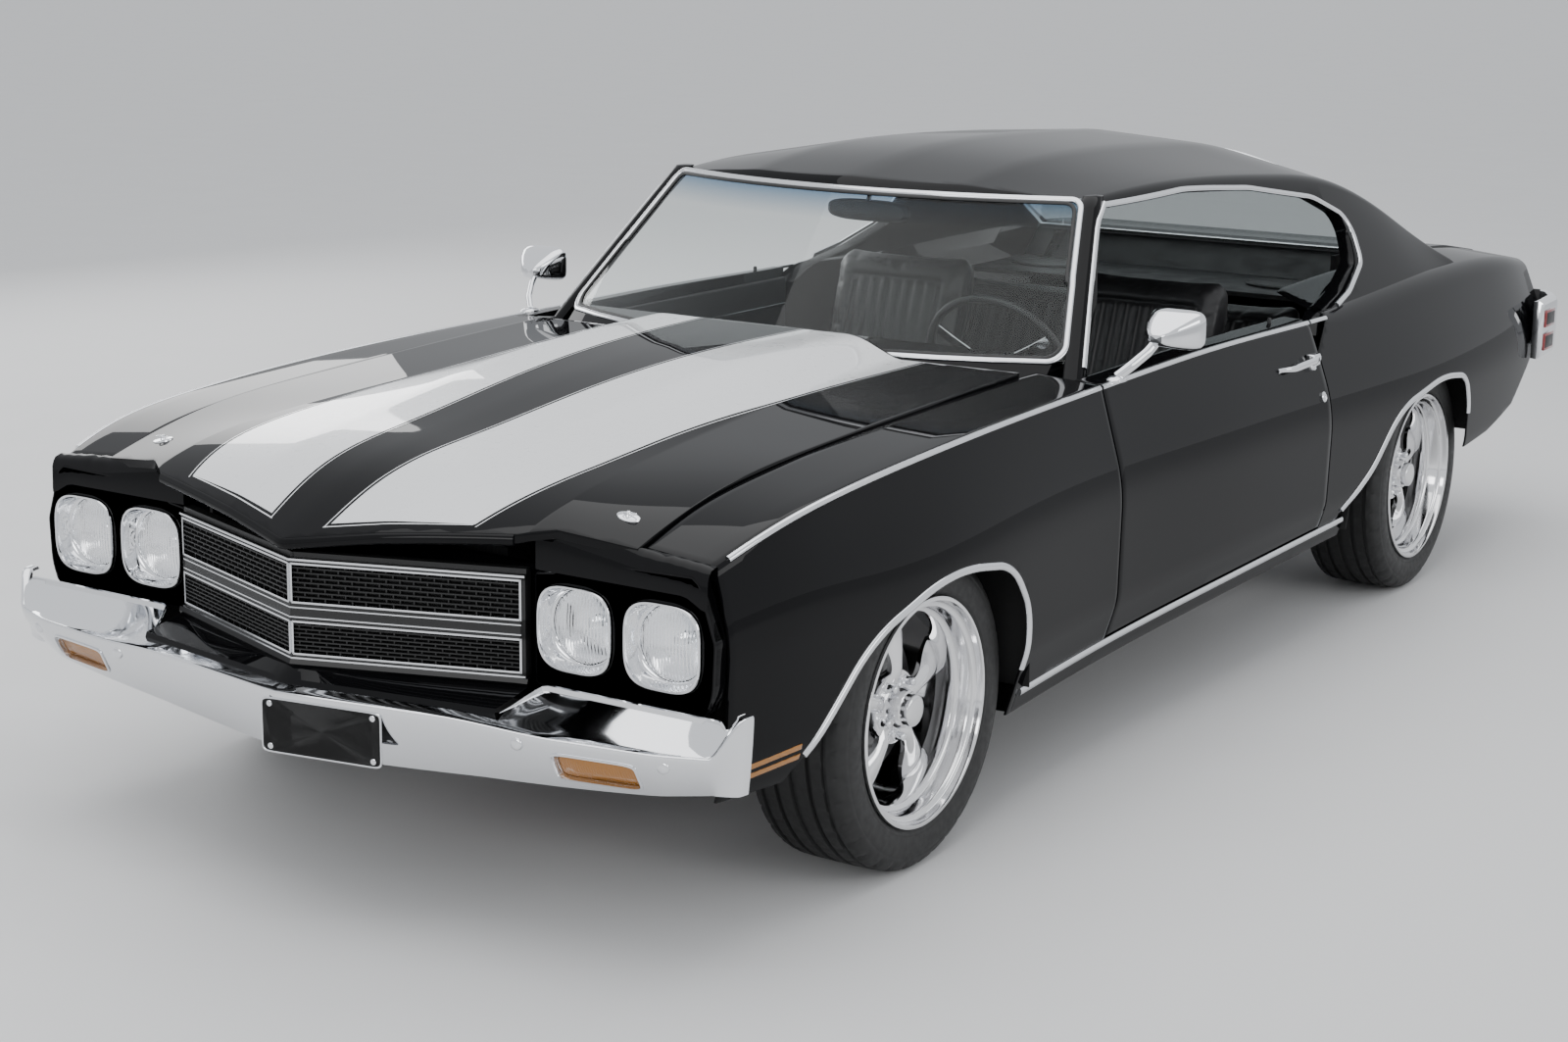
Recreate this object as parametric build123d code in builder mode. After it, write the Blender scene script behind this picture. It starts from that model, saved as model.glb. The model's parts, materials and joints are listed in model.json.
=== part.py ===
"""Two-door hardtop muscle car: body shell, doors, lids, running gear and cabin.

Frame: +Z up, the nose towards -Y, the car's left side towards +X, the origin on the
floor below the middle of the car's length and width. Millimetres.
"""
from build123d import *
import os
from math import atan2, cos, degrees, hypot, radians, sin

os.makedirs("parts", exist_ok=True)

# ---------------------------------------------------------------- driving sizes
WHEELBASE = 2845.0
FRONT_AXLE_Y = -1545.0
REAR_AXLE_Y = FRONT_AXLE_Y + WHEELBASE
NOSE_Y = -2505.0
TAIL_Y = 2505.0
TRACK_HALF = 770.0
TYRE_RADIUS = 334.0
TYRE_WIDTH = 230.0
RIM_RADIUS = 241.0
HUB_Z = TYRE_RADIUS

SKIN = 7.0                 # sheet panels with their folded edges
GAP = 7.0                  # shut gap round doors and lids
SEAT_GAP = 0.3             # between a piece and the seat it rests on
RUNNING_FIT = 0.05         # radial clearance of a shaft in its bore

BODY_LOW_Z = 200.0         # nothing of the body side hangs below this
ROCKER_FRONT_Y = -1180.0
ROCKER_REAR_Y = 660.0
ROCKER_FRONT_TOP_Z = 297.0
ROCKER_REAR_TOP_Z = 338.0
ROCKER_DEPTH = 56.0
SIDE_INNER_X = 600.0       # inboard limit of the side lofts
HOOD_GAP_X = 690.0
DECK_GAP_X = 640.0

DOOR_FRONT_Y = -738.0
DOOR_REAR_Y = 483.0
DOOR_INNER_X = 785.0
DOOR_TAPER = 22.0
DOOR_PIVOT_BACK = 90.0
DOOR_PIVOT_X = 892.0
DOOR_PIVOT_Y = DOOR_FRONT_Y + DOOR_PIVOT_BACK

DOOR_HINGE_ZS = (445.0, 650.0)
HINGE_SLOT = 40.0          # height of the notch in the door round each hinge
HINGE_STRAP = 24.0
DOOR_PIN_RADIUS = 7.0
HINGE_PIN_LENGTH = 84.0
POST_INNER_X = 690.0
POST_OUTER_X = 738.0

FENDER_FRONT_Y = -2240.0
QUARTER_REAR_Y = 2440.0

# Stations of the lower body side, from nose to tail:
# y, waist x, shoulder x, shoulder z, ridge x, ridge z, inner top z, ridge radius
SIDE_ROWS = (
    (-2290, 856, 866, 640, 832, 760, 782, 22),
    (-2100, 893, 903, 660, 860, 818, 836, 22),
    (-1850, 926, 930, 668, 869, 853, 872, 22),
    (-1545, 943, 946, 672, 870, 872, 890, 22),
    (-1150, 930, 934, 672, 864, 885, 902, 22),
    (-740, 914, 918, 670, 853, 890, 910, 22),
    (-100, 916, 922, 668, 846, 896, 916, 24),
    (480, 924, 930, 662, 848, 889, 914, 40),
    (900, 934, 940, 658, 850, 893, 930, 80),
    (1300, 942, 946, 654, 848, 900, 936, 90),
    (1800, 930, 932, 650, 838, 896, 930, 80),
    (2250, 893, 896, 648, 812, 868, 890, 60),
    (2460, 862, 866, 646, 786, 838, 856, 50),
)
WAIST_Z = 400.0
ROCKER_TUCK = 62.0
WAIST_RADIUS = 180.0
SHOULDER_RADIUS = 420.0

# Stations of the roof and sails: y, centre z, rail x, rail z, belt x
ROOF_ROWS = (
    (-470, 1276, 596, 1240, 846),
    (-150, 1322, 618, 1262, 846),
    (250, 1337, 632, 1262, 846),
    (700, 1325, 644, 1236, 848),
    (1080, 1285, 660, 1188, 848),
    (1380, 1160, 694, 1090, 846),
    (1660, 960, 748, 962, 842),
    (1800, 905, 800, 897, 838),
)
BELT_Z = 880.0
RAIL_RADIUS = 45.0
ROOF_SKIN = 28.0
ROOF_SPLIT_Z = 1150.0

# Hood: y, centre z, bulge top half width, bulge top z, foot half width, foot z, edge z
HOOD_ROWS = (
    (-2480, 746, 180, 742, 470, 726, 716),
    (-2300, 838, 200, 834, 480, 812, 774),
    (-2010, 893, 220, 890, 470, 868, 850),
    (-1650, 936, 240, 933, 440, 892, 882),
    (-1300, 962, 260, 960, 410, 908, 896),
    (-850, 968, 290, 966, 390, 918, 910),
)
HOOD_THICK = 20.0
HOOD_FRONT_CENTRE_Y = -2466.0
HOOD_PIVOT_Y = -790.0
HOOD_PIVOT_Z = 930.0

SCREEN_RADIUS = 1380.0
SCREEN_FOOT_Y = -850.0
SCREEN_FOOT_Z = 915.0
SCREEN_HEAD_Y = -440.0
SCREEN_HEAD_Z = 1280.0
SCREEN_THICK = 8.0

LID_FRONT_Y = 1760.0
LID_REAR_Y = 2452.0
LID_PIVOT_Y = 1600.0
LID_PIVOT_Z = 868.0
LID_ARM_X = 480.0

FLOOR_Z = 268.0
FLOOR_THICK = 12.0
FLOOR_HALF = DOOR_INNER_X

STEER_AXIS_X = 720.0
SPINDLE_RADIUS = 26.0
SPOKES = 5


def keep(builder, name):
    """Label a finished piece and write its STEP file."""
    builder.part.label = name
    export_step(builder.part, f"parts/{name}.step")


def keep_pair(builder, name):
    """Write a left piece and its mirror image on the right."""
    keep(builder, f"{name}_left")
    with BuildPart() as other:
        add(mirror(builder.part, about=Plane.YZ))
    keep(other, f"{name}_right")


def across(y):
    """Plane across the car at one station, its local y pointing up."""
    return Plane(origin=(0, y, 0), x_dir=(1, 0, 0), z_dir=(0, -1, 0))


def sideways(x):
    """Plane along the car at one x, local x along +Y and local y up."""
    return Plane(origin=(x, 0, 0), x_dir=(0, 1, 0), z_dir=(1, 0, 0))


def side_section(row, bottom_z, inner_x):
    """Closed half section of the body side at one station."""
    y, waist_x, shoulder_x, shoulder_z, ridge_x, ridge_z, top_z, radius = row
    outline = [
        (inner_x, bottom_z),
        (waist_x - ROCKER_TUCK, bottom_z),
        (waist_x, WAIST_Z),
        (shoulder_x, shoulder_z),
        (ridge_x, ridge_z),
        (inner_x, top_z),
    ]
    with BuildSketch(across(y)) as section:
        with BuildLine():
            FilletPolyline(*outline, radius=[12, WAIST_RADIUS, SHOULDER_RADIUS, radius])
            Line(outline[-1], outline[0])
        make_face()
    return section.sketch


def side_form(rows):
    """Solid between the inboard limit and the outer skin."""
    with BuildPart() as form:
        for row in rows:
            add(side_section(row, BODY_LOW_Z, SIDE_INNER_X))
        loft()
    return form.part


def inner_form(rows, skin, bottom_z, inner_x):
    """Straight-sided solid inside the skin, for hollowing fenders and quarters."""
    with BuildPart() as form:
        for y, waist_x, shoulder_x, shoulder_z, ridge_x, ridge_z, top_z, radius in rows:
            with BuildSketch(across(y)):
                with BuildLine():
                    Polyline(
                        (inner_x, bottom_z),
                        (waist_x - ROCKER_TUCK - skin, bottom_z),
                        (waist_x - skin, WAIST_Z),
                        (shoulder_x - skin, shoulder_z - 70),
                        (shoulder_x - skin - 16, shoulder_z + 60),
                        (ridge_x - skin - radius * 0.3, ridge_z - skin - radius * 0.4),
                        (inner_x, top_z - skin),
                        close=True,
                    )
                make_face()
        loft(ruled=True)
    return form.part


def roof_form():
    """Solid under the roof and sails, from belt height up."""
    with BuildPart() as form:
        for y, centre_z, rail_x, rail_z, belt_x in ROOF_ROWS:
            with BuildSketch(across(y)):
                with BuildLine():
                    FilletPolyline(
                        (0, centre_z),
                        (rail_x * 0.5, centre_z - (centre_z - rail_z) * 0.22),
                        (rail_x, rail_z),
                        (belt_x, BELT_Z),
                        (0, BELT_Z),
                        radius=[600, RAIL_RADIUS, 0],
                    )
                    Line((0, BELT_Z), (0, centre_z))
                make_face()
        loft()
    return form.part


def plan_prism(points, low_z, high_z):
    """Solid whose plan view is a polygon."""
    with BuildPart() as prism:
        with BuildSketch(Plane.XY.offset(low_z)):
            with BuildLine():
                Polyline(*points, close=True)
            make_face()
        extrude(amount=high_z - low_z)
    return prism.part


def side_prism(points, low_x, high_x, radius=0.0):
    """Solid whose side view is a polygon with rounded corners."""
    with BuildPart() as prism:
        with BuildSketch(sideways(low_x)):
            with BuildLine():
                FilletPolyline(*points, radius=radius, close=True)
            make_face()
        extrude(amount=high_x - low_x)
    return prism.part


def block(low, high):
    """Plain box between two corners."""
    with BuildPart() as solid:
        with Locations([(low[0], low[1], low[2])]):
            Box(high[0] - low[0], high[1] - low[1], high[2] - low[2], align=(Align.MIN,) * 3)
    return solid.part


def tube(points, width, radius, height=None):
    """Round bar, or a rectangular one if a height is given, along a bent path."""
    with BuildPart() as bar:
        with BuildLine() as path:
            FilletPolyline(*points, radius=radius)
        with BuildSketch(Plane(origin=path.line @ 0, z_dir=path.line % 0)):
            if height is None:
                Circle(width / 2)
            else:
                Rectangle(width, height)
        sweep()
    return bar.part


# ---------------------------------------------------------------- shared solids
outer_side = side_form(SIDE_ROWS)
inner_side = inner_form(SIDE_ROWS, SKIN, BODY_LOW_Z - 100, SIDE_INNER_X - 100)
roof_outer = roof_form()

# Wheel openings, seen from the side: distance behind the axle, height
FRONT_ARCH = ((-630, 150), (-590, 265), (-290, 563), (-10, 645), (252, 600), (343, 485), (343, 150))
FRONT_ARCH_RADII = (30, 200, 350, 350, 220, 140, 30)
REAR_ARCH = ((-760, 150), (-725, 340), (-500, 450), (-330, 590), (0, 634), (190, 610), (232, 520), (228, 150))
REAR_ARCH_RADII = (30, 150, 400, 350, 900, 110, 130, 30)


def arch_cutter(points, radii, axle_y):
    """Solid that cuts one wheel opening through the left side."""
    with BuildPart() as cutter:
        with BuildSketch(sideways(SIDE_INNER_X + 120)):
            with BuildLine():
                FilletPolyline(*[(axle_y + y, z) for y, z in points], radius=radii, close=True)
            make_face()
        extrude(amount=400)
    return cutter.part


front_arch = arch_cutter(FRONT_ARCH, FRONT_ARCH_RADII, FRONT_AXLE_Y)
rear_arch = arch_cutter(REAR_ARCH, REAR_ARCH_RADII, REAR_AXLE_Y)



def rocker_top(y):
    """Height of the rocker's top at a station; it climbs a little towards the tail."""
    rise = (ROCKER_REAR_TOP_Z - ROCKER_FRONT_TOP_Z) / (ROCKER_REAR_Y - ROCKER_FRONT_Y)
    return ROCKER_FRONT_TOP_Z + rise * (y - ROCKER_FRONT_Y)


def below_rocker_top(front_y, rear_y, lift):
    """Solid that takes away all of the left side below the rocker's top, raised by lift."""
    return side_prism([(front_y, BODY_LOW_Z - 50), (rear_y, BODY_LOW_Z - 50),
                       (rear_y, rocker_top(rear_y) + lift), (front_y, rocker_top(front_y) + lift)],
                      SIDE_INNER_X, 1000)


# ---------------------------------------------------------------- fenders
FENDER_LOW_FRONT_Z = 330.0
FENDER_LOW_REAR_Z = ROCKER_FRONT_TOP_Z - ROCKER_DEPTH
with BuildPart() as fender:
    add(outer_side)
    add(block((HOOD_GAP_X, FENDER_FRONT_Y, FENDER_LOW_REAR_Z), (1000, DOOR_FRONT_Y - GAP / 2, 1000)),
        mode=Mode.INTERSECT)
    add(inner_side, mode=Mode.SUBTRACT)
    add(front_arch, mode=Mode.SUBTRACT)
    add(below_rocker_top(ROCKER_FRONT_Y, DOOR_FRONT_Y, 0), mode=Mode.SUBTRACT)
    add(block((SIDE_INNER_X, FENDER_FRONT_Y - 10, BODY_LOW_Z), (1000, FRONT_AXLE_Y - 300, FENDER_LOW_FRONT_Z)),
        mode=Mode.SUBTRACT)
keep_pair(fender, "fender")

# ---------------------------------------------------------------- rockers
with BuildPart() as rocker:
    add(outer_side)
    add(side_prism([(ROCKER_FRONT_Y, ROCKER_FRONT_TOP_Z - ROCKER_DEPTH), (ROCKER_REAR_Y, ROCKER_REAR_TOP_Z - ROCKER_DEPTH),
                    (ROCKER_REAR_Y, ROCKER_REAR_TOP_Z), (ROCKER_FRONT_Y, ROCKER_FRONT_TOP_Z)],
                   DOOR_INNER_X, 1000),
        mode=Mode.INTERSECT)
keep_pair(rocker, "rocker")

# ---------------------------------------------------------------- doors
with BuildPart() as door:
    add(outer_side)
    add(plan_prism([(DOOR_INNER_X, DOOR_FRONT_Y + GAP / 2),
                    (1000, DOOR_FRONT_Y + GAP / 2),
                    (1000, DOOR_REAR_Y - GAP / 2),
                    (880, DOOR_REAR_Y - GAP / 2),
                    (DOOR_INNER_X, DOOR_REAR_Y - GAP / 2 - DOOR_TAPER)],
                   BODY_LOW_Z, 1000),
        mode=Mode.INTERSECT)
    add(below_rocker_top(DOOR_FRONT_Y, DOOR_REAR_Y, GAP), mode=Mode.SUBTRACT)
    for z in DOOR_HINGE_ZS:
        add(block((DOOR_INNER_X - 1, DOOR_FRONT_Y, z - HINGE_SLOT / 2),
                  (DOOR_PIVOT_X + 16, DOOR_PIVOT_Y + 22, z + HINGE_SLOT / 2)), mode=Mode.SUBTRACT)
        with BuildSketch(Plane.XY.offset(z - HINGE_PIN_LENGTH / 2 - 1)):
            with Locations([(DOOR_PIVOT_X, DOOR_PIVOT_Y)]):
                Circle(DOOR_PIN_RADIUS + RUNNING_FIT)
        extrude(amount=HINGE_PIN_LENGTH + 2, mode=Mode.SUBTRACT)
keep_pair(door, "door")

# ---------------------------------------------------------------- roof, pillars and sails
SIDE_WINDOW = ((-760, 800), (-300, 1236), (113, 1238), (479, 1216), (860, 1165), (1045, 1095),
               (985, 985), (810, 925), (600, 885), (480, 800))
SIDE_WINDOW_RADII = (20, 30, 800, 700, 300, 60, 80, 300, 200, 20)
with BuildPart() as side_window:
    with BuildSketch(sideways(400)):
        with BuildLine():
            FilletPolyline(*SIDE_WINDOW, radius=SIDE_WINDOW_RADII, close=True)
        make_face()
    extrude(amount=600)

SCREEN_RAKE = (SCREEN_HEAD_Y - SCREEN_FOOT_Y) / (SCREEN_HEAD_Z - SCREEN_FOOT_Z)


def screen_form(offset, low_z, high_z):
    """Oblique round solid behind the windshield's face, moved back by offset."""
    with BuildPart() as form:
        for z in (low_z, high_z):
            y = SCREEN_FOOT_Y + (z - SCREEN_FOOT_Z) * SCREEN_RAKE + offset + SCREEN_RADIUS
            with BuildSketch(Plane.XY.offset(z)):
                with Locations([(0, y)]):
                    Circle(SCREEN_RADIUS)
        loft(ruled=True)
    return form.part


screen_outer = screen_form(0, BELT_Z - 40, SCREEN_HEAD_Z + 100)
screen_inner = screen_form(SCREEN_THICK, BELT_Z - 40, SCREEN_HEAD_Z + 100)

with BuildPart() as windshield:
    add(screen_outer)
    with BuildSketch(across(-1000)):
        with BuildLine():
            FilletPolyline((-716, SCREEN_FOOT_Z), (716, SCREEN_FOOT_Z), (588, 1256), (-588, 1256),
                           radius=[18, 18, 25, 25], close=True)
        make_face()
    extrude(amount=-1000, mode=Mode.INTERSECT)
    add(screen_inner, mode=Mode.SUBTRACT)
keep(windshield, "windshield")

REAR_GLASS_TOP = (1085, 1262)
REAR_GLASS_FOOT = (1655, 925)
REAR_GLASS_THICK = 8.0
with BuildPart() as rear_window:
    with BuildSketch(sideways(-570)):
        with BuildLine():
            Polyline(REAR_GLASS_TOP, REAR_GLASS_FOOT,
                     (REAR_GLASS_FOOT[0], REAR_GLASS_FOOT[1] + REAR_GLASS_THICK),
                     (REAR_GLASS_TOP[0], REAR_GLASS_TOP[1] + REAR_GLASS_THICK), close=True)
        make_face()
    extrude(amount=1140)
    add(roof_outer, mode=Mode.INTERSECT)
keep(rear_window, "rear_window")

# Rear window's opening, seen from the side
BACKLIGHT = ((1074, 1400), (1074, 1252), (1085, 1262), (1655, 925), (1700, 860), (2000, 860), (2000, 1400))
PILLAR_INNER_X = 572.0
CABIN_END_Y = 1080.0

with BuildPart() as cabin_void:
    for y, centre_z, rail_x, rail_z, belt_x in ROOF_ROWS:
        if y <= CABIN_END_Y:
            mid_z = centre_z - (centre_z - rail_z) * 0.22
            with BuildSketch(across(y)):
                with BuildLine():
                    Polyline((0, 790), (0, centre_z - ROOF_SKIN), (rail_x * 0.5, mid_z - ROOF_SKIN),
                             (rail_x - ROOF_SKIN * 1.3, rail_z - ROOF_SKIN * 1.2),
                             (belt_x - ROOF_SKIN, BELT_Z), (belt_x - ROOF_SKIN, 790), close=True)
                make_face()
    loft(ruled=True)
    add(side_prism([(1060, 800), (1060, 1235), (1660, 905), (1660, 800)], -10, PILLAR_INNER_X))
    add(side_prism(BACKLIGHT, -10, PILLAR_INNER_X))

with BuildPart() as greenhouse:
    add(roof_outer)
    add(screen_outer, mode=Mode.INTERSECT)
    add(cabin_void.part, mode=Mode.SUBTRACT)
    add(side_window.part, mode=Mode.SUBTRACT)

with BuildPart() as roof:
    add(greenhouse.part)
    add(block((0, -1000, ROOF_SPLIT_Z), (1000, 3000, 1500)), mode=Mode.INTERSECT)
    with BuildSketch(Plane.XY.offset(SCREEN_FOOT_Z)) as foot:
        with Locations([(744, -620)]):
            Rectangle(40, 60)
    with BuildSketch(Plane.XY.offset(1245)) as head:
        with Locations([(612, -290)]):
            Rectangle(34, 60)
    loft(ruled=True)
    add(windshield.part, mode=Mode.SUBTRACT)
    mirror(about=Plane.YZ)
keep(roof, "roof")

# ---------------------------------------------------------------- quarters
TAIL_UNDERCUT = ((1480, 100), (1480, 385), (1744, 402), (2010, 446), (2250, 566), (2500, 600), (2500, 100))
with BuildPart() as quarter:
    add(outer_side)
    add(block((DECK_GAP_X, DOOR_REAR_Y + GAP / 2, BODY_LOW_Z), (1000, QUARTER_REAR_Y, 1000)),
        mode=Mode.INTERSECT)
    add(inner_side, mode=Mode.SUBTRACT)
    add(side_window.part, mode=Mode.SUBTRACT)
    add(rear_arch, mode=Mode.SUBTRACT)
    add(below_rocker_top(DOOR_REAR_Y - GAP, ROCKER_REAR_Y + 60, 0), mode=Mode.SUBTRACT)
    add(side_prism(TAIL_UNDERCUT, 600, 1000), mode=Mode.SUBTRACT)
with BuildPart() as sail:
    add(greenhouse.part)
    add(block((PILLAR_INNER_X, DOOR_REAR_Y + 40, 800), (1000, LID_FRONT_Y - GAP, ROOF_SPLIT_Z)),
        mode=Mode.INTERSECT)
with BuildPart() as quarter_full:
    add(quarter.part)
    add(sail.part)
keep_pair(quarter_full, "quarter")

# ---------------------------------------------------------------- hood
def hood_form(drop):
    """Solid under the left half of the hood's surface, lowered by drop."""
    with BuildPart() as form:
        for y, centre_z, top_half, top_z, foot_half, foot_z, edge_z in HOOD_ROWS:
            with BuildSketch(across(y)):
                with BuildLine():
                    Polyline((0, 600), (0, centre_z - drop), (top_half, top_z - drop),
                             (foot_half, foot_z - drop), (HOOD_GAP_X + 20, edge_z - drop),
                             (HOOD_GAP_X + 20, 600), close=True)
                make_face()
        loft(ruled=True)
    return form.part


def hood_stop(x, y, low_z):
    """Rubber block that the closed hood rests on."""
    with BuildPart() as stop:
        add(block((abs(x) - 14, y - 14, low_z), (abs(x) + 14, y + 14, low_z + 90)))
        add(hood_form(HOOD_THICK + SEAT_GAP), mode=Mode.INTERSECT)
    return stop.part if x > 0 else mirror(stop.part, about=Plane.YZ)


HOOD_EDGE_X = HOOD_GAP_X - GAP
HOOD_REAR_CENTRE_Y = -872.0
HOOD_REAR_CORNER_Y = -812.0
HOOD_FRONT_CORNER = (HOOD_EDGE_X, -2262.0)
HOOD_TONGUE_CORNER = (520.0, -2290.0)
HOOD_TONGUE_FRONT = (462.0, -2332.0)

with BuildPart() as hood:
    add(hood_form(0))
    with BuildSketch(Plane.XY.offset(560)):
        with BuildLine():
            ThreePointArc((HOOD_EDGE_X, HOOD_REAR_CORNER_Y), (HOOD_EDGE_X * 0.5, -857),
                          (0, HOOD_REAR_CENTRE_Y))
            Polyline((0, HOOD_REAR_CENTRE_Y), (0, HOOD_FRONT_CENTRE_Y), HOOD_TONGUE_FRONT,
                     HOOD_TONGUE_CORNER, HOOD_FRONT_CORNER, (HOOD_EDGE_X, HOOD_REAR_CORNER_Y))
        make_face()
    extrude(amount=600, mode=Mode.INTERSECT)
    add(hood_form(HOOD_THICK), mode=Mode.SUBTRACT)
    mirror(about=Plane.YZ)
keep(hood, "hood")

# ---------------------------------------------------------------- trunk lid and deck
LID_HALF = DECK_GAP_X - GAP
LID_THICK = 20.0
# y and centre height along the deck, then the drop of the lid's tail
DECK_LINE = ((1600, 940), (1760, 932), (2120, 908), (2400, 866), (2452, 838), (2458, 756))
DECK_CROWN = 14.0

with BuildPart() as deck_skin:
    with BuildSketch(sideways(0)):
        with BuildLine():
            FilletPolyline(*DECK_LINE, (1600, 700), radius=[0, 900, 900, 200, 30, 5, 0],
                           close=True)
        make_face()
    extrude(amount=DECK_GAP_X + 10)
with BuildPart() as deck_void:
    with BuildSketch(sideways(-1)):
        with BuildLine():
            Polyline(*[(y - (LID_THICK if y > 2430 else 0), z - LID_THICK) for y, z in DECK_LINE],
                     (2438, 600), (1600, 600), close=True)
        make_face()
    extrude(amount=DECK_GAP_X + 20)

with BuildPart() as lid_half:
    add(deck_skin.part)
    add(block((0, LID_FRONT_Y, 700), (LID_HALF, 2600, 1000)), mode=Mode.INTERSECT)
    add(deck_void.part, mode=Mode.SUBTRACT)

# Gooseneck from the lid's underside round the deck's edge to its pivot
ARM_WIDTH = 16.0
ARM_PATH = ((0, 0), (-22, -90), (40, -195), (150, -185), (200, -60), (200, 42))
EYE_RADIUS = 16.0
HINGE_PIN_RADIUS = 6.0
with BuildPart() as lid_arm:
    with BuildSketch(sideways(LID_ARM_X)):
        with BuildLine() as arm_line:
            FilletPolyline(*[(LID_PIVOT_Y + y, LID_PIVOT_Z + z) for y, z in ARM_PATH], radius=40)
        trace(line_width=ARM_WIDTH)
        with Locations([(LID_PIVOT_Y, LID_PIVOT_Z)]):
            Circle(EYE_RADIUS)
            Circle(HINGE_PIN_RADIUS + RUNNING_FIT, mode=Mode.SUBTRACT)
    extrude(amount=ARM_WIDTH)

with BuildPart() as trunk_lid:
    add(lid_half.part)
    add(lid_arm.part)
    mirror(about=Plane.YZ)
keep(trunk_lid, "trunk_lid")

# Fixed panel between the rear window and the lid, with the parcel shelf and hinge ears
SHELF_Z = 838.0
SHELF_FRONT_Y = 1190.0
DECK_FRONT_Y = 1663.0
with BuildPart() as rear_deck:
    add(deck_skin.part)
    add(block((0, DECK_FRONT_Y, 700), (PILLAR_INNER_X, LID_FRONT_Y - GAP, 1000)), mode=Mode.INTERSECT)
    add(deck_void.part, mode=Mode.SUBTRACT)
    add(block((0, SHELF_FRONT_Y, SHELF_Z - 14), (PILLAR_INNER_X, 1560, SHELF_Z)))
    add(side_prism([(1545, SHELF_Z - 14), (1560, SHELF_Z - 14), (1690, 905), (1690, 920), (1650, 918)],
                   0, PILLAR_INNER_X))
    add(block((LID_ARM_X - 4, 1500, 780), (LID_ARM_X + ARM_WIDTH + 8, 1720, 912)), mode=Mode.SUBTRACT)
    add(block((LID_ARM_X - 14, LID_PIVOT_Y - 20, LID_PIVOT_Z - 20), (LID_ARM_X - 1, 1680, 915)))
    with BuildSketch(sideways(LID_ARM_X - 4)):
        with Locations([(LID_PIVOT_Y, LID_PIVOT_Z)]):
            Circle(HINGE_PIN_RADIUS)
    extrude(amount=ARM_WIDTH + 6)
    mirror(about=Plane.YZ)
keep(rear_deck, "rear_deck")

# ---------------------------------------------------------------- cowl
COWL_FRONT_Y = -905.0
COWL_TOP_Z = 882.0
FIREWALL_Y = -900.0
with BuildPart() as cowl:
    add(side_prism([(COWL_FRONT_Y, 830), (COWL_FRONT_Y, COWL_TOP_Z), (-840, SCREEN_FOOT_Z - 0.5),
                    (-600, SCREEN_FOOT_Z - 0.5), (-560, 890), (-560, 872), (-760, 872), (-880, 830)],
                   0, HOOD_GAP_X))
    mirror(about=Plane.YZ)
    add(screen_form(0, 800, 1000), mode=Mode.INTERSECT)
    add(block((-HOOD_GAP_X, COWL_FRONT_Y, 800), (HOOD_GAP_X, -880, COWL_TOP_Z)))
    add(block((-HOOD_GAP_X, -885, 850), (HOOD_GAP_X, -742, 878)))
    for sign in (-1, 1):
        add(block((sign * 714 - 24, -760, FLOOR_Z + FLOOR_THICK), (sign * 714 + 24, DOOR_PIVOT_Y + 10, 878)))
        add(hood_stop(sign * 520, -888, COWL_TOP_Z - 8))
        for z in DOOR_HINGE_ZS:
            with BuildSketch(Plane.XY.offset(z - HINGE_STRAP / 2)):
                with Locations([(sign * (DOOR_PIVOT_X + POST_OUTER_X) / 2, DOOR_PIVOT_Y)]):
                    SlotCenterToCenter(DOOR_PIVOT_X - POST_OUTER_X, 20)
            extrude(amount=HINGE_STRAP)
            with BuildSketch(Plane.XY.offset(z - HINGE_PIN_LENGTH / 2)):
                with Locations([(sign * DOOR_PIVOT_X, DOOR_PIVOT_Y)]):
                    Circle(DOOR_PIN_RADIUS)
            extrude(amount=HINGE_PIN_LENGTH)
keep(cowl, "cowl")

# ---------------------------------------------------------------- frame and floor
RAIL_X = 415.0
RAIL_WIDTH = 70.0
RAIL_HEIGHT = 75.0
RAIL_FRONT_Y = -2290.0
FRAME_PATH = ((RAIL_FRONT_Y, 430), (-2050, 430), (-1220, 330), (-980, 230), (830, 230), (1060, 420),
              (1500, 430), (2430, 430))
TUNNEL_HALF = 130.0
TUNNEL_Z = 388.0
TRUNK_FLOOR_Z = 480.0
# y, low z and high z of the crossmembers
CROSSMEMBERS = ((-2200, 395, 460), (-1000, 228, 288), (200, 225, 267))

with BuildPart() as frame:
    for sign in (-1, 1):
        with BuildSketch(sideways(sign * RAIL_X - RAIL_WIDTH / 2)):
            with BuildLine():
                FilletPolyline(*FRAME_PATH, radius=90)
            trace(line_width=RAIL_HEIGHT)
        extrude(amount=RAIL_WIDTH)
    for y, low_z, high_z in CROSSMEMBERS:
        add(block((-RAIL_X, y - 40, low_z), (RAIL_X, y + 40, high_z)))
keep(frame, "frame")

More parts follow.
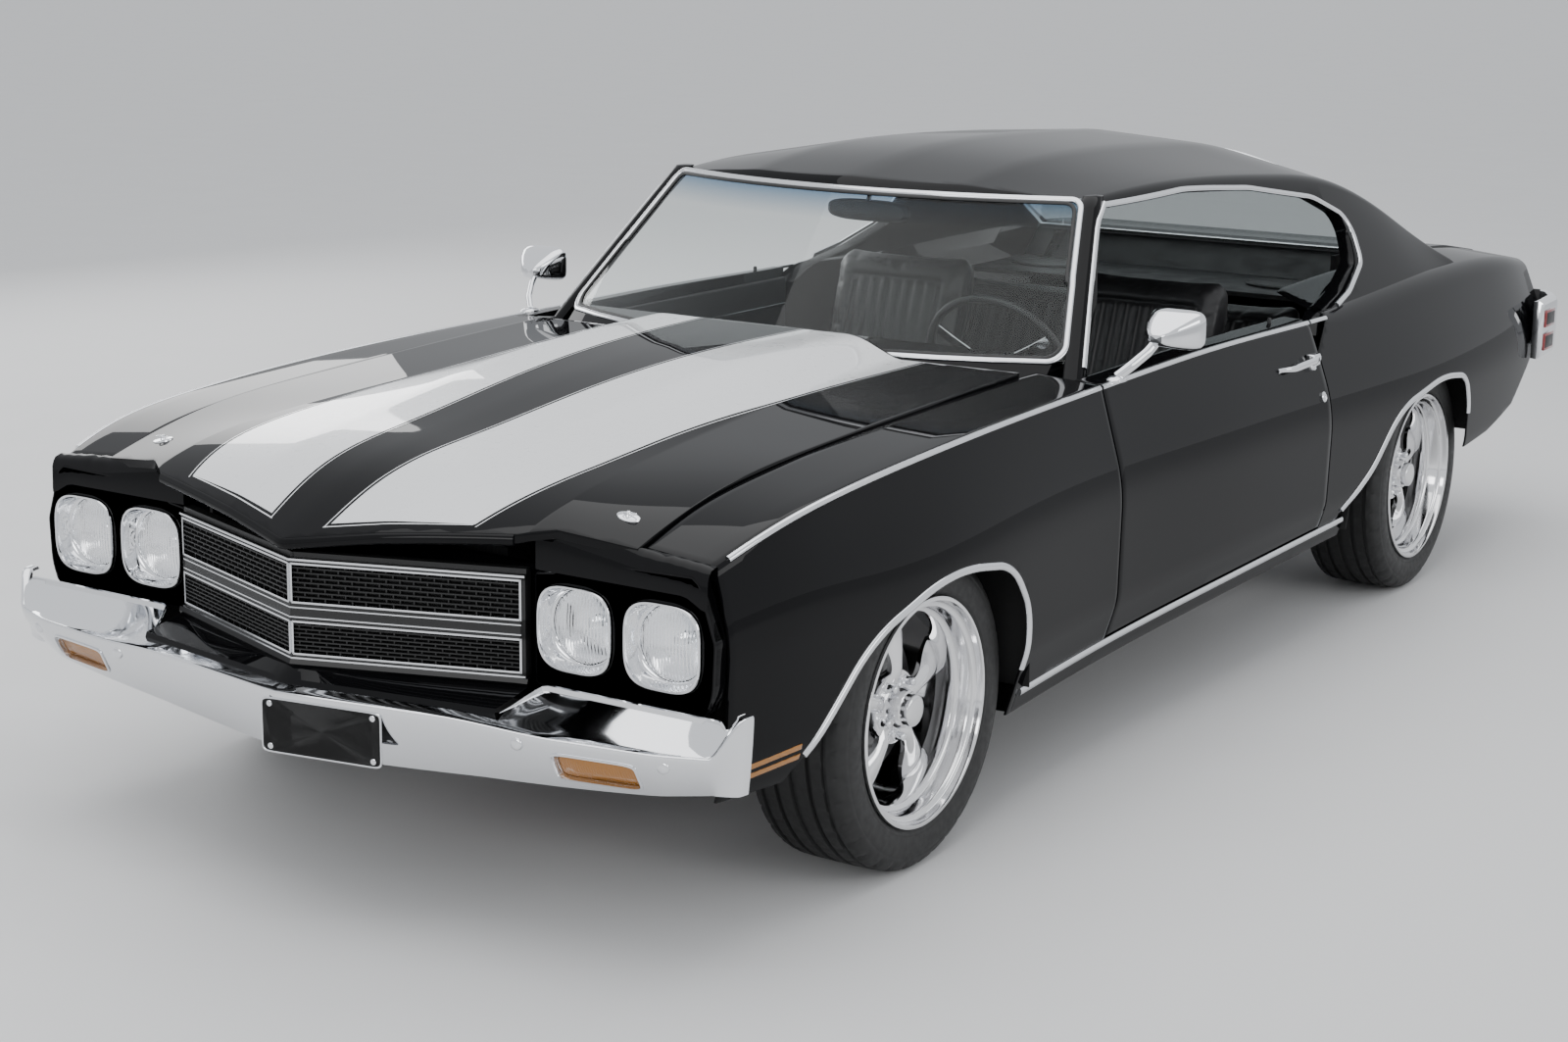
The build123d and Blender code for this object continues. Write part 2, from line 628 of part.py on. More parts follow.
with BuildPart() as floor_pan:
    add(block((-FLOOR_HALF, -860, FLOOR_Z), (FLOOR_HALF, ROCKER_REAR_Y, FLOOR_Z + FLOOR_THICK)))
    add(block((-560, 670, FLOOR_Z), (560, 760, FLOOR_Z + FLOOR_THICK)))
    add(side_prism([(-905, 799), (-905, 560), (-860, FLOOR_Z), (-845, FLOOR_Z), (-880, 560),
                    (-880, 799)], -POST_OUTER_X, POST_OUTER_X))
    add(side_prism([(745, FLOOR_Z), (760, FLOOR_Z), (1000, TRUNK_FLOOR_Z), (2438, TRUNK_FLOOR_Z),
                    (2438, TRUNK_FLOOR_Z + FLOOR_THICK), (990, TRUNK_FLOOR_Z + FLOOR_THICK)],
                   -560, 560))
    add(block((-TUNNEL_HALF, -860, FLOOR_Z), (TUNNEL_HALF, 1000, TUNNEL_Z)))
    add(block((-TUNNEL_HALF + 12, -900, FLOOR_Z - 40), (TUNNEL_HALF - 12, 1010, TUNNEL_Z - 12)),
        mode=Mode.SUBTRACT)
    for sign in (-1, 1):
        add(block((sign * 560 - 6, 1000, 470), (sign * 560 + 6, 2438, 620)))
keep(floor_pan, "floor_pan")

# ---------------------------------------------------------------- nose
LAMP_RADIUS = 73.0
LAMP_Z = 620.0
OUTER_LAMP_X = 752.0
INNER_LAMP_X = 552.0
LAMP_FACE_Y = -2275.0
LAMP_BACK_Y = FENDER_FRONT_Y
NOSE_OUTLINE = ((456, 500), (846, 500), (862, 545), (866, 640), (830, 748), (814, 760), (690, 757),
                (540, 750), (500, 722), (456, 716))

with BuildPart() as nose_panel:
    with BuildSketch(across(LAMP_FACE_Y)):
        with BuildLine():
            FilletPolyline(*NOSE_OUTLINE, radius=[8, 20, 120, 40, 20, 10, 200, 20, 20, 8], close=True)
        make_face()
        with Locations([(OUTER_LAMP_X, LAMP_Z), (INNER_LAMP_X, LAMP_Z)]):
            RectangleRounded(178, 172, 70, mode=Mode.SUBTRACT)
    extrude(amount=LAMP_FACE_Y - LAMP_BACK_Y)
    mirror(about=Plane.YZ)
    add(block((-500, LAMP_BACK_Y, 500), (500, LAMP_BACK_Y + 20, 720)))
    add(block((-430, LAMP_BACK_Y + 10, 467.8), (430, LAMP_BACK_Y + 30, 510)))
    for sign in (-1, 1):
        add(hood_stop(sign * 600, LAMP_BACK_Y - 16, 735))
keep(nose_panel, "nose_panel")

BEZEL_OUTER = (178, 172, 70)
with BuildPart() as bezel_pair:
    with BuildSketch(across(LAMP_FACE_Y - 8)):
        with Locations([(OUTER_LAMP_X, LAMP_Z), (INNER_LAMP_X, LAMP_Z)]):
            RectangleRounded(*BEZEL_OUTER)
            Circle(LAMP_RADIUS + 4, mode=Mode.SUBTRACT)
    extrude(amount=-26)
    mirror(about=Plane.YZ)
keep(bezel_pair, "lamp_bezels")

with BuildPart() as lamps:
    for x in (OUTER_LAMP_X, INNER_LAMP_X):
        with BuildSketch(Plane(origin=(x, 0, LAMP_Z), x_dir=(1, 0, 0), z_dir=(0, 0, 1))):
            with BuildLine():
                Polyline((0, LAMP_BACK_Y), (LAMP_RADIUS + 3.7, LAMP_BACK_Y),
                         (LAMP_RADIUS + 3.7, LAMP_FACE_Y + 4), (60, LAMP_FACE_Y - 5),
                         (28, LAMP_FACE_Y - 9), (0, LAMP_FACE_Y - 9), close=True)
            make_face()
        revolve(axis=Axis((x, 0, LAMP_Z), (0, 1, 0)))
    mirror(about=Plane.YZ)
keep(lamps, "headlamps")

# Grille: two wings that meet in a forward V
GRILLE_CENTRE_Y = -2452.0
GRILLE_END = (448.0, -2296.0)
GRILLE_LOW_Z = 514.0
GRILLE_HIGH_Z = 712.0
GRILLE_BARS = 7
GRILLE_POSTS = 9
wing_length = hypot(GRILLE_END[0], GRILLE_END[1] - GRILLE_CENTRE_Y)
wing_dir = (GRILLE_END[0] / wing_length, (GRILLE_END[1] - GRILLE_CENTRE_Y) / wing_length, 0)
wing_plane = Plane(origin=(0, GRILLE_CENTRE_Y, 0), x_dir=wing_dir,
                   z_dir=(wing_dir[1], -wing_dir[0], 0))
TIERS = ((GRILLE_LOW_Z + 10, 588.0), (626.0, GRILLE_HIGH_Z - 10))
with BuildPart() as grille:
    with BuildSketch(wing_plane):
        with Locations([(wing_length / 2, (GRILLE_LOW_Z + GRILLE_HIGH_Z) / 2)]):
            Rectangle(wing_length, GRILLE_HIGH_Z - GRILLE_LOW_Z)
        for low, high in TIERS:
            with Locations([(wing_length / 2 + 2, (low + high) / 2)]):
                Rectangle(wing_length - 24, high - low, mode=Mode.SUBTRACT)
    extrude(amount=-34)
    for low, high in TIERS:
        step = (high - low) / GRILLE_BARS
        with BuildSketch(wing_plane.offset(-6)):
            for index in range(1, GRILLE_BARS):
                with Locations([(wing_length / 2, low + step * index)]):
                    Rectangle(wing_length - 20, 3.5)
        extrude(amount=-24)
        with BuildSketch(wing_plane.offset(-12)):
            for index in range(GRILLE_POSTS):
                with Locations([(30 + index * (wing_length - 60) / (GRILLE_POSTS - 1), (low + high) / 2)]):
                    Rectangle(3.5, high - low)
        extrude(amount=-20)
    split(bisect_by=Plane.YZ, keep=Keep.TOP)
    mirror(about=Plane.YZ)
    add(block((-6, GRILLE_CENTRE_Y, GRILLE_LOW_Z), (6, GRILLE_CENTRE_Y + 40, GRILLE_HIGH_Z)))
    for z in (GRILLE_LOW_Z, GRILLE_HIGH_Z - 8):
        add(plan_prism([(-GRILLE_END[0], GRILLE_END[1] + 8), (0, GRILLE_CENTRE_Y + 8),
                        (GRILLE_END[0], GRILLE_END[1] + 8), (GRILLE_END[0], LAMP_BACK_Y),
                        (-GRILLE_END[0], LAMP_BACK_Y)], z, z + 8))
keep(grille, "grille")

# ---------------------------------------------------------------- bumpers
# Plan of the front bumper's face and back, centre to tip
BUMPER_FACE = ((0, NOSE_Y), (455, -2428), (800, -2374), (902, -2334), (940, -2292), (944, -2266))
BUMPER_BACK = ((926, -2264), (921, -2282), (888, -2302), (780, -2300), (455, -2300), (0, -2440))
BUMPER_LOW_Z = 338.0
BUMPER_MID_Z = 468.0
BUMPER_HIGH_Z = 498.0


def mirrored_loop(points):
    """Closed outline from one half, which starts and ends on the centre line."""
    return list(points) + [(-x, y) for x, y in reversed(points) if x > 0]


PARK_LAMP_X = 672.0
PARK_LAMP_Z = 393.0
PARK_LAMP_SIZE = (170.0, 52.0)
with BuildPart() as front_bumper:
    with BuildSketch(Plane.XY.offset(BUMPER_LOW_Z)):
        with BuildLine():
            Polyline(*mirrored_loop(BUMPER_FACE + BUMPER_BACK), close=True)
        make_face()
    extrude(amount=BUMPER_HIGH_Z - BUMPER_LOW_Z)
    with BuildSketch(across(-2600)) as front_view:
        with BuildLine():
            Polyline(*mirrored_loop(((0, 325), (420, BUMPER_LOW_Z - 8), (880, 350), (960, 376), (960, 520),
                                     (480, 520), (440, BUMPER_MID_Z), (0, BUMPER_MID_Z))), close=True)
        make_face()
    extrude(amount=-500, mode=Mode.INTERSECT)
    with BuildSketch(across(-2600)):
        with Locations([(PARK_LAMP_X, PARK_LAMP_Z), (-PARK_LAMP_X, PARK_LAMP_Z)]):
            RectangleRounded(*PARK_LAMP_SIZE, 10)
    extrude(amount=-500, mode=Mode.SUBTRACT)
    for sign in (-1, 1):
        add(block((sign * RAIL_X - 30, -2335, 400), (sign * RAIL_X + 30, RAIL_FRONT_Y, 460)))
keep(front_bumper, "front_bumper")

with BuildPart() as amber_lamps:
    with BuildSketch(across(-2382)):
        with Locations([(PARK_LAMP_X, PARK_LAMP_Z), (-PARK_LAMP_X, PARK_LAMP_Z)]):
            RectangleRounded(PARK_LAMP_SIZE[0] - 0.6, PARK_LAMP_SIZE[1] - 0.6, 9.7)
    extrude(amount=-80)
keep(amber_lamps, "park_lamps")

TAIL_PANEL_THICK = 14.0
BUMPER_SEAT_Y = QUARTER_REAR_Y + TAIL_PANEL_THICK + SEAT_GAP
REAR_FACE = ((0, TAIL_Y), (600, 2499), (880, 2486), (928, 2380), (940, 2200))
REAR_BACK = ((908, 2200), (902, 2260), (890, 2345), (868, BUMPER_SEAT_Y))
REAR_LOW_Z = 560.0
REAR_HIGH_Z = 744.0
TAIL_LAMP_X = 700.0
TAIL_LAMP_SIZE = (250.0, 96.0)
PLATE_Z = 652.0
PLATE_RECESS = (320.0, 160.0)
PLATE_RECESS_Y = TAIL_Y - 9.0
PLATE_SCREW_PITCH = (178.0, 121.0)
PLATE_SCREW_RADIUS = 3.5
PLATE_SCREW_DEPTH = 20.0
with BuildPart() as rear_bumper:
    with BuildSketch(Plane.XY.offset(REAR_LOW_Z)):
        with BuildLine():
            Polyline(*mirrored_loop(REAR_FACE + REAR_BACK), close=True)
        make_face()
    extrude(amount=REAR_HIGH_Z - REAR_LOW_Z)
    with BuildSketch(across(2400)):
        with Locations([(TAIL_LAMP_X, 654), (-TAIL_LAMP_X, 654)]):
            Rectangle(*TAIL_LAMP_SIZE)
    extrude(amount=-200, mode=Mode.SUBTRACT)
    # Number-plate recess with its four screw holes
    with BuildSketch(across(PLATE_RECESS_Y)):
        with Locations((0, PLATE_Z)):
            RectangleRounded(*PLATE_RECESS, 8)
    extrude(amount=-60, mode=Mode.SUBTRACT)
    with BuildSketch(across(PLATE_RECESS_Y)):
        with Locations((0, PLATE_Z)):
            with GridLocations(*PLATE_SCREW_PITCH, 2, 2):
                Circle(PLATE_SCREW_RADIUS)
    extrude(amount=PLATE_SCREW_DEPTH, mode=Mode.SUBTRACT)
keep(rear_bumper, "rear_bumper")

with BuildPart() as tail_lamps:
    add(block((TAIL_LAMP_X - 124, BUMPER_SEAT_Y, 607), (TAIL_LAMP_X + 124, BUMPER_SEAT_Y + 24, 701)))
    mirror(about=Plane.YZ)
keep(tail_lamps, "tail_lamps")

with BuildPart() as tail_panel:
    add(block((-846, QUARTER_REAR_Y, 470), (846, QUARTER_REAR_Y + TAIL_PANEL_THICK, 750)))
keep(tail_panel, "tail_panel")

# ---------------------------------------------------------------- running gear
HUB_BORE = SPINDLE_RADIUS + RUNNING_FIT
RIM_HALF = 118.0
HUB_OUTER_X = 862.0
BOLT_CIRCLE = 120.65
LUG_RADIUS = 9.5
LUG_LENGTH = 24.0
DISC_RADIUS = 150.0

# Rim barrel: distance from the wheel's middle plane, radius
RIM_PROFILE = ((-RIM_HALF, RIM_RADIUS), (-RIM_HALF, 226), (-70, 214), (60, 208), (96, 214),
               (RIM_HALF, 228), (RIM_HALF, RIM_RADIUS), (RIM_HALF - 12, RIM_RADIUS), (RIM_HALF - 16, 231),
               (60, 218), (-70, 224), (-RIM_HALF + 14, 233), (-RIM_HALF + 12, RIM_RADIUS))
HUB_FACE = 42.0
HUB_PROFILE = ((-28, HUB_BORE), (-28, DISC_RADIUS), (-14, DISC_RADIUS), (-14, 76), (HUB_FACE, 76),
               (HUB_FACE, 46), (82, 40), (92, 34), (92, 0), (88, 0), (88, HUB_BORE))
SPOKE_START = 34.0
SPOKE_OUTLINE = ((34, -30), (34, 30), (110, 13), (160, 22), (212, 34), (212, -34), (160, -22), (110, -13))


def wheel_part(axle_y):
    """Left wheel: rim barrel, five tapered spokes, hub with cap and brake disc."""
    centre = (TRACK_HALF, axle_y, HUB_Z)
    turning = Plane(origin=centre, x_dir=(1, 0, 0), z_dir=(0, -1, 0))
    face = Plane(origin=(TRACK_HALF + SPOKE_START, axle_y, HUB_Z), x_dir=(0, 1, 0), z_dir=(1, 0, 0))
    with BuildPart() as rim:
        for profile in (RIM_PROFILE, HUB_PROFILE):
            with BuildSketch(turning):
                with BuildLine():
                    Polyline(*profile, close=True)
                make_face()
            revolve(axis=Axis(centre, (1, 0, 0)))
        with BuildSketch(face):
            with PolarLocations(0, SPOKES):
                with BuildLine():
                    FilletPolyline(*SPOKE_OUTLINE, radius=[2, 2, 60, 60, 2, 2, 60, 60], close=True)
                make_face()
        extrude(amount=26)
        with BuildSketch(face.offset(HUB_FACE - SPOKE_START - 2)):
            with PolarLocations(BOLT_CIRCLE / 2, SPOKES, start_angle=180 / SPOKES):
                Circle(LUG_RADIUS)
        extrude(amount=LUG_LENGTH + 2)
    return rim.part


TYRE_PROFILE = ((-RIM_HALF + 10, RIM_RADIUS), (-115, 262), (-115, 290), (-97, 330), (-60, 334), (60, 334), (97, 330),
                (115, 290), (115, 262), (RIM_HALF - 10, RIM_RADIUS))


def tyre_part(axle_y):
    """Left tyre around its rim."""
    centre = (TRACK_HALF, axle_y, HUB_Z)
    with BuildPart() as tyre:
        with BuildSketch(Plane(origin=centre, x_dir=(1, 0, 0), z_dir=(0, -1, 0))):
            with BuildLine():
                Polyline(*TYRE_PROFILE, close=True)
            make_face()
        revolve(axis=Axis(centre, (1, 0, 0)))
    return tyre.part


AXLES = (("f", FRONT_AXLE_Y), ("r", REAR_AXLE_Y))
for letter, axle_y in AXLES:
    with BuildPart() as rim:
        add(wheel_part(axle_y))
    with BuildPart() as tyre:
        add(tyre_part(axle_y))
    for side, flip in (("l", False), ("r", True)):
        for piece, kind in ((rim, "rim"), (tyre, "tyre")):
            with BuildPart() as placed:
                add(mirror(piece.part, about=Plane.YZ) if flip else piece.part)
            keep(placed, f"{kind}_{letter}{side}")

# Knuckle: upright between the two arms, with the spindle that carries the wheel
KNUCKLE_LOW_Z = 214.0
KNUCKLE_HIGH_Z = 454.0
KINGPIN_RADIUS = 7.0
KINGPIN_LOW_Z = 194.0
KINGPIN_HIGH_Z = 482.0
with BuildPart() as knuckle:
    add(block((STEER_AXIS_X - 20, FRONT_AXLE_Y - 24, KNUCKLE_LOW_Z),
              (STEER_AXIS_X + 18, FRONT_AXLE_Y + 24, KNUCKLE_HIGH_Z)))
    with BuildSketch(sideways(STEER_AXIS_X - 20)):
        with Locations([(FRONT_AXLE_Y, HUB_Z)]):
            Circle(SPINDLE_RADIUS)
    extrude(amount=HUB_OUTER_X - 10 - STEER_AXIS_X)
    with BuildSketch(Plane.XY.offset(KINGPIN_LOW_Z)):
        with Locations([(STEER_AXIS_X, FRONT_AXLE_Y)]):
            Circle(KINGPIN_RADIUS)
    extrude(amount=KINGPIN_HIGH_Z - KINGPIN_LOW_Z)
    add(block((STEER_AXIS_X - 20, FRONT_AXLE_Y + 20, 290), (STEER_AXIS_X - 4, FRONT_AXLE_Y + 130, 312)))
keep_pair(knuckle, "knuckle")


def arm_outline(root_half):
    """Plan of one front arm, from its ball joint to the frame."""
    return [(STEER_AXIS_X + 4, FRONT_AXLE_Y - 14), (STEER_AXIS_X + 14, FRONT_AXLE_Y - 6),
            (STEER_AXIS_X + 14, FRONT_AXLE_Y + 6), (STEER_AXIS_X + 4, FRONT_AXLE_Y + 14),
            (RAIL_X + RAIL_WIDTH / 2 - 10, FRONT_AXLE_Y + root_half),
            (RAIL_X + RAIL_WIDTH / 2 - 10, FRONT_AXLE_Y - root_half)]


SUBFRAME_LOW_Z = 186.0
with BuildPart() as front_suspension:
    add(plan_prism(arm_outline(110), KNUCKLE_LOW_Z - SEAT_GAP - 24, KNUCKLE_LOW_Z - SEAT_GAP))
    add(plan_prism(arm_outline(90), KNUCKLE_HIGH_Z + SEAT_GAP, KNUCKLE_HIGH_Z + SEAT_GAP + 22))
    add(block((RAIL_X - RAIL_WIDTH / 2, FRONT_AXLE_Y - 115, SUBFRAME_LOW_Z),
              (RAIL_X + RAIL_WIDTH / 2, FRONT_AXLE_Y + 115, 365)))
    add(block((RAIL_X - RAIL_WIDTH / 2, FRONT_AXLE_Y - 90, 380),
              (RAIL_X + RAIL_WIDTH / 2, FRONT_AXLE_Y + 90, KNUCKLE_HIGH_Z + 24)))
    add(block((-1, FRONT_AXLE_Y - 60, SUBFRAME_LOW_Z), (RAIL_X, FRONT_AXLE_Y + 60, 240)))
    mirror(about=Plane.YZ)
    add(frame.part, mode=Mode.SUBTRACT)
    with BuildSketch(Plane.XY.offset(KINGPIN_LOW_Z - 20)):
        with Locations([(STEER_AXIS_X, FRONT_AXLE_Y), (-STEER_AXIS_X, FRONT_AXLE_Y)]):
            Circle(KINGPIN_RADIUS + RUNNING_FIT)
    extrude(amount=400, mode=Mode.SUBTRACT)
keep(front_suspension, "front_suspension")

AXLE_TUBE_RADIUS = 38.0
with BuildPart() as rear_axle:
    with BuildSketch(sideways(-730)):
        with Locations([(REAR_AXLE_Y, HUB_Z)]):
            Circle(AXLE_TUBE_RADIUS)
    extrude(amount=1460)
    with BuildSketch(sideways(-(HUB_OUTER_X - 10))):
        with Locations([(REAR_AXLE_Y, HUB_Z)]):
            Circle(SPINDLE_RADIUS)
    extrude(amount=2 * (HUB_OUTER_X - 10))
    with Locations([(0, REAR_AXLE_Y, HUB_Z)]):
        Sphere(120)
    with BuildSketch(across(REAR_AXLE_Y - 60)):
        with Locations([(0, HUB_Z - 8)]):
            Circle(38)
    extrude(amount=1650)
    for sign in (-1, 1):
        add(side_prism([(820, 262), (REAR_AXLE_Y, 300), (REAR_AXLE_Y, 350), (820, 312)],
                       sign * 520 - 22, sign * 520 + 22))
        inner_x = RAIL_X + RAIL_WIDTH / 2 + SEAT_GAP
        add(block((min(sign * inner_x, sign * 510), 815, 240), (max(sign * inner_x, sign * 510), 855, 290)))
keep(rear_axle, "rear_axle")

with BuildPart() as engine:
    add(block((-280, -1950, 264), (280, -1260, 800)))
    add(block((-110, -1270, 292), (110, -930, 540)))
    add(block((-RAIL_X + RAIL_WIDTH / 2 + SEAT_GAP, -1640, 350),
              (RAIL_X - RAIL_WIDTH / 2 - SEAT_GAP, -1560, 400)))
keep(engine, "engine")

with BuildPart() as radiator:
    add(block((-330, LAMP_BACK_Y + 40, 460 + SEAT_GAP), (330, LAMP_BACK_Y + 110, 730)))
    for sign in (-1, 1):
        add(block((sign * 200 - 20, LAMP_BACK_Y + 20, 560), (sign * 200 + 20, LAMP_BACK_Y + 42, 620)))
keep(radiator, "radiator")

with BuildPart() as fuel_tank:
    add(block((-330, 1640, 262), (330, 2260, TRUNK_FLOOR_Z - SEAT_GAP)))
keep(fuel_tank, "fuel_tank")

with BuildPart() as exhaust:
    for sign in (-1, 1):
        add(tube([(sign * 220, -1300, 233), (sign * 250, -1100, 190), (sign * 250, 320, 190)], 58, 80))
        add(block((sign * 250 - 90, 300, 160), (sign * 250 + 90, 790, FLOOR_Z - SEAT_GAP)))
keep(exhaust, "exhaust")

# ---------------------------------------------------------------- cabin
DASH_HALF = POST_INNER_X - SEAT_GAP
with BuildPart() as dashboard:
    with BuildSketch(sideways(-DASH_HALF)):
        with BuildLine():
            FilletPolyline((-741, 700), (-741, 849.5), (-640, 871.5), (-520, 850), (-470, 800), (-490, 690),
                           (-560, 600), (-700, 620), radius=[5, 20, 60, 40, 30, 40, 30, 40], close=True)
        make_face()
    extrude(amount=2 * DASH_HALF)
keep(dashboard, "dashboard")

WHEEL_X = 370.0
WHEEL_CENTRE = (WHEEL_X, -330.0, 830.0)
COLUMN_TILT = 24.0
column_dir = (0, cos(radians(COLUMN_TILT)), sin(radians(COLUMN_TILT)))
column_plane = Plane(origin=WHEEL_CENTRE, x_dir=(1, 0, 0), z_dir=column_dir)
COLUMN_RADIUS = 34.0
COLUMN_LENGTH = 200.0
SHAFT_RADIUS = 11.0
STEERING_RIM_RADIUS = 190.0
STEERING_GRIP = 11.0

with BuildPart() as steering_column:
    with BuildSketch(column_plane.offset(-60)):
        Circle(COLUMN_RADIUS)
        Circle(SHAFT_RADIUS + RUNNING_FIT, mode=Mode.SUBTRACT)
    extrude(amount=-COLUMN_LENGTH)
    add(dashboard.part, mode=Mode.SUBTRACT)
keep(steering_column, "steering_column")

with BuildPart() as steering_wheel:
    with BuildSketch(column_plane.offset(-100)):
        Circle(SHAFT_RADIUS)
    extrude(amount=80)
    with BuildSketch(column_plane.offset(-54)):
        Circle(36)
    extrude(amount=60)
    with BuildSketch(Plane(origin=WHEEL_CENTRE, x_dir=(1, 0, 0), z_dir=column_plane.y_dir)):
        with Locations([(STEERING_RIM_RADIUS, 0)]):
            Circle(STEERING_GRIP)
    revolve(axis=Axis(WHEEL_CENTRE, column_dir))
    with BuildSketch(column_plane.offset(-20)):
        with PolarLocations(0, 3, start_angle=-90):
            with Locations([((STEERING_RIM_RADIUS + 20) / 2, 0)]):
                Rectangle(STEERING_RIM_RADIUS - 16, 30)
    extrude(amount=16)
keep(steering_wheel, "steering_wheel")

SEAT_X = 390.0
SEAT_HALF = 245.0
SEAT_BASE_Z = FLOOR_Z + FLOOR_THICK + SEAT_GAP
with BuildPart() as seat:
    with BuildSketch(sideways(SEAT_X - SEAT_HALF)):
        with BuildLine():
            FilletPolyline((-180, SEAT_BASE_Z), (300, SEAT_BASE_Z), (380, 400), (560, 880), (545, 985),
                           (470, 985), (300, 520), (-180, 500),
                           radius=[20, 60, 80, 40, 45, 40, 60, 60], close=True)
        make_face()
    extrude(amount=2 * SEAT_HALF)
keep_pair(seat, "seat")

with BuildPart() as rear_seat:
    with BuildSketch(sideways(-590)):
        with BuildLine():
            FilletPolyline((745, FLOOR_Z + FLOOR_THICK + SEAT_GAP), (988, 495), (1060, 500), (1170, 835), (1090, 840), (960, 560), (620, 510),
                           (600, FLOOR_Z + FLOOR_THICK + SEAT_GAP), radius=[5, 20, 60, 30, 40, 60, 40, 20], close=True)
        make_face()
    extrude(amount=1180)
    add(floor_pan.part, mode=Mode.SUBTRACT)
    add(block((-TUNNEL_HALF, 500, 200), (TUNNEL_HALF, 1100, TUNNEL_Z + SEAT_GAP)), mode=Mode.SUBTRACT)
keep(rear_seat, "rear_seat")

with BuildPart() as interior_mirror:
    add(block((-120, -372, 1160), (120, -352, 1215)))
    add(tube([(0, -362, 1210), (0, -372, 1250), (0, -330, 1285)], 12, 18))
    add(roof.part, mode=Mode.SUBTRACT)
keep(interior_mirror, "interior_mirror")

# ---------------------------------------------------------------- door fittings
MIRROR_HEAD = (922.0, -520.0, 995.0)
with BuildPart() as door_mirror:
    with BuildSketch(across(MIRROR_HEAD[1] + 30)):
        with Locations([(MIRROR_HEAD[0], MIRROR_HEAD[2])]):
            RectangleRounded(136, 92, 22)
    with BuildSketch(across(MIRROR_HEAD[1] - 60)):
        with Locations([(MIRROR_HEAD[0] - 14, MIRROR_HEAD[2] - 14)]):
            RectangleRounded(40, 28, 10)
    loft(ruled=True)
    add(tube([(MIRROR_HEAD[0] - 14, MIRROR_HEAD[1] - 40, MIRROR_HEAD[2] - 14),
              (880, -610, 940), (845, -650, 892)], 16, 30))
    add(door.part, mode=Mode.SUBTRACT)
keep_pair(door_mirror, "mirror")

HANDLE_Z = 792.0
with BuildPart() as door_handle:
    add(block((880, 250, HANDLE_Z - 9), (918, 440, HANDLE_Z + 9)))
    add(door.part, mode=Mode.SUBTRACT)
keep_pair(door_handle, "handle")
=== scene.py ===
"""Two-door hardtop dressed in Blender: smooth body skins, bright trim, glass and a soft interior."""
import json
import math

import bmesh
import bpy
from mathutils import Matrix, Vector

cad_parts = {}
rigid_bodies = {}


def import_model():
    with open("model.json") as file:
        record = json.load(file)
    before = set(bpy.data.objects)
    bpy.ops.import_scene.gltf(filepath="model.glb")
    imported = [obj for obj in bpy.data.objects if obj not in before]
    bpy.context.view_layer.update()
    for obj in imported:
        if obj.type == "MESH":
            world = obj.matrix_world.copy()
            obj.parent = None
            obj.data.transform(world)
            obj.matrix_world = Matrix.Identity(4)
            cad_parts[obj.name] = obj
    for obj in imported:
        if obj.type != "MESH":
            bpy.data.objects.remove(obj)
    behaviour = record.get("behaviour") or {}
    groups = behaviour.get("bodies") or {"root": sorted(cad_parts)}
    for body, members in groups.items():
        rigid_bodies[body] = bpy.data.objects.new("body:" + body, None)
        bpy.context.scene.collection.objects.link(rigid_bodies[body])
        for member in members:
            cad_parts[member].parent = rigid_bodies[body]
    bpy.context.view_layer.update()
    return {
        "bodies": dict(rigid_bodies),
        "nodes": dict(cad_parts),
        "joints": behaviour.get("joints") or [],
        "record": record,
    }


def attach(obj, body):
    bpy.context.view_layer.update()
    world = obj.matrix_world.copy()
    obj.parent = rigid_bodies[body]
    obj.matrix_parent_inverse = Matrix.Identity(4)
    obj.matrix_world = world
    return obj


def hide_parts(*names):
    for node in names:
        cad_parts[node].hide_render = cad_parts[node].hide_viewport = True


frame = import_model()
nodes = frame["nodes"]

MM = 0.001

# ---------------------------------------------------------------- sizes, in millimetres
FRONT_AXLE_Y = -1545.0
REAR_AXLE_Y = 1300.0
HUB_Z = 334.0
TRACK_HALF = 770.0
DOOR_FRONT_Y = -738.0
DOOR_REAR_Y = 483.0
GAP = 7.0
HOOD_GAP_X = 690.0
DECK_GAP_X = 640.0
BODY_LOW_Z = 200.0
ROCKER_FRONT_Y = -1180.0
ROCKER_REAR_Y = 660.0
ROCKER_FRONT_TOP_Z = 297.0
ROCKER_REAR_TOP_Z = 338.0
ROCKER_DEPTH = 56.0
SIDE_INNER_X = 600.0
FENDER_FRONT_Y = -2240.0
QUARTER_REAR_Y = 2440.0
BELT_Z = 880.0
FORWARD = (0, -1, 0)
CREASE = 40.0

# ---------------------------------------------------------------- finishes


def material(name, colour=(0.5, 0.5, 0.5), rough=0.5, metal=0.0, coat=0.0, coat_rough=0.03,
             sheen=0.0, transmission=0.0, ior=1.45, alpha=1.0):
    """New node material whose constants sit on the shader's own sockets."""
    finish = bpy.data.materials.new(name)
    finish.use_nodes = True
    shader = finish.node_tree.nodes["Principled BSDF"]
    shader.inputs["Base Color"].default_value = (*colour, 1.0)
    shader.inputs["Roughness"].default_value = rough
    shader.inputs["Metallic"].default_value = metal
    shader.inputs["Coat Weight"].default_value = coat
    shader.inputs["Coat Roughness"].default_value = coat_rough
    shader.inputs["Sheen Weight"].default_value = sheen
    shader.inputs["Transmission Weight"].default_value = transmission
    shader.inputs["IOR"].default_value = ior
    shader.inputs["Alpha"].default_value = alpha
    return finish


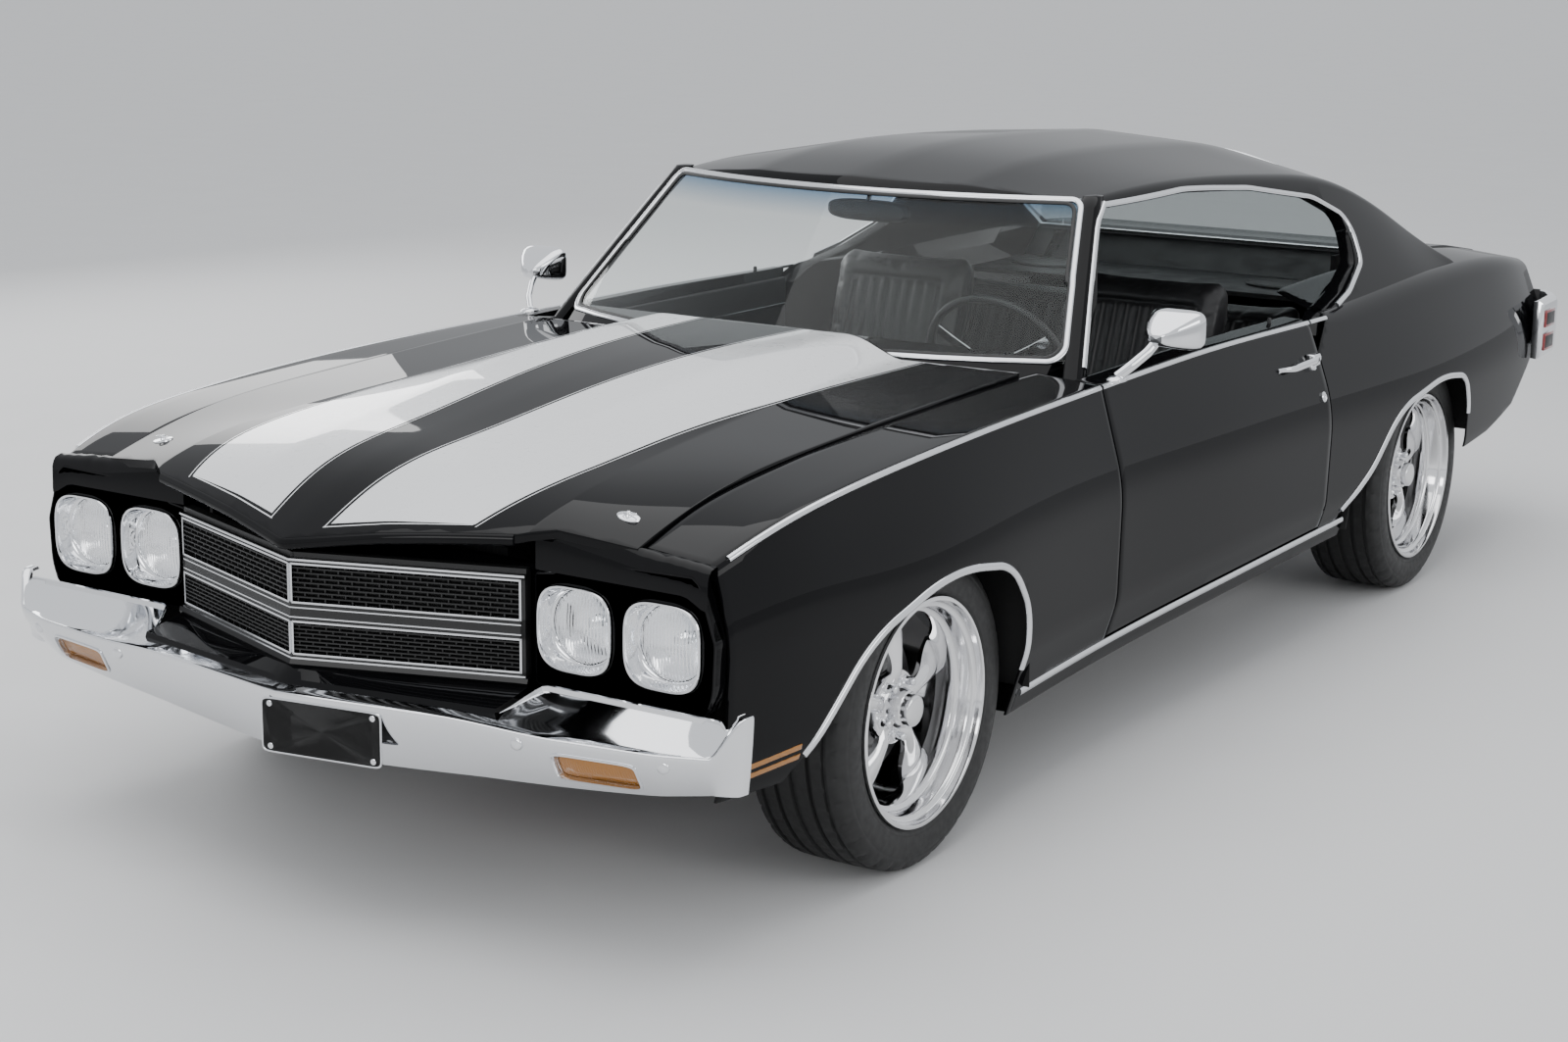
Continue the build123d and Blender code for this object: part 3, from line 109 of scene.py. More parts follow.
def parts_of(finish):
    """Node tree, shader and an object-coordinate socket of a material."""
    tree = finish.node_tree
    shader = tree.nodes["Principled BSDF"]
    coords = next((n for n in tree.nodes if n.bl_idname == "ShaderNodeTexCoord"), None)
    if coords is None:
        coords = tree.nodes.new("ShaderNodeTexCoord")
    return tree, shader, coords.outputs["Object"]


def noise(finish, scale, detail=4.0, stretch=(1.0, 1.0, 1.0)):
    """Noise texture in object space; returns its factor socket."""
    tree, _, place = parts_of(finish)
    mapping = tree.nodes.new("ShaderNodeMapping")
    mapping.inputs["Scale"].default_value = stretch
    tree.links.new(place, mapping.inputs["Vector"])
    texture = tree.nodes.new("ShaderNodeTexNoise")
    texture.inputs["Scale"].default_value = scale
    texture.inputs["Detail"].default_value = detail
    tree.links.new(mapping.outputs["Vector"], texture.inputs["Vector"])
    return texture.outputs["Fac"]


def bump(finish, height, strength, distance):
    """Adds a height to the shader's normal, on top of any bump already there."""
    tree, shader, _ = parts_of(finish)
    node = tree.nodes.new("ShaderNodeBump")
    node.inputs["Strength"].default_value = strength
    node.inputs["Distance"].default_value = distance
    tree.links.new(height, node.inputs["Height"])
    before = shader.inputs["Normal"].links
    if before:
        tree.links.new(before[0].from_socket, node.inputs["Normal"])
    tree.links.new(node.outputs["Normal"], shader.inputs["Normal"])


def remap(finish, value, low, high, out_low, out_high):
    """Value rescaled from one span to another."""
    tree = finish.node_tree
    node = tree.nodes.new("ShaderNodeMapRange")
    node.inputs["From Min"].default_value = low
    node.inputs["From Max"].default_value = high
    node.inputs["To Min"].default_value = out_low
    node.inputs["To Max"].default_value = out_high
    tree.links.new(value, node.inputs["Value"])
    return node.outputs["Result"]


def vary_rough(finish, scale, low, high):
    """Roughness that drifts over the surface."""
    tree, shader, _ = parts_of(finish)
    tree.links.new(remap(finish, noise(finish, scale), 0.3, 0.7, low, high), shader.inputs["Roughness"])


def vary_colour(finish, scale, first, second):
    """Base colour that drifts between two shades."""
    tree, shader, _ = parts_of(finish)
    mix = tree.nodes.new("ShaderNodeMix")
    mix.data_type = "RGBA"
    mix.inputs["A"].default_value = (*first, 1.0)
    mix.inputs["B"].default_value = (*second, 1.0)
    tree.links.new(remap(finish, noise(finish, scale), 0.35, 0.65, 0.0, 1.0), mix.inputs["Factor"])
    tree.links.new(mix.outputs["Result"], shader.inputs["Base Color"])


# ---------------------------------------------------------------- stage, lights and camera
CAMERA_PLACE = (3.4465, -6.0157, 1.9315)
CAMERA_AZIMUTH = math.radians(33.094)
CAMERA_DROP = math.radians(13.13)
CAMERA_ROLL = math.radians(0.687)
CAMERA_LENS = 60.594


def add_camera():
    """Camera at the viewing angle, rolled a little about its own axis."""
    sa, ca = math.sin(CAMERA_AZIMUTH), math.cos(CAMERA_AZIMUTH)
    se, ce = math.sin(CAMERA_DROP), math.cos(CAMERA_DROP)
    back = Vector((sa * ce, -ca * ce, se))
    right = Vector((ca, sa, 0.0))
    up = back.cross(right)
    cr, sr = math.cos(CAMERA_ROLL), math.sin(CAMERA_ROLL)
    rolled_right = cr * right + sr * up
    rolled_up = -sr * right + cr * up
    turn = Matrix((rolled_right, rolled_up, back)).transposed().to_4x4()
    data = bpy.data.cameras.new("view")
    data.lens = CAMERA_LENS
    data.sensor_fit = "HORIZONTAL"
    data.sensor_width = 36.0
    data.clip_end = 200.0
    camera = bpy.data.objects.new("view", data)
    camera.matrix_world = Matrix.Translation(CAMERA_PLACE) @ turn
    bpy.context.scene.collection.objects.link(camera)
    bpy.context.scene.camera = camera


def add_area(name, place, target, size, power, colour=(1.0, 1.0, 1.0), size_y=None):
    """Soft rectangular light aimed at a point."""
    data = bpy.data.lights.new(name, "AREA")
    data.shape = "RECTANGLE"
    data.size = size
    data.size_y = size_y or size
    data.energy = power
    data.color = colour
    lamp = bpy.data.objects.new(name, data)
    lamp.location = place
    lamp.rotation_euler = (Vector(target) - Vector(place)).to_track_quat("-Z", "Y").to_euler()
    bpy.context.scene.collection.objects.link(lamp)


def add_stage():
    """Pale floor, a plain bright surround and soft studio lights."""
    floor_paint = material("studio_floor", (0.66, 0.66, 0.66), rough=0.75)
    vary_rough(floor_paint, 3.0, 0.62, 0.78)
    mesh = bpy.data.meshes.new("studio_floor")
    half = 150.0
    mesh.from_pydata([(-half, -half, 0), (half, -half, 0), (half, half, 0), (-half, half, 0)], [],
                     [(0, 1, 2, 3)])
    floor = bpy.data.objects.new("studio_floor", mesh)
    floor.data.materials.append(floor_paint)
    bpy.context.scene.collection.objects.link(floor)
    world = bpy.data.worlds.new("studio")
    bpy.context.scene.world = world
    world.use_nodes = True
    world.node_tree.nodes["Background"].inputs["Color"].default_value = (0.80, 0.82, 0.85, 1.0)
    world.node_tree.nodes["Background"].inputs["Strength"].default_value = 1.2
    add_area("overhead", (0.0, -0.5, 5.0), (0.0, 0.0, 0.0), 5.0, 200, size_y=8.0)
    add_area("side_bank", (7.5, -1.0, 3.2), (0.0, 0.0, 0.6), 6.0, 120, size_y=2.2)
    add_area("front_bank", (1.0, -9.0, 3.4), (0.0, -1.5, 0.5), 5.0, 150, size_y=2.0)
    add_area("far_bank", (-7.0, 2.0, 3.0), (0.0, 0.5, 0.8), 6.0, 160, size_y=2.0)


add_camera()
add_stage()

# ---------------------------------------------------------------- mesh tools


def spline(stations, values):
    """Natural cubic curve through (station, value) pairs, as a function of station."""
    count = len(stations)
    steps = [stations[i + 1] - stations[i] for i in range(count - 1)]
    upper = [0.0] * count
    right = [0.0] * count
    for i in range(1, count - 1):
        slope = (values[i + 1] - values[i]) / steps[i] - (values[i] - values[i - 1]) / steps[i - 1]
        pivot = 2.0 * (steps[i - 1] + steps[i]) - steps[i - 1] * upper[i - 1]
        upper[i] = steps[i] / pivot
        right[i] = (6.0 * slope - steps[i - 1] * right[i - 1]) / pivot
    bend = [0.0] * count
    for i in range(count - 2, 0, -1):
        bend[i] = right[i] - upper[i] * bend[i + 1]

    def value(station):
        i = 0
        while i < count - 2 and station > stations[i + 1]:
            i += 1
        h = steps[i]
        a = (stations[i + 1] - station) / h
        b = 1.0 - a
        return (a * values[i] + b * values[i + 1]
                + ((a ** 3 - a) * bend[i] + (b ** 3 - b) * bend[i + 1]) * h * h / 6.0)

    return value


def row_splines(rows):
    """Function from a station to every other column of a table, smoothly interpolated."""
    stations = [row[0] for row in rows]
    tracks = [spline(stations, [row[k] for row in rows]) for k in range(1, len(rows[0]))]
    return lambda station: [track(station) for track in tracks]


def span(low, high, step):
    """Evenly spaced values from low to high, both included, at most step apart."""
    count = max(1, math.ceil(abs(high - low) / step - 1e-9))
    return [low + (high - low) * i / count for i in range(count + 1)]


def filleted(points, radii, leg_steps, arc_steps, closed=False):
    """Polyline with round corners, sampled with a constant number of points."""
    count = len(points)
    corners = range(count) if closed else range(1, count - 1)
    arcs = {}
    for order, k in enumerate(corners):
        here = Vector(points[k])
        before = (Vector(points[k - 1]) - here)
        after = (Vector(points[(k + 1) % count]) - here)
        half = before.angle(after) / 2.0
        reach = radii[order] / math.tan(half) if half < math.pi / 2 - 1e-4 else 0.0
        reach = min(reach, before.length * 0.49 if k - 1 in arcs or closed else before.length * 0.98,
                    after.length * 0.49)
        start = here + before.normalized() * reach
        end = here + after.normalized() * reach
        # A rational quadratic curve is the circle's own arc
        weight = math.sin(half)
        arc = []
        for step in range(arc_steps + 1):
            t = step / arc_steps
            w0, w1, w2 = (1 - t) ** 2, 2 * t * (1 - t) * weight, t * t
            arc.append((start * w0 + here * w1 + end * w2) / (w0 + w1 + w2))
        arcs[k] = arc
    outline = []
    if closed:
        keys = sorted(arcs)
        for order, k in enumerate(keys):
            outline += arcs[k]
            following = arcs[keys[(order + 1) % len(keys)]][0]
            last = arcs[k][-1]
            outline += [last.lerp(following, s / leg_steps) for s in range(1, leg_steps)]
        return outline
    previous = Vector(points[0])
    for k in sorted(arcs):
        outline += [previous.lerp(arcs[k][0], s / leg_steps) for s in range(leg_steps)]
        outline += arcs[k][:-1]
        previous = arcs[k][-1]
    outline += [previous.lerp(Vector(points[-1]), s / leg_steps) for s in range(leg_steps + 1)]
    return outline


def mesh_piece(name, points, faces, finish=None, smooth=True):
    """Object from points in millimetres."""
    mesh = bpy.data.meshes.new(name)
    mesh.from_pydata([Vector(p) * MM for p in points], [], faces)
    mesh.validate()
    if smooth:
        mesh.shade_smooth()
    piece = bpy.data.objects.new(name, mesh)
    bpy.context.scene.collection.objects.link(piece)
    if finish is not None:
        piece.data.materials.append(finish)
    return piece


def grid_faces(rows, columns, closed_columns=False, closed_rows=False):
    """Quads of a grid whose points run column by column within each row."""
    faces = []
    for i in range(rows if closed_rows else rows - 1):
        for j in range(columns if closed_columns else columns - 1):
            a = i * columns + j
            b = i * columns + (j + 1) % columns
            c = ((i + 1) % rows) * columns + (j + 1) % columns
            d = ((i + 1) % rows) * columns + j
            faces.append((a, b, c, d))
    return faces


def grid_piece(name, rows, finish=None, closed_columns=False, closed_rows=False, capped=False):
    """Surface through rows of points."""
    columns = len(rows[0])
    faces = grid_faces(len(rows), columns, closed_columns, closed_rows)
    if capped:
        faces.append(tuple(reversed(range(columns))))
        last = (len(rows) - 1) * columns
        faces.append(tuple(range(last, last + columns)))
    return mesh_piece(name, [p for row in rows for p in row], faces, finish)


def face_out(piece):
    """Makes a closed mesh's faces point outward."""
    form = bmesh.new()
    form.from_mesh(piece.data)
    bmesh.ops.recalc_face_normals(form, faces=form.faces)
    form.to_mesh(piece.data)
    form.free()
    return piece


def solid_piece(name, rows, finish=None):
    """Closed, capped form through rings of points, facing outward."""
    return face_out(grid_piece(name, rows, finish, closed_columns=True, capped=True))


def face_along(piece, index, direction):
    """Turns an open sheet so that one of its faces looks along a direction."""
    if piece.data.polygons[index].normal.dot(Vector(direction)) < 0:
        piece.data.flip_normals()


def angles(steps):
    """Angles evenly spaced round a circle."""
    return [2 * math.pi * k / steps for k in range(steps)]


def settle(piece):
    """Applies the piece's modifiers."""
    graph = bpy.context.evaluated_depsgraph_get()
    mesh = bpy.data.meshes.new_from_object(piece.evaluated_get(graph))
    piece.modifiers.clear()
    old = piece.data
    piece.data = mesh
    bpy.data.meshes.remove(old)
    return piece


def discard(piece):
    """Removes a helper object."""
    mesh = piece.data
    bpy.data.objects.remove(piece)
    if mesh.users == 0:
        bpy.data.meshes.remove(mesh)


def prism(outline, axis, low, high):
    """Closed block whose outline is seen along an axis; z and y are the outline's second value."""
    place = {"x": lambda p, d: (d, p[0], p[1]),
             "y": lambda p, d: (p[0], d, p[1]),
             "z": lambda p, d: (p[0], p[1], d)}[axis]
    count = len(outline)
    points = [place(p, low) for p in outline] + [place(p, high) for p in outline]
    faces = [(i, (i + 1) % count, count + (i + 1) % count, count + i) for i in range(count)]
    faces += [tuple(reversed(range(count))), tuple(range(count, 2 * count))]
    return face_out(mesh_piece("cutter", points, faces, smooth=False))


def brick(low, high):
    """Plain cutter between two corners."""
    return prism([(low[0], low[1]), (high[0], low[1]), (high[0], high[1]), (low[0], high[1])],
                 "z", low[2], high[2])


def carve(piece, cutter, operation="DIFFERENCE", keep=False):
    """Boolean of the piece with a closed cutter."""
    modifier = piece.modifiers.new("carve", "BOOLEAN")
    modifier.operation = operation
    modifier.solver = "EXACT"
    modifier.object = cutter
    settle(piece)
    if not keep:
        discard(cutter)
    return piece


def copy_piece(piece, name):
    """Separate copy of a piece."""
    twin = bpy.data.objects.new(name, piece.data.copy())
    bpy.context.scene.collection.objects.link(twin)
    return twin


def mirror_piece(piece, name):
    """Mirror image on the car's other side."""
    twin = copy_piece(piece, name)
    twin.data.transform(Matrix.Diagonal((-1.0, 1.0, 1.0, 1.0)))
    twin.data.flip_normals()
    return twin


def finish_piece(piece, finish=None, edge=0.0, segments=2, angle=32.0):
    """Small round edges, smooth faces and sharp creases."""
    if edge:
        bevel = piece.modifiers.new("edge", "BEVEL")
        bevel.width = edge * MM
        bevel.segments = segments
        bevel.limit_method = "ANGLE"
        bevel.angle_limit = math.radians(angle)
        bevel.harden_normals = False
        settle(piece)
    piece.data.shade_smooth()
    piece.data.set_sharp_from_angle(angle=math.radians(angle))
    if finish is not None:
        piece.data.materials.clear()
        piece.data.materials.append(finish)
    return piece


def ring_piece(name, profile, centre, steps, finish=None, closed=True):
    """Turned form about an axle along X: profile points are (offset along X, radius)."""
    rows = []
    for i in range(steps):
        angle = 2 * math.pi * i / steps
        rows.append([(centre[0] + offset, centre[1] + radius * math.cos(angle),
                      centre[2] + radius * math.sin(angle)) for offset, radius in profile])
    return face_out(grid_piece(name, rows, finish, closed_columns=closed, closed_rows=True))


def sweep_piece(name, path, outward, profile, finish=None, closed=False, capped=True):
    """Profile carried along a path; profile points are (across, outward) from each path point."""
    rows = []
    count = len(path)
    for i, point in enumerate(path):
        here = Vector(point)
        before = Vector(path[i - 1]) if i > 0 or closed else here
        after = Vector(path[(i + 1) % count]) if i < count - 1 or closed else here
        along = (after - before).normalized()
        out = Vector(outward[i] if isinstance(outward, list) else outward)
        out = (out - along * out.dot(along)).normalized()
        across = along.cross(out)
        rows.append([here + across * a + out * b for a, b in profile])
    piece = grid_piece(name, rows, finish, closed_columns=True, closed_rows=closed,
                       capped=capped and not closed)
    return face_out(piece)


def rounded(half_width, height, base=0.0, steps=6):
    """Low round-backed trim section."""
    arc = []
    for i in range(steps + 1):
        angle = math.pi * i / steps
        arc.append((half_width * math.cos(angle), base + (height - base) * math.sin(angle)))
    return arc + [(-half_width, base - 1.5), (half_width, base - 1.5)]


def circle(radius, steps=12):
    """Round section."""
    return [(radius * math.cos(2 * math.pi * i / steps), radius * math.sin(2 * math.pi * i / steps))
            for i in range(steps)]

# ---------------------------------------------------------------- body finishes
paint = material("black_paint", (0.003, 0.003, 0.0035), rough=0.4, coat=0.55, coat_rough=0.012)
paint.node_tree.nodes["Principled BSDF"].inputs["Specular IOR Level"].default_value = 0.0
paint.node_tree.nodes["Principled BSDF"].inputs["Coat IOR"].default_value = 1.36
bump(paint, noise(paint, 900.0, 2.0), 0.02, 0.0004)
stripe_paint = material("white_stripe", (0.66, 0.67, 0.68), rough=0.3, coat=1.0, coat_rough=0.02)
vary_rough(stripe_paint, 40.0, 0.26, 0.34)
chrome = material("chrome", (0.80, 0.81, 0.83), rough=0.05, metal=1.0)
vary_rough(chrome, 12.0, 0.035, 0.075)
bright_trim = material("bright_trim", (0.74, 0.75, 0.77), rough=0.12, metal=1.0)
vary_rough(bright_trim, 60.0, 0.09, 0.16)
satin_black = material("satin_black", (0.012, 0.012, 0.012), rough=0.45)
bump(satin_black, noise(satin_black, 700.0), 0.12, 0.0004)
underseal = material("underseal", (0.014, 0.014, 0.014), rough=0.85)
bump(underseal, noise(underseal, 260.0), 0.6, 0.0015)

# ---------------------------------------------------------------- body side
# Station y, waist x, shoulder x, shoulder z, ridge x, ridge z, inboard top z, ridge radius
SIDE_ROWS = (
    (-2290, 856, 866, 640, 832, 760, 782, 22),
    (-2100, 893, 903, 660, 860, 818, 836, 22),
    (-1850, 926, 930, 668, 869, 853, 872, 22),
    (-1545, 943, 946, 672, 870, 872, 890, 22),
    (-1150, 930, 934, 672, 864, 885, 902, 22),
    (-740, 914, 918, 670, 853, 890, 910, 22),
    (-100, 916, 922, 668, 846, 896, 916, 24),
    (480, 924, 930, 662, 848, 889, 914, 40),
    (900, 934, 940, 658, 850, 893, 930, 80),
    (1300, 942, 946, 654, 848, 900, 936, 90),
    (1800, 930, 932, 650, 838, 896, 930, 80),
    (2250, 893, 896, 648, 812, 868, 890, 60),
    (2460, 862, 866, 646, 786, 838, 856, 50),
)
WAIST_Z = 400.0
ROCKER_TUCK = 62.0
WAIST_RADIUS = 180.0
SHOULDER_RADIUS = 420.0
SIDE_STEP = 22.0
side_row = row_splines(SIDE_ROWS)


def side_profile(y, inner_x=SIDE_INNER_X):
    """Outer skin at one station, from the sill up over the ridge and inboard."""
    waist_x, shoulder_x, shoulder_z, ridge_x, ridge_z, top_z, radius = side_row(y)
    top = (inner_x, top_z + (ridge_z - top_z) * (inner_x - SIDE_INNER_X) / (ridge_x - SIDE_INNER_X))
    return filleted([(waist_x - ROCKER_TUCK, BODY_LOW_Z), (waist_x, WAIST_Z),
                     (shoulder_x, shoulder_z), (ridge_x, ridge_z), top],
                    [WAIST_RADIUS, SHOULDER_RADIUS, radius], 7, 9)


def side_point(y, z):
    """Point of the outer skin at a station and height, below the ridge."""
    line = side_profile(y)
    for low, high in zip(line, line[1:]):
        if low[1] <= z <= high[1]:
            t = (z - low[1]) / max(high[1] - low[1], 1e-6)
            return Vector((low[0] + (high[0] - low[0]) * t, y, z))
    return Vector((line[-1][0], y, line[-1][1]))


def side_normal(y, z):
    """Outward direction of the skin at a station and height."""
    up = side_point(y, z + 4) - side_point(y, z - 4)
    along = side_point(y + 4, z) - side_point(y - 4, z)
    out = along.cross(up).normalized()
    return out if out.x > 0 else -out


def ridge_line(y, turn=0.5):
    """Point and outward direction on the rounded ridge at one station."""
    line = side_profile(y)
    index = 7 + 9 + 7 + 9 + 7
    a = line[index + round(9 * turn)]
    b = line[index + round(9 * turn) - 1]
    out = Vector((a[1] - b[1], 0.0, b[0] - a[0]))
    return Vector((a[0], y, a[1])), out.normalized()


def side_block(low_y, high_y, inner_x):
    """Closed solid behind the outer skin between two stations."""
    rows = []
    for y in span(low_y, high_y, SIDE_STEP):
        skin = [(p[0], y, p[1]) for p in side_profile(y, max(inner_x, SIDE_INNER_X))]
        rows.append(skin + [(inner_x, y, skin[0][2])])
    return solid_piece("side_block", rows)


def side_shell(low_y, high_y, thickness=5.0):
    """Thin closed sheet of the outer skin between two stations."""
    rows = [[(p[0], y, p[1]) for p in side_profile(y)] for y in span(low_y, high_y, SIDE_STEP)]
    shell = grid_piece("side_shell", rows)
    probe = shell.data.polygons[len(shell.data.polygons) // 2]
    if probe.normal.x < 0:
        shell.data.flip_normals()
    solid = shell.modifiers.new("skin", "SOLIDIFY")
    solid.thickness = thickness * MM
    solid.offset = -1.0
    return settle(shell)


# Wheel openings, seen from the side: distance behind the axle, height
FRONT_ARCH = ((-630, 150), (-590, 265), (-290, 563), (-10, 645), (252, 600), (343, 485), (343, 150))
FRONT_ARCH_RADII = (30, 200, 350, 600, 220, 140, 30)
REAR_ARCH = ((-760, 150), (-725, 340), (-500, 450), (-330, 590), (0, 634), (190, 610), (232, 520), (228, 150))
REAR_ARCH_RADII = (30, 150, 400, 350, 900, 110, 130, 30)
TAIL_UNDERCUT = ((1480, 100), (1480, 385), (1744, 402), (2010, 446), (2250, 566), (2520, 600), (2520, 100))
SIDE_WINDOW = ((-760, 800), (-300, 1236), (113, 1238), (479, 1216), (860, 1165), (1045, 1095),
               (985, 985), (810, 925), (600, 885), (480, 800))
SIDE_WINDOW_RADII = (20, 30, 800, 700, 300, 60, 80, 300, 200, 20)


def outline_of(points, radii, shift=0.0):
    """Rounded closed outline as plain pairs."""
    return [(p[0] + shift, p[1]) for p in filleted(points, radii, 3, 10, closed=True)]


front_arch_line = outline_of(FRONT_ARCH, FRONT_ARCH_RADII, FRONT_AXLE_Y)
rear_arch_line = outline_of(REAR_ARCH, REAR_ARCH_RADII, REAR_AXLE_Y)
side_window_line = outline_of(SIDE_WINDOW, SIDE_WINDOW_RADII)

EDGE = 2.2


def rocker_top(y):
    """Height of the rocker's top at a station."""
    rise = (ROCKER_REAR_TOP_Z - ROCKER_FRONT_TOP_Z) / (ROCKER_REAR_Y - ROCKER_FRONT_Y)
    return ROCKER_FRONT_TOP_Z + rise * (y - ROCKER_FRONT_Y)


def below_rocker_top(front_y, rear_y, lift):
    """Cutter for all of the left side below the rocker's top, raised by lift."""
    return prism([(front_y, 60), (rear_y, 60), (rear_y, rocker_top(rear_y) + lift),
                  (front_y, rocker_top(front_y) + lift)], "x", 560, 1100)


def add_pair(piece, name, body, node):
    """Left and mirrored right piece on their bodies, each standing for its CAD node."""
    piece.name = f"{name}_left"
    twin = mirror_piece(piece, f"{name}_right")
    for side, form in (("left", piece), ("right", twin)):
        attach(form, body.replace("SIDE", side))
        if node:
            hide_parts(*[n.replace("SIDE", side) for n in node])
    return piece, twin


def add_fender():
    """Front fender skin with its wheel opening."""
    fender = side_shell(-2290, DOOR_FRONT_Y + 30)
    carve(fender, brick((HOOD_GAP_X, FENDER_FRONT_Y, 100), (1100, DOOR_FRONT_Y - GAP / 2, 1100)), "INTERSECT")
    carve(fender, prism(front_arch_line, "x", 560, 1100))
    carve(fender, below_rocker_top(ROCKER_FRONT_Y, DOOR_FRONT_Y + 20, 0))
    carve(fender, brick((560, FENDER_FRONT_Y - 10, 60), (1100, DOOR_FRONT_Y,
                                                         ROCKER_FRONT_TOP_Z - ROCKER_DEPTH)))
    carve(fender, brick((560, FENDER_FRONT_Y - 10, 60), (1100, FRONT_AXLE_Y - 300, 330)))
    finish_piece(fender, paint, EDGE)
    add_pair(fender, "fender_skin", "root", ("fender_SIDE",))


def add_door():
    """Door shell with its skin, closing faces and sill top."""
    door = side_block(DOOR_FRONT_Y - 40, DOOR_REAR_Y + 40, 785.0)
    plan = [(700, DOOR_FRONT_Y + GAP / 2), (1100, DOOR_FRONT_Y + GAP / 2), (1100, DOOR_REAR_Y - GAP / 2),
            (880, DOOR_REAR_Y - GAP / 2), (785,
                                           DOOR_REAR_Y - GAP / 2 - 22), (700, DOOR_REAR_Y - GAP / 2 - 22)]
    carve(door, prism(plan, "z", BODY_LOW_Z - 10, 1100), "INTERSECT")
    carve(door, below_rocker_top(DOOR_FRONT_Y - 60, DOOR_REAR_Y + 60, GAP))
    finish_piece(door, paint, EDGE)
    add_pair(door, "door_shell", "door_SIDE", ("door_SIDE",))


def add_rocker():
    """Sill under the door."""
    rocker = side_block(ROCKER_FRONT_Y - 40, ROCKER_REAR_Y + 40, 785.0)
    sill = [(ROCKER_FRONT_Y + 1, ROCKER_FRONT_TOP_Z - ROCKER_DEPTH),
            (ROCKER_REAR_Y, ROCKER_REAR_TOP_Z - ROCKER_DEPTH),
            (ROCKER_REAR_Y, ROCKER_REAR_TOP_Z), (ROCKER_FRONT_Y + 1, ROCKER_FRONT_TOP_Z)]
    carve(rocker, prism(sill, "x", 700, 1100), "INTERSECT")
    finish_piece(rocker, paint, EDGE)
    add_pair(rocker, "sill", "root", ("rocker_SIDE",))


# ---------------------------------------------------------------- roof and sails
# Station y, centre z, rail x, rail z, belt x
ROOF_ROWS = (
    (-470, 1276, 596, 1240, 846),
    (-150, 1322, 618, 1262, 846),
    (250, 1337, 632, 1262, 846),
    (700, 1325, 644, 1236, 848),
    (1080, 1285, 660, 1188, 848),
    (1380, 1160, 694, 1090, 846),
    (1660, 960, 748, 962, 842),
    (1800, 905, 800, 897, 838),
)
ROOF_STEP = 24.0
RAIL_RADIUS = 45.0
SCREEN_RADIUS = 1380.0
SCREEN_FOOT = (-850.0, 915.0)
SCREEN_HEAD = (-440.0, 1280.0)
SCREEN_RAKE = (SCREEN_HEAD[0] - SCREEN_FOOT[0]) / (SCREEN_HEAD[1] - SCREEN_FOOT[1])
SCREEN_CORNERS = ((-716, 915), (716, 915), (588, 1256), (-588, 1256))
REAR_GLASS_TOP = (1085.0, 1262.0)
REAR_GLASS_FOOT = (1655.0, 925.0)
PILLAR_INNER_X = 572.0
LID_FRONT_Y = 1760.0
roof_row = row_splines(ROOF_ROWS)


def roof_profile(y, drop=0.0, belt_z=BELT_Z):
    """Half section of the greenhouse at one station, centre line to belt."""
    centre_z, rail_x, rail_z, belt_x = roof_row(y)
    return filleted([(0.0, centre_z - drop), (rail_x * 0.5, centre_z - (centre_z - rail_z) * 0.22 - drop),
                     (rail_x - drop, rail_z - drop * 0.6), (belt_x - drop, belt_z)],
                    [600, RAIL_RADIUS], 6, 8)


def roof_point(y, x):
    """Point on the roof's outer skin above a station and distance from the centre line."""
    line = roof_profile(y)
    for a, b in zip(line, line[1:]):
        if a[0] <= abs(x) <= b[0]:
            t = (abs(x) - a[0]) / max(b[0] - a[0], 1e-6)
            return Vector((x, y, a[1] + (b[1] - a[1]) * t))
    return Vector((x, y, line[-1][1]))


def sail_point(y, z):
    """Point on the left side of the greenhouse at a station and height."""
    line = roof_profile(y)
    for a, b in zip(line, line[1:]):
        if b[1] <= z <= a[1] and a[0] > 300:
            t = (a[1] - z) / max(a[1] - b[1], 1e-6)
            return Vector((a[0] + (b[0] - a[0]) * t, y, z))
    return Vector((line[-1][0], y, line[-1][1]))


def screen_y(x, z, offset=0.0):
    """Station of the windshield's outer face."""
    foot = SCREEN_FOOT[0] + (z - SCREEN_FOOT[1]) * SCREEN_RAKE + offset
    return foot + SCREEN_RADIUS - math.sqrt(SCREEN_RADIUS ** 2 - x * x)


def screen_cutter(offset, low_z, high_z, back_y=3000.0):
    """Closed solid behind the windshield's face, as far back as the whole greenhouse."""
    rows = []
    for z in (low_z, high_z):
        front = [(x, screen_y(x, z, offset), z) for x in span(-1000, 1000, 40)]
        rows.append(front + [(1000, back_y, z), (-1000, back_y, z)])
    return solid_piece("screen_cutter", rows)


def roof_solid(drop, low_y, high_y, belt_z):
    """Closed solid under the greenhouse's skin, lowered by drop."""
    rows = []
    for y in span(low_y, high_y, ROOF_STEP):
        half = [(p[0], y, p[1]) for p in roof_profile(y, drop, belt_z)]
        rows.append([(-x, yy, z) for x, yy, z in reversed(half[1:])] + half)
    return solid_piece("roof_solid", rows)


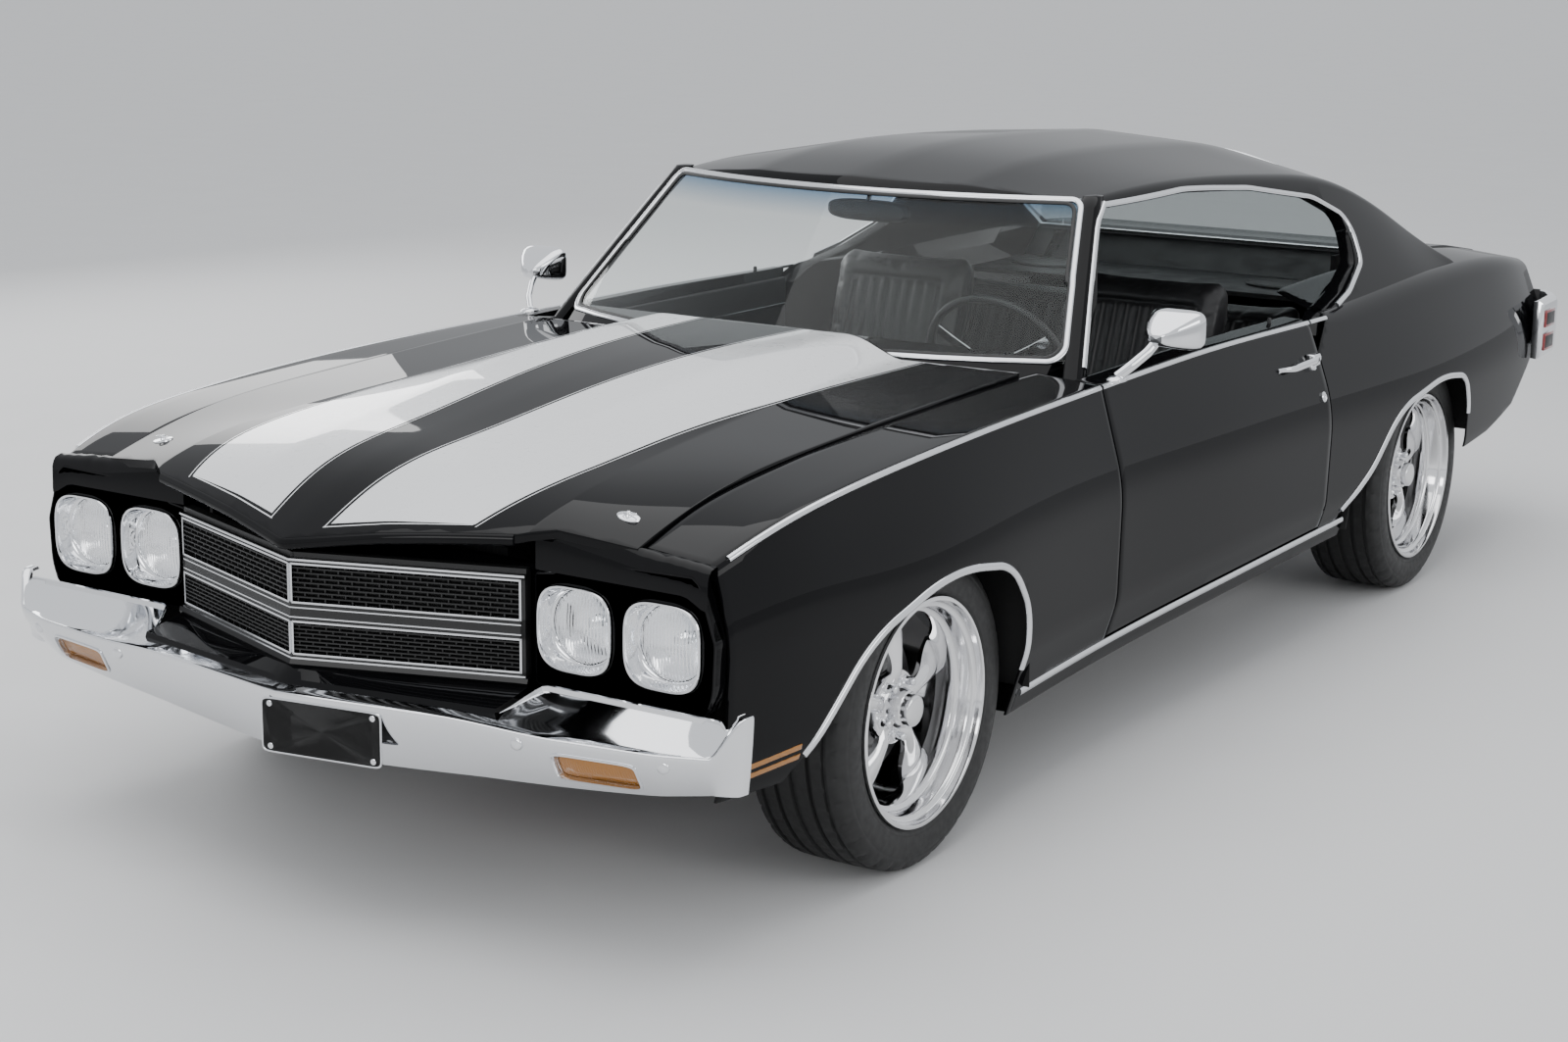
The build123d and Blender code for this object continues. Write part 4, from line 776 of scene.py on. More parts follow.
def add_roof():
    """Roof panel, windshield pillars and sails in one skin."""
    shell = roof_solid(0.0, -560, 1790, BELT_Z - 40)
    carve(shell, screen_cutter(0.0, BELT_Z - 80, 1500), "INTERSECT")
    carve(shell, roof_solid(26.0, -600, 1840, BELT_Z - 80))
    carve(shell, prism(side_window_line, "x", -1100, 1100))
    backlight = [(1062, 1400), (1085, 1300), (1092, 1262), (1655, 918), (1700, 860), (2000, 860),
                 (2000, 1400)]
    carve(shell, prism(backlight, "x", -PILLAR_INNER_X, PILLAR_INNER_X))
    opening = [(x, z) for x, z in outline_of(SCREEN_CORNERS, (18, 18, 25, 25))]
    carve(shell, prism(opening, "y", -1000, -230))
    carve(shell, brick((-1100, LID_FRONT_Y - GAP, 700), (1100, 2300, 1500)))
    finish_piece(shell, paint, EDGE)
    shell.name = "roof_skin"
    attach(shell, "root")
    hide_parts("roof")
    return shell


def add_quarter():
    """Quarter skin from the door to the tail."""
    quarter = side_shell(DOOR_REAR_Y - 40, 2460)
    carve(quarter, brick((DECK_GAP_X, DOOR_REAR_Y + GAP / 2, 100), (1100, QUARTER_REAR_Y, 1100)), "INTERSECT")
    carve(quarter, prism(side_window_line, "x", 560, 1100))
    carve(quarter, prism(rear_arch_line, "x", 560, 1100))
    carve(quarter, below_rocker_top(400, ROCKER_REAR_Y + 60, 0))
    carve(quarter, prism(TAIL_UNDERCUT, "x", 560, 1100))
    finish_piece(quarter, paint, EDGE)
    add_pair(quarter, "quarter_skin", "root", ("quarter_SIDE",))


add_fender()
add_door()
add_rocker()
add_roof()
add_quarter()

# ---------------------------------------------------------------- hood
# Station y, centre z, bulge half width, bulge z, foot half width, foot z, edge z at the gap
HOOD_ROWS = (
    (-2480, 746, 180, 742, 470, 726, 716),
    (-2300, 838, 200, 834, 480, 812, 774),
    (-2010, 893, 220, 890, 470, 868, 850),
    (-1650, 936, 240, 933, 440, 892, 882),
    (-1300, 962, 260, 960, 410, 908, 896),
    (-850, 968, 290, 966, 390, 918, 910),
)
HOOD_STEP = 16.0
HOOD_EDGE_X = HOOD_GAP_X - GAP
HOOD_REAR = ((683.0, -812.0), (520.0, -834.0), (341.0, -857.0), (170.0, -868.0), (0.0, -872.0))
HOOD_FRONT = ((0.0, -2466.0), (462.0, -2332.0), (520.0, -2290.0), (683.0, -2262.0))
hood_row = row_splines(HOOD_ROWS)


def hood_profile(y):
    """Half section of the hood at one station."""
    centre_z, top_half, top_z, foot_half, foot_z, edge_z = hood_row(y)
    return filleted([(0.0, centre_z), (top_half, top_z), (foot_half, foot_z), (HOOD_GAP_X + 20, edge_z)],
                    [160, 90], 8, 8)


hood_lines = {}


def hood_z(x, y):
    """Height of the hood's outer skin."""
    key = round(y, 1)
    if key not in hood_lines:
        hood_lines[key] = hood_profile(key)
    line = hood_lines[key]
    for a, b in zip(line, line[1:]):
        if abs(x) <= b[0]:
            return a[1] + (b[1] - a[1]) * (abs(x) - a[0]) / max(b[0] - a[0], 1e-6)
    return line[-1][1]


def both_halves(half):
    """Closed plan outline from its left half, which starts and ends on the centre line."""
    return list(half) + [(-x, y) for x, y in reversed(half) if x > 1e-6]


def add_hood():
    """Hood with its raised centre."""
    rows = []
    for y in span(-2480, -790, HOOD_STEP):
        half = [(p[0], y, p[1]) for p in hood_profile(y)]
        rows.append([(-x, yy, z) for x, yy, z in reversed(half[1:])] + half)
    hood = grid_piece("hood_skin", rows)
    if hood.data.polygons[0].normal.z < 0:
        hood.data.flip_normals()
    solid = hood.modifiers.new("skin", "SOLIDIFY")
    solid.thickness = 16.0 * MM
    solid.offset = -1.0
    settle(hood)
    plan = both_halves(HOOD_FRONT + HOOD_REAR)
    carve(hood, prism(plan, "z", 400, 1400), "INTERSECT")
    finish_piece(hood, paint, EDGE)
    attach(hood, "hood")
    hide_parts("hood")


STRIPE_LIFT = 0.7
stripe_inner = spline([-2480, -2300, -1800, -870], [72, 84, 104, 148])
stripe_outer = spline([-2460, -2345, -2230, -1800, -870], [318, 362, 392, 412, 452])


def front_edge(x):
    """Station of the hood's front edge."""
    run = HOOD_FRONT[1][0]
    return HOOD_FRONT[0][1] + (HOOD_FRONT[1][1] - HOOD_FRONT[0][1]) * abs(x) / run


def rear_edge(x):
    """Station of the hood's rear edge."""
    for (x1, y1), (x0, y0) in zip(HOOD_REAR, HOOD_REAR[1:]):
        if x0 <= abs(x) <= x1:
            return y0 + (y1 - y0) * (abs(x) - x0) / (x1 - x0)
    return HOOD_REAR[-1][1]


def stripe_grid(name, first, second, front_gap, rear_gap, finish, side, height, columns, body):
    """Paint band between two edges that follow the hood."""
    rows = []
    for j in range(columns + 1):
        s = j / columns
        x = first(-2400) + (second(-2400) - first(-2400)) * s
        low_y = front_edge(x) + front_gap
        line = []
        for y in span(low_y, -872, 14):
            x = first(y) + (second(y) - first(y)) * s
            top_y = rear_edge(x) - rear_gap
            yy = low_y + (y - low_y) * (top_y - low_y) / (-872 - low_y)
            line.append((x, yy, hood_z(x, yy) + height))
        rows.append(line)
    count = min(len(line) for line in rows)
    trimmed = []
    for line in rows:
        picks = [line[round(i * (len(line) - 1) / (count - 1))] for i in range(count)]
        trimmed.append([(side * x, y, z) for x, y, z in picks])
    band = grid_piece(name, trimmed, finish)
    if band.data.polygons[0].normal.z < 0:
        band.data.flip_normals()
    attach(band, body)
    return band


def add_stripes():
    """Two wide stripes, each with a thin dark gap and a thin outline."""
    for side, tag in ((1, "left"), (-1, "right")):
        stripe_grid(f"stripe_{tag}", stripe_inner, stripe_outer, 30, 9, stripe_paint, side, STRIPE_LIFT, 18,
                    "hood")
        stripe_grid(f"stripe_line_in_{tag}", lambda y: stripe_inner(y) - 9, lambda y: stripe_inner(y) - 6.4,
                    22, 9, stripe_paint, side, STRIPE_LIFT, 1, "hood")
        stripe_grid(f"stripe_line_out_{tag}", lambda y: stripe_outer(y) + 6.4, lambda y: stripe_outer(y) + 9,
                    22, 9, stripe_paint, side, STRIPE_LIFT, 1, "hood")
        rows = []
        for x in span(stripe_inner(-2440) - 9, stripe_outer(-2370) + 9, 12):
            y = front_edge(x)
            rows.append([(side * x, y + gap, hood_z(x, y + gap) + STRIPE_LIFT) for gap in (21.0, 23.6)])
        line = grid_piece(f"stripe_line_front_{tag}", rows, stripe_paint)
        if line.data.polygons[0].normal.z < 0:
            line.data.flip_normals()
        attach(line, "hood")


HOOD_PIN = (606.0, -2185.0)


def add_hood_pins():
    """Oval bright plate, pin and clip on each front corner of the hood."""
    for side, tag in ((1, "left"), (-1, "right")):
        x, y = HOOD_PIN
        z = hood_z(x, y)
        slope_y = (hood_z(x, y + 20) - hood_z(x, y - 20)) / 40
        slope_x = (hood_z(x + 20, y) - hood_z(x - 20, y)) / 40
        rows = []
        for scale, lift in ((1.0, 0.2), (0.98, 1.8), (0.86, 2.6), (0.45, 2.2), (0.4, 2.2), (0.3, 9.0),
                            (0.22, 11.0), (0.02, 11.6)):
            ring = []
            for i in range(28):
                angle = 2 * math.pi * i / 28
                u, v = 25 * scale * math.cos(angle), 15 * scale * math.sin(angle)
                if scale < 0.5:
                    u = 15 * scale * math.cos(angle)
                ring.append((side * (x + u), y + v, z + u * slope_x + v * slope_y + lift))
            rows.append(ring)
        pin = solid_piece(f"hood_pin_{tag}", rows, chrome)
        finish_piece(pin, chrome, 0.0)
        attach(pin, "hood")
        clip = sweep_piece(f"hood_pin_clip_{tag}",
                           [(side * (x + 3 + 15 * math.cos(a)), y + 7 * math.sin(a), z + 7.5)
                            for a in [math.radians(d) for d in range(0, 360, 20)]],
                           (0, 0, 1), circle(1.3, 6), bright_trim, closed=True)
        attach(clip, "hood")


add_hood()
add_stripes()
add_hood_pins()

# ---------------------------------------------------------------- glass
glass = material("clear_glass", (0.93, 0.96, 0.95), rough=0.0, transmission=1.0, ior=1.22)
tree, shader, place = parts_of(glass)
axes = tree.nodes.new("ShaderNodeSeparateXYZ")
tree.links.new(place, axes.inputs["Vector"])
tint = tree.nodes.new("ShaderNodeMix")
tint.data_type = "RGBA"
tint.inputs["A"].default_value = (0.92, 0.96, 0.95, 1.0)
tint.inputs["B"].default_value = (0.02, 0.20, 0.42, 1.0)
tree.links.new(remap(glass, axes.outputs["Z"], 1.185, 1.262, 0.0, 1.0), tint.inputs["Factor"])
tree.links.new(tint.outputs["Result"], shader.inputs["Base Color"])
dark_glass = material("tinted_glass", (0.55, 0.60, 0.60), rough=0.0, transmission=1.0, ior=1.45)
vary_rough(dark_glass, 2.0, 0.0, 0.01)
SCREEN_THICK = 5.0


def add_windshield():
    """Curved laminated windshield with a shaded band at its head."""
    rows = []
    (foot_x, foot_z), (head_x, head_z) = SCREEN_CORNERS[1], SCREEN_CORNERS[2]
    for z in span(foot_z + 2, head_z - 2, 14):
        half = foot_x + (head_x - foot_x) * (z - foot_z) / (head_z - foot_z) - 2
        line = [half * (2 * j / 60 - 1) for j in range(61)]
        rows.append([(x, screen_y(x, z, 1.5), z) for x in line])
    screen = grid_piece("windshield_glass", rows, glass)
    if screen.data.polygons[0].normal.y > 0:
        screen.data.flip_normals()
    solid = screen.modifiers.new("skin", "SOLIDIFY")
    solid.thickness = SCREEN_THICK * MM
    solid.offset = -1.0
    settle(screen)
    screen.data.shade_smooth()
    screen.data.set_sharp_from_angle(angle=math.radians(40))
    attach(screen, "root")
    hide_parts("windshield")


def rear_glass_point(x, t):
    """Point of the rear window: t runs from its head to its foot."""
    (head_y, head_z), (foot_y, foot_z) = REAR_GLASS_TOP, REAR_GLASS_FOOT
    y = head_y + (foot_y - head_y) * t
    z = head_z + (foot_z - head_z) * t
    return (x, y, min(z, roof_point(y, x).z - 5.0))


def rear_plane_z(y):
    """Height of the rear window's plane at a station."""
    (head_y, head_z), (foot_y, foot_z) = REAR_GLASS_TOP, REAR_GLASS_FOOT
    return head_z + (foot_z - head_z) * (y - head_y) / (foot_y - head_y)


def rear_opening_point(x):
    """Where the rear window's plane comes out of the roof."""
    y = REAR_GLASS_TOP[0] + 7
    while y < 1500 and roof_point(y, x).z < rear_plane_z(y):
        y += 4
    return (x, y, rear_plane_z(y) + 1)


def add_rear_window():
    """Curved rear window."""
    rows = []
    for i in range(31):
        t = i / 30
        rows.append([rear_glass_point((PILLAR_INNER_X - 3) * (2 * j / 40 - 1), t) for j in range(41)])
    back = grid_piece("rear_glass", rows, dark_glass)
    face_along(back, 0, (0, 0, 1))
    solid = back.modifiers.new("skin", "SOLIDIFY")
    solid.thickness = SCREEN_THICK * MM
    solid.offset = -1.0
    settle(back)
    back.data.shade_smooth()
    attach(back, "root")
    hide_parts("rear_window")


def screen_border(inset):
    """Loop round the windshield, moved inward by inset, with its outward directions."""
    loop = outline_of(SCREEN_CORNERS, (26, 26, 34, 34))
    centre_z = (SCREEN_CORNERS[0][1] + SCREEN_CORNERS[2][1]) / 2
    points, outs = [], []
    for a, b in zip(loop, loop[1:] + loop[:1]):
        for s in range(4):
            x = a[0] + (b[0] - a[0]) * s / 4
            z = a[1] + (b[1] - a[1]) * s / 4
            x -= inset * (1 if x > 0 else -1) * min(1.0, abs(x) / 500)
            z -= inset * (1 if z > centre_z else -1) * 0.8
            points.append((x, screen_y(x, z, -1.0), z))
            outs.append((x / SCREEN_RADIUS, -1.0, 0.9))
    return points, outs


def add_glass_trim():
    """Bright reveal mouldings round the windshield and rear window, with their rubber."""
    points, outs = screen_border(2.0)
    reveal = sweep_piece("windshield_reveal", points, outs, rounded(8.0, 5.0), bright_trim, closed=True)
    finish_piece(reveal, bright_trim, 0.0, angle=CREASE)
    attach(reveal, "root")
    points, outs = screen_border(12.0)
    rubber = sweep_piece("windshield_rubber", points, outs, rounded(5.0, 2.4), satin_black, closed=True)
    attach(rubber, "root")
    edge = PILLAR_INNER_X - 6
    ends, middle = rear_opening_point(edge)[1], rear_opening_point(0.0)[1]
    top = []
    for x in span(-edge, edge, 26):
        y = middle + (ends - middle) * (abs(x) / edge) ** 2.6
        top.append((x, y, max(rear_plane_z(y), roof_point(y, x).z) + 1))
    start = top[-1][1]
    side_line = [y for y in span(start + 20, REAR_GLASS_FOOT[0] - 16, 30)]
    right = [(edge, y, rear_plane_z(y) + 1) for y in side_line]
    foot = [(x, REAR_GLASS_FOOT[0] - 10, rear_plane_z(REAR_GLASS_FOOT[0] - 10) + 1)
            for x in span(edge - 12, 12 - edge, 40)]
    left = [(-edge, y, z) for _, y, z in reversed(right)]
    reveal = sweep_piece("rear_reveal", top + right + foot + left, (0, 0.5, 0.86), rounded(9.0, 6.0),
                         bright_trim, closed=True)
    finish_piece(reveal, bright_trim, 0.0, angle=CREASE)
    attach(reveal, "root")


add_windshield()
add_rear_window()
add_glass_trim()

# ---------------------------------------------------------------- bright strips on the side


def on_path(name, points, outs, half_width, height, body, finish=None, closed=False, base=0.0):
    """Trim strip along a path, with a mirrored twin; body may hold SIDE."""
    strip = sweep_piece(f"{name}_left", points, outs, rounded(half_width, height, base),
                        finish or bright_trim,
                        closed=closed)
    finish_piece(strip, finish or bright_trim, 0.0, angle=38)
    add_pair(strip, name, body, None)


def add_side_strips():
    """Belt, wheel opening and sill strips."""
    for name, low, high, body in (("fender_strip", -2206, -743, "root"),
                                  ("door_strip", -733, 478, "door_SIDE"),
                                  ("quarter_strip", 488, 600, "root")):
        line = [ridge_line(y) for y in span(low, high, 20)]
        on_path(name, [p + o * 0.4 for p, o in line], [o for _, o in line], 6.5, 4.5, body)
    for name, loop, axle, low_z, rear_low_z in (("front_arch_strip", front_arch_line, FRONT_AXLE_Y, 344, 300),
                                                ("rear_arch_strip", rear_arch_line, REAR_AXLE_Y, 344, 395)):
        path = [p for p in loop if p[1] > (low_z if p[0] < axle else rear_low_z)]
        centre = Vector((axle, 300.0))
        path = [centre + (Vector(p) - centre) * 1.004 for p in path]
        path.sort(key=lambda p: math.atan2(p[1] - 250.0, p[0] - axle))
        smooth_path = []
        for a, b in zip(path, path[1:]):
            count = max(1, round((b - a).length / 14))
            smooth_path += [a.lerp(b, s / count) for s in range(count)]
        points = [side_point(p[0], p[1]) for p in smooth_path]
        outs = [side_normal(p[0], p[1]) for p in smooth_path]
        on_path(name, [p + o * 0.2 for p, o in zip(points, outs)], outs, 9.0, 6.0, "root")
    line = span(ROCKER_FRONT_Y + 12, ROCKER_REAR_Y - 12, 30)
    points = [side_point(y, rocker_top(y) - 11) for y in line]
    outs = [side_normal(y, rocker_top(y) - 11) for y in line]
    on_path("sill_strip", points, outs, 10.0, 6.0, "root")


def add_window_strip():
    """Drip rail and quarter window surround in one bright line."""
    outline = [Vector(p) for p in side_window_line]
    centre = Vector((200.0, 1020.0))
    points, outs = [], []
    keep = [p for p in outline if p.y > 898 and (p.x > -222 or p.y > 1225)]
    keep.sort(key=lambda p: math.atan2(p.y - 850.0, p.x - centre.x))
    for a, b in zip(keep, keep[1:]):
        count = max(1, round((b - a).length / 16))
        for s in range(count):
            p = a.lerp(b, s / count)
            away = (p - centre).normalized()
            q = p + away * 9.0
            here = sail_point(q.x, q.y)
            up = sail_point(q.x, q.y - 6.0)
            slope = Vector((here.x - up.x, 0.0, 6.0))
            out = Vector((slope.z, 0.0, -slope.x)).normalized()
            points.append(here + out * 0.5)
            outs.append(out)
    on_path("window_strip", points, outs, 8.0, 6.0, "root")


add_side_strips()
add_window_strip()

# ---------------------------------------------------------------- wheels
polished = material("polished_alloy", (0.78, 0.78, 0.79), rough=0.09, metal=1.0)
vary_rough(polished, 30.0, 0.06, 0.13)
cast_steel = material("cast_steel", (0.22, 0.22, 0.22), rough=0.5, metal=0.9)
vary_rough(cast_steel, 90.0, 0.38, 0.6)
rubber = material("tyre_rubber", (0.013, 0.013, 0.013), rough=0.55)
vary_rough(rubber, 60.0, 0.48, 0.66)
bump(rubber, noise(rubber, 900.0), 0.15, 0.0005)

TYRE_SECTION = (
    (108, 241.5), (110, 246), (114, 251), (115, 254.5), (114.6, 256), (115.2, 258), (116.4, 268), (117, 280),
    (116.2, 292), (114.4, 300), (114.0, 301), (114.2, 302.5), (112.0, 309), (107.5, 318), (103, 324),
    (98, 328.5), (90, 331.2), (82, 332.4), (80, 326.5), (72, 326.8), (70, 333.0), (46, 333.6), (44, 326.8),
    (36, 326.8), (34, 333.9), (8, 334.0), (5, 327.0),
)
RIM_SECTION = (
    (109, 241), (113, 242), (116.5, 240.5), (118, 237), (117, 232.5), (112, 230.5), (104, 229.5), (99, 227.5),
    (97, 224), (96, 217.5), (92, 215.5), (70, 213.5), (66, 212), (64, 208.5), (62, 202.5), (58, 201),
    (40, 199.5), (20, 200), (16, 204), (12, 214), (-20, 216), (-70, 218), (-104, 224), (-110, 230),
    (-116, 233), (-118, 239), (-113, 242), (-108, 241), (-104, 236), (-70, 224), (60, 219), (90, 224),
    (100, 234),
)
# Distance from the axle, half width, face offset, crown
SPOKE_STATIONS = (
    (40, 33, 40, 5), (56, 25, 45, 8), (74, 20, 50, 9), (96, 19, 51, 10), (120, 25, 50, 14), (144, 34, 47, 19),
    (166, 41, 43, 21), (184, 44, 37, 19), (197, 45, 29, 14), (205, 46, 22, 9),
)
HUB_SECTION = (
    (20, 80), (38, 79), (41, 77), (42, 73), (42.5, 48), (44, 45), (60, 42), (66, 40), (70, 38.5), (71, 36),
    (72, 34.6), (86, 33.6), (88, 33), (89.5, 31), (91.2, 27), (92, 20), (92, 4),
)
LUG_SECTION = ((-3, 12.5), (0.5, 12.5), (2, 11.5), (4, 9.6), (19, 8.8), (22, 7.4), (23.6, 4), (24, 1))
WHEEL_STEPS = 144


def spoke_rows():
    """Sections of one spoke, root to rim, as (radius, across, offset) points."""
    tracks = row_splines(SPOKE_STATIONS)
    rows = []
    for r in span(SPOKE_STATIONS[0][0], SPOKE_STATIONS[-1][0], 5):
        half, face, crown = tracks(r)
        ring = []
        for i in range(15):
            u = -1 + 2 * i / 14
            lift = crown * (1 - abs(u) ** 2.4)
            ring.append((r, half * u, face - crown + lift))
        ring += [(r, half * 0.86, face - crown - 12), (r, half * 0.5, face - crown - 17),
                 (r, -half * 0.5, face - crown - 17), (r, -half * 0.86, face - crown - 12)]
        rows.append(ring)
    return rows


def turned(section, centre, steps):
    """Points of a revolved open section as rings round the axle."""
    return [[(centre[0] + o, centre[1] + r * math.cos(2 * math.pi * i / steps),
              centre[2] + r * math.sin(2 * math.pi * i / steps)) for o, r in section] for i in range(steps)]


def join(pieces, name):
    """One object from several, keeping their finishes."""
    form = bmesh.new()
    finishes = []
    for piece in pieces:
        start = len(form.faces)
        form.from_mesh(piece.data)
        form.faces.ensure_lookup_table()
        own = [m for m in piece.data.materials]
        for face in form.faces[start:]:
            finish = own[min(face.material_index, len(own) - 1)]
            if finish not in finishes:
                finishes.append(finish)
            face.material_index = finishes.index(finish)
    mesh = bpy.data.meshes.new(name)
    form.to_mesh(mesh)
    form.free()
    for finish in finishes:
        mesh.materials.append(finish)
    whole = bpy.data.objects.new(name, mesh)
    bpy.context.scene.collection.objects.link(whole)
    for piece in pieces:
        discard(piece)
    return whole


def wheel_piece(axle_y):
    """Polished five-spoke wheel with stepped lip, cap and lugs."""
    centre = (TRACK_HALF, axle_y, HUB_Z)
    pieces = [face_out(grid_piece("barrel", turned(RIM_SECTION, centre, WHEEL_STEPS), polished,
                                  closed_columns=True, closed_rows=True))]
    hub_rows = turned(HUB_SECTION + ((92, 0.2),), centre, 72)
    hub = grid_piece("hub", hub_rows, polished, closed_rows=True)
    pieces.append(face_out(hub))
    for k in range(5):
        spin = 2 * math.pi * k / 5 + math.pi / 2
        radial = Vector((0, math.cos(spin), math.sin(spin)))
        across = Vector((0, -math.sin(spin), math.cos(spin)))
        rows = [[Vector(centre) + radial * r + across * u + Vector((o, 0, 0)) for r, u, o in ring]
                for ring in spoke_rows()]
        pieces.append(solid_piece("spoke", rows, polished))
        nut_turn = spin + math.pi / 5
        nut = (centre[0] + 42, centre[1] + 60.3 * math.cos(nut_turn), centre[2] + 60.3 * math.sin(nut_turn))
        pieces.append(face_out(grid_piece("lug", turned(LUG_SECTION, nut, 24), chrome, closed_rows=True)))
    for piece in pieces:
        finish_piece(piece, None, 0.0, angle=CREASE)
    return join(pieces, "wheel")


def tyre_piece(axle_y):
    """Low tyre with circumferential grooves and cut shoulder blocks."""
    half = list(TYRE_SECTION)
    section = half + [(-o, r) for o, r in reversed(half)]
    steps = 216
    rows = []
    for i in range(steps):
        angle = 2 * math.pi * i / steps
        ring = []
        for offset, radius in section:
            shoulder = 84 <= abs(offset) <= 108
            rib = 46 < abs(offset) < 71 and radius > 330
            if (shoulder and i % 6 == 0) or (rib and i % 6 == 3):
                radius -= 5.0
            ring.append((TRACK_HALF + offset, axle_y + radius * math.cos(angle),
                         HUB_Z + radius * math.sin(angle)))
        rows.append(ring)
    tyre = face_out(grid_piece("tyre", rows, rubber, closed_columns=True, closed_rows=True))
    return finish_piece(tyre, rubber, 0.0, angle=35)


def disc_piece(axle_y):
    """Brake disc behind the spokes."""
    section = ((-28, 60), (-28, 148), (-26, 150), (-16, 150), (-14, 148), (-14, 96), (-8, 92), (-2, 84),
               (2, 60))
    disc = ring_piece("disc", section, (TRACK_HALF, axle_y, HUB_Z), 96, cast_steel)
    return finish_piece(disc, cast_steel, 0.0, angle=35)


def add_wheels():
    """Wheels, tyres and discs on their four bodies."""
    for letter, axle_y in (("f", FRONT_AXLE_Y), ("r", REAR_AXLE_Y)):
        forms = (("wheel", wheel_piece(axle_y), "rim"), ("tyre_dressed", tyre_piece(axle_y), "tyre"),
                 ("disc", disc_piece(axle_y), None))
        for name, form, node in forms:
            form.name = f"{name}_{letter}l"
            twin = mirror_piece(form, f"{name}_{letter}r")
            for side, piece in (("l", form), ("r", twin)):
                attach(piece, f"wheel_{letter}{side}")
                if node:
                    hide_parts(f"{node}_{letter}{side}")


add_wheels()

# ---------------------------------------------------------------- lamps and nose
LAMP_Z = 620.0
OUTER_LAMP_X = 752.0
INNER_LAMP_X = 552.0
LAMP_FACE_Y = -2275.0
lens = material("lamp_lens", (0.95, 0.97, 1.0), rough=0.02, transmission=1.0, ior=1.45)
tree, _, place = parts_of(lens)
flute = tree.nodes.new("ShaderNodeTexWave")
flute.inputs["Scale"].default_value = 42.0
flute.inputs["Distortion"].default_value = 1.5
tree.links.new(place, flute.inputs["Vector"])
bump(lens, flute.outputs["Fac"], 0.35, 0.002)
reflector = material("lamp_reflector", (0.86, 0.87, 0.88), rough=0.14, metal=1.0)
vary_rough(reflector, 60.0, 0.1, 0.2)
amber = material("amber_lens", (0.33, 0.13, 0.015), rough=0.12, coat=0.6)
tree, _, place = parts_of(amber)
flute = tree.nodes.new("ShaderNodeTexWave")
flute.inputs["Scale"].default_value = 60.0
tree.links.new(place, flute.inputs["Vector"])
bump(amber, flute.outputs["Fac"], 0.4, 0.002)
red_lens = material("red_lens", (0.22, 0.004, 0.006), rough=0.1, coat=0.8)
tree, _, place = parts_of(red_lens)
flute = tree.nodes.new("ShaderNodeTexWave")
flute.inputs["Scale"].default_value = 70.0
tree.links.new(place, flute.inputs["Vector"])
bump(red_lens, flute.outputs["Fac"], 0.4, 0.002)

BEZEL_STEPS = 72


def squircle(half_x, half_z, power, steps=BEZEL_STEPS):
    """Rounded square loop in X and Z."""
    loop = []
    for i in range(steps):
        angle = 2 * math.pi * i / steps
        c, s = math.cos(angle), math.sin(angle)
        loop.append((half_x * math.copysign(abs(c) ** (2 / power), c),
                     half_z * math.copysign(abs(s) ** (2 / power), s)))
    return loop


def lamp_bezel(x, name):
    """Bright bowl round one lamp, a rounded square outside and a circle inside."""
    # depth from the face, half x, half z, squareness
    sections = ((14, 85, 82, 3.4), (-7.5, 86.5, 83.5, 3.4), (-10, 85, 82, 3.3), (-9.4, 81.5, 78.5, 3.2),
                (-5, 80, 77.5, 3.1), (8, 79, 77, 2.8), (20, 78, 76.5,
                                                        2.4), (24, 77, 76, 2.1), (25, 74, 74, 2.0),
                (27.5, 73.4, 73.4, 2.0), (29, 73, 73, 2.0))
    rows = []
    for depth, half_x, half_z, power in sections:
        rows.append([(x + u, LAMP_FACE_Y + depth, LAMP_Z + v) for u, v in squircle(half_x, half_z, power)])
    bowl = grid_piece(name, rows, chrome, closed_columns=True)
    return finish_piece(face_out(bowl), chrome, 0.0, angle=50)


def lamp_glass(x, name):
    """Domed sealed lamp: clear lens, bright reflector and its bulb shield."""
    front, bowl, shield = [], [], []
    for r in (1, 14, 28, 42, 54, 63, 68, 72.0):
        depth = 20 + 8 * (r / 72.0) ** 2.2
        front.append([(x + r * math.cos(a), LAMP_FACE_Y + depth, LAMP_Z + r * math.sin(a))
                      for a in angles(48)])
    for r in (72.0, 66, 54, 40, 24, 10, 1):
        depth = 54 - 24 * (r / 72.0) ** 2
        bowl.append([(x + r * math.cos(a), LAMP_FACE_Y + depth, LAMP_Z + r * math.sin(a))
                     for a in angles(48)])
    for r, depth in ((13, 50), (13, 40), (11, 36), (1, 35)):
        shield.append([(x + r * math.cos(a), LAMP_FACE_Y + depth, LAMP_Z + r * math.sin(a))
                       for a in angles(24)])
    cover = grid_piece(name, front, lens, closed_columns=True)
    mirror_bowl = grid_piece("bowl", bowl, reflector, closed_columns=True)
    cap = grid_piece("cap", shield, reflector, closed_columns=True)
    return join([cover, mirror_bowl, cap], name)


NOSE_OUTLINE = ((456, 500), (846, 500), (862, 545), (866, 640), (830, 748), (814, 760), (690, 757),
                (540, 750), (500, 722), (456, 716))
NOSE_RADII = (8, 20, 120, 40, 20, 10, 200, 20, 20, 8)


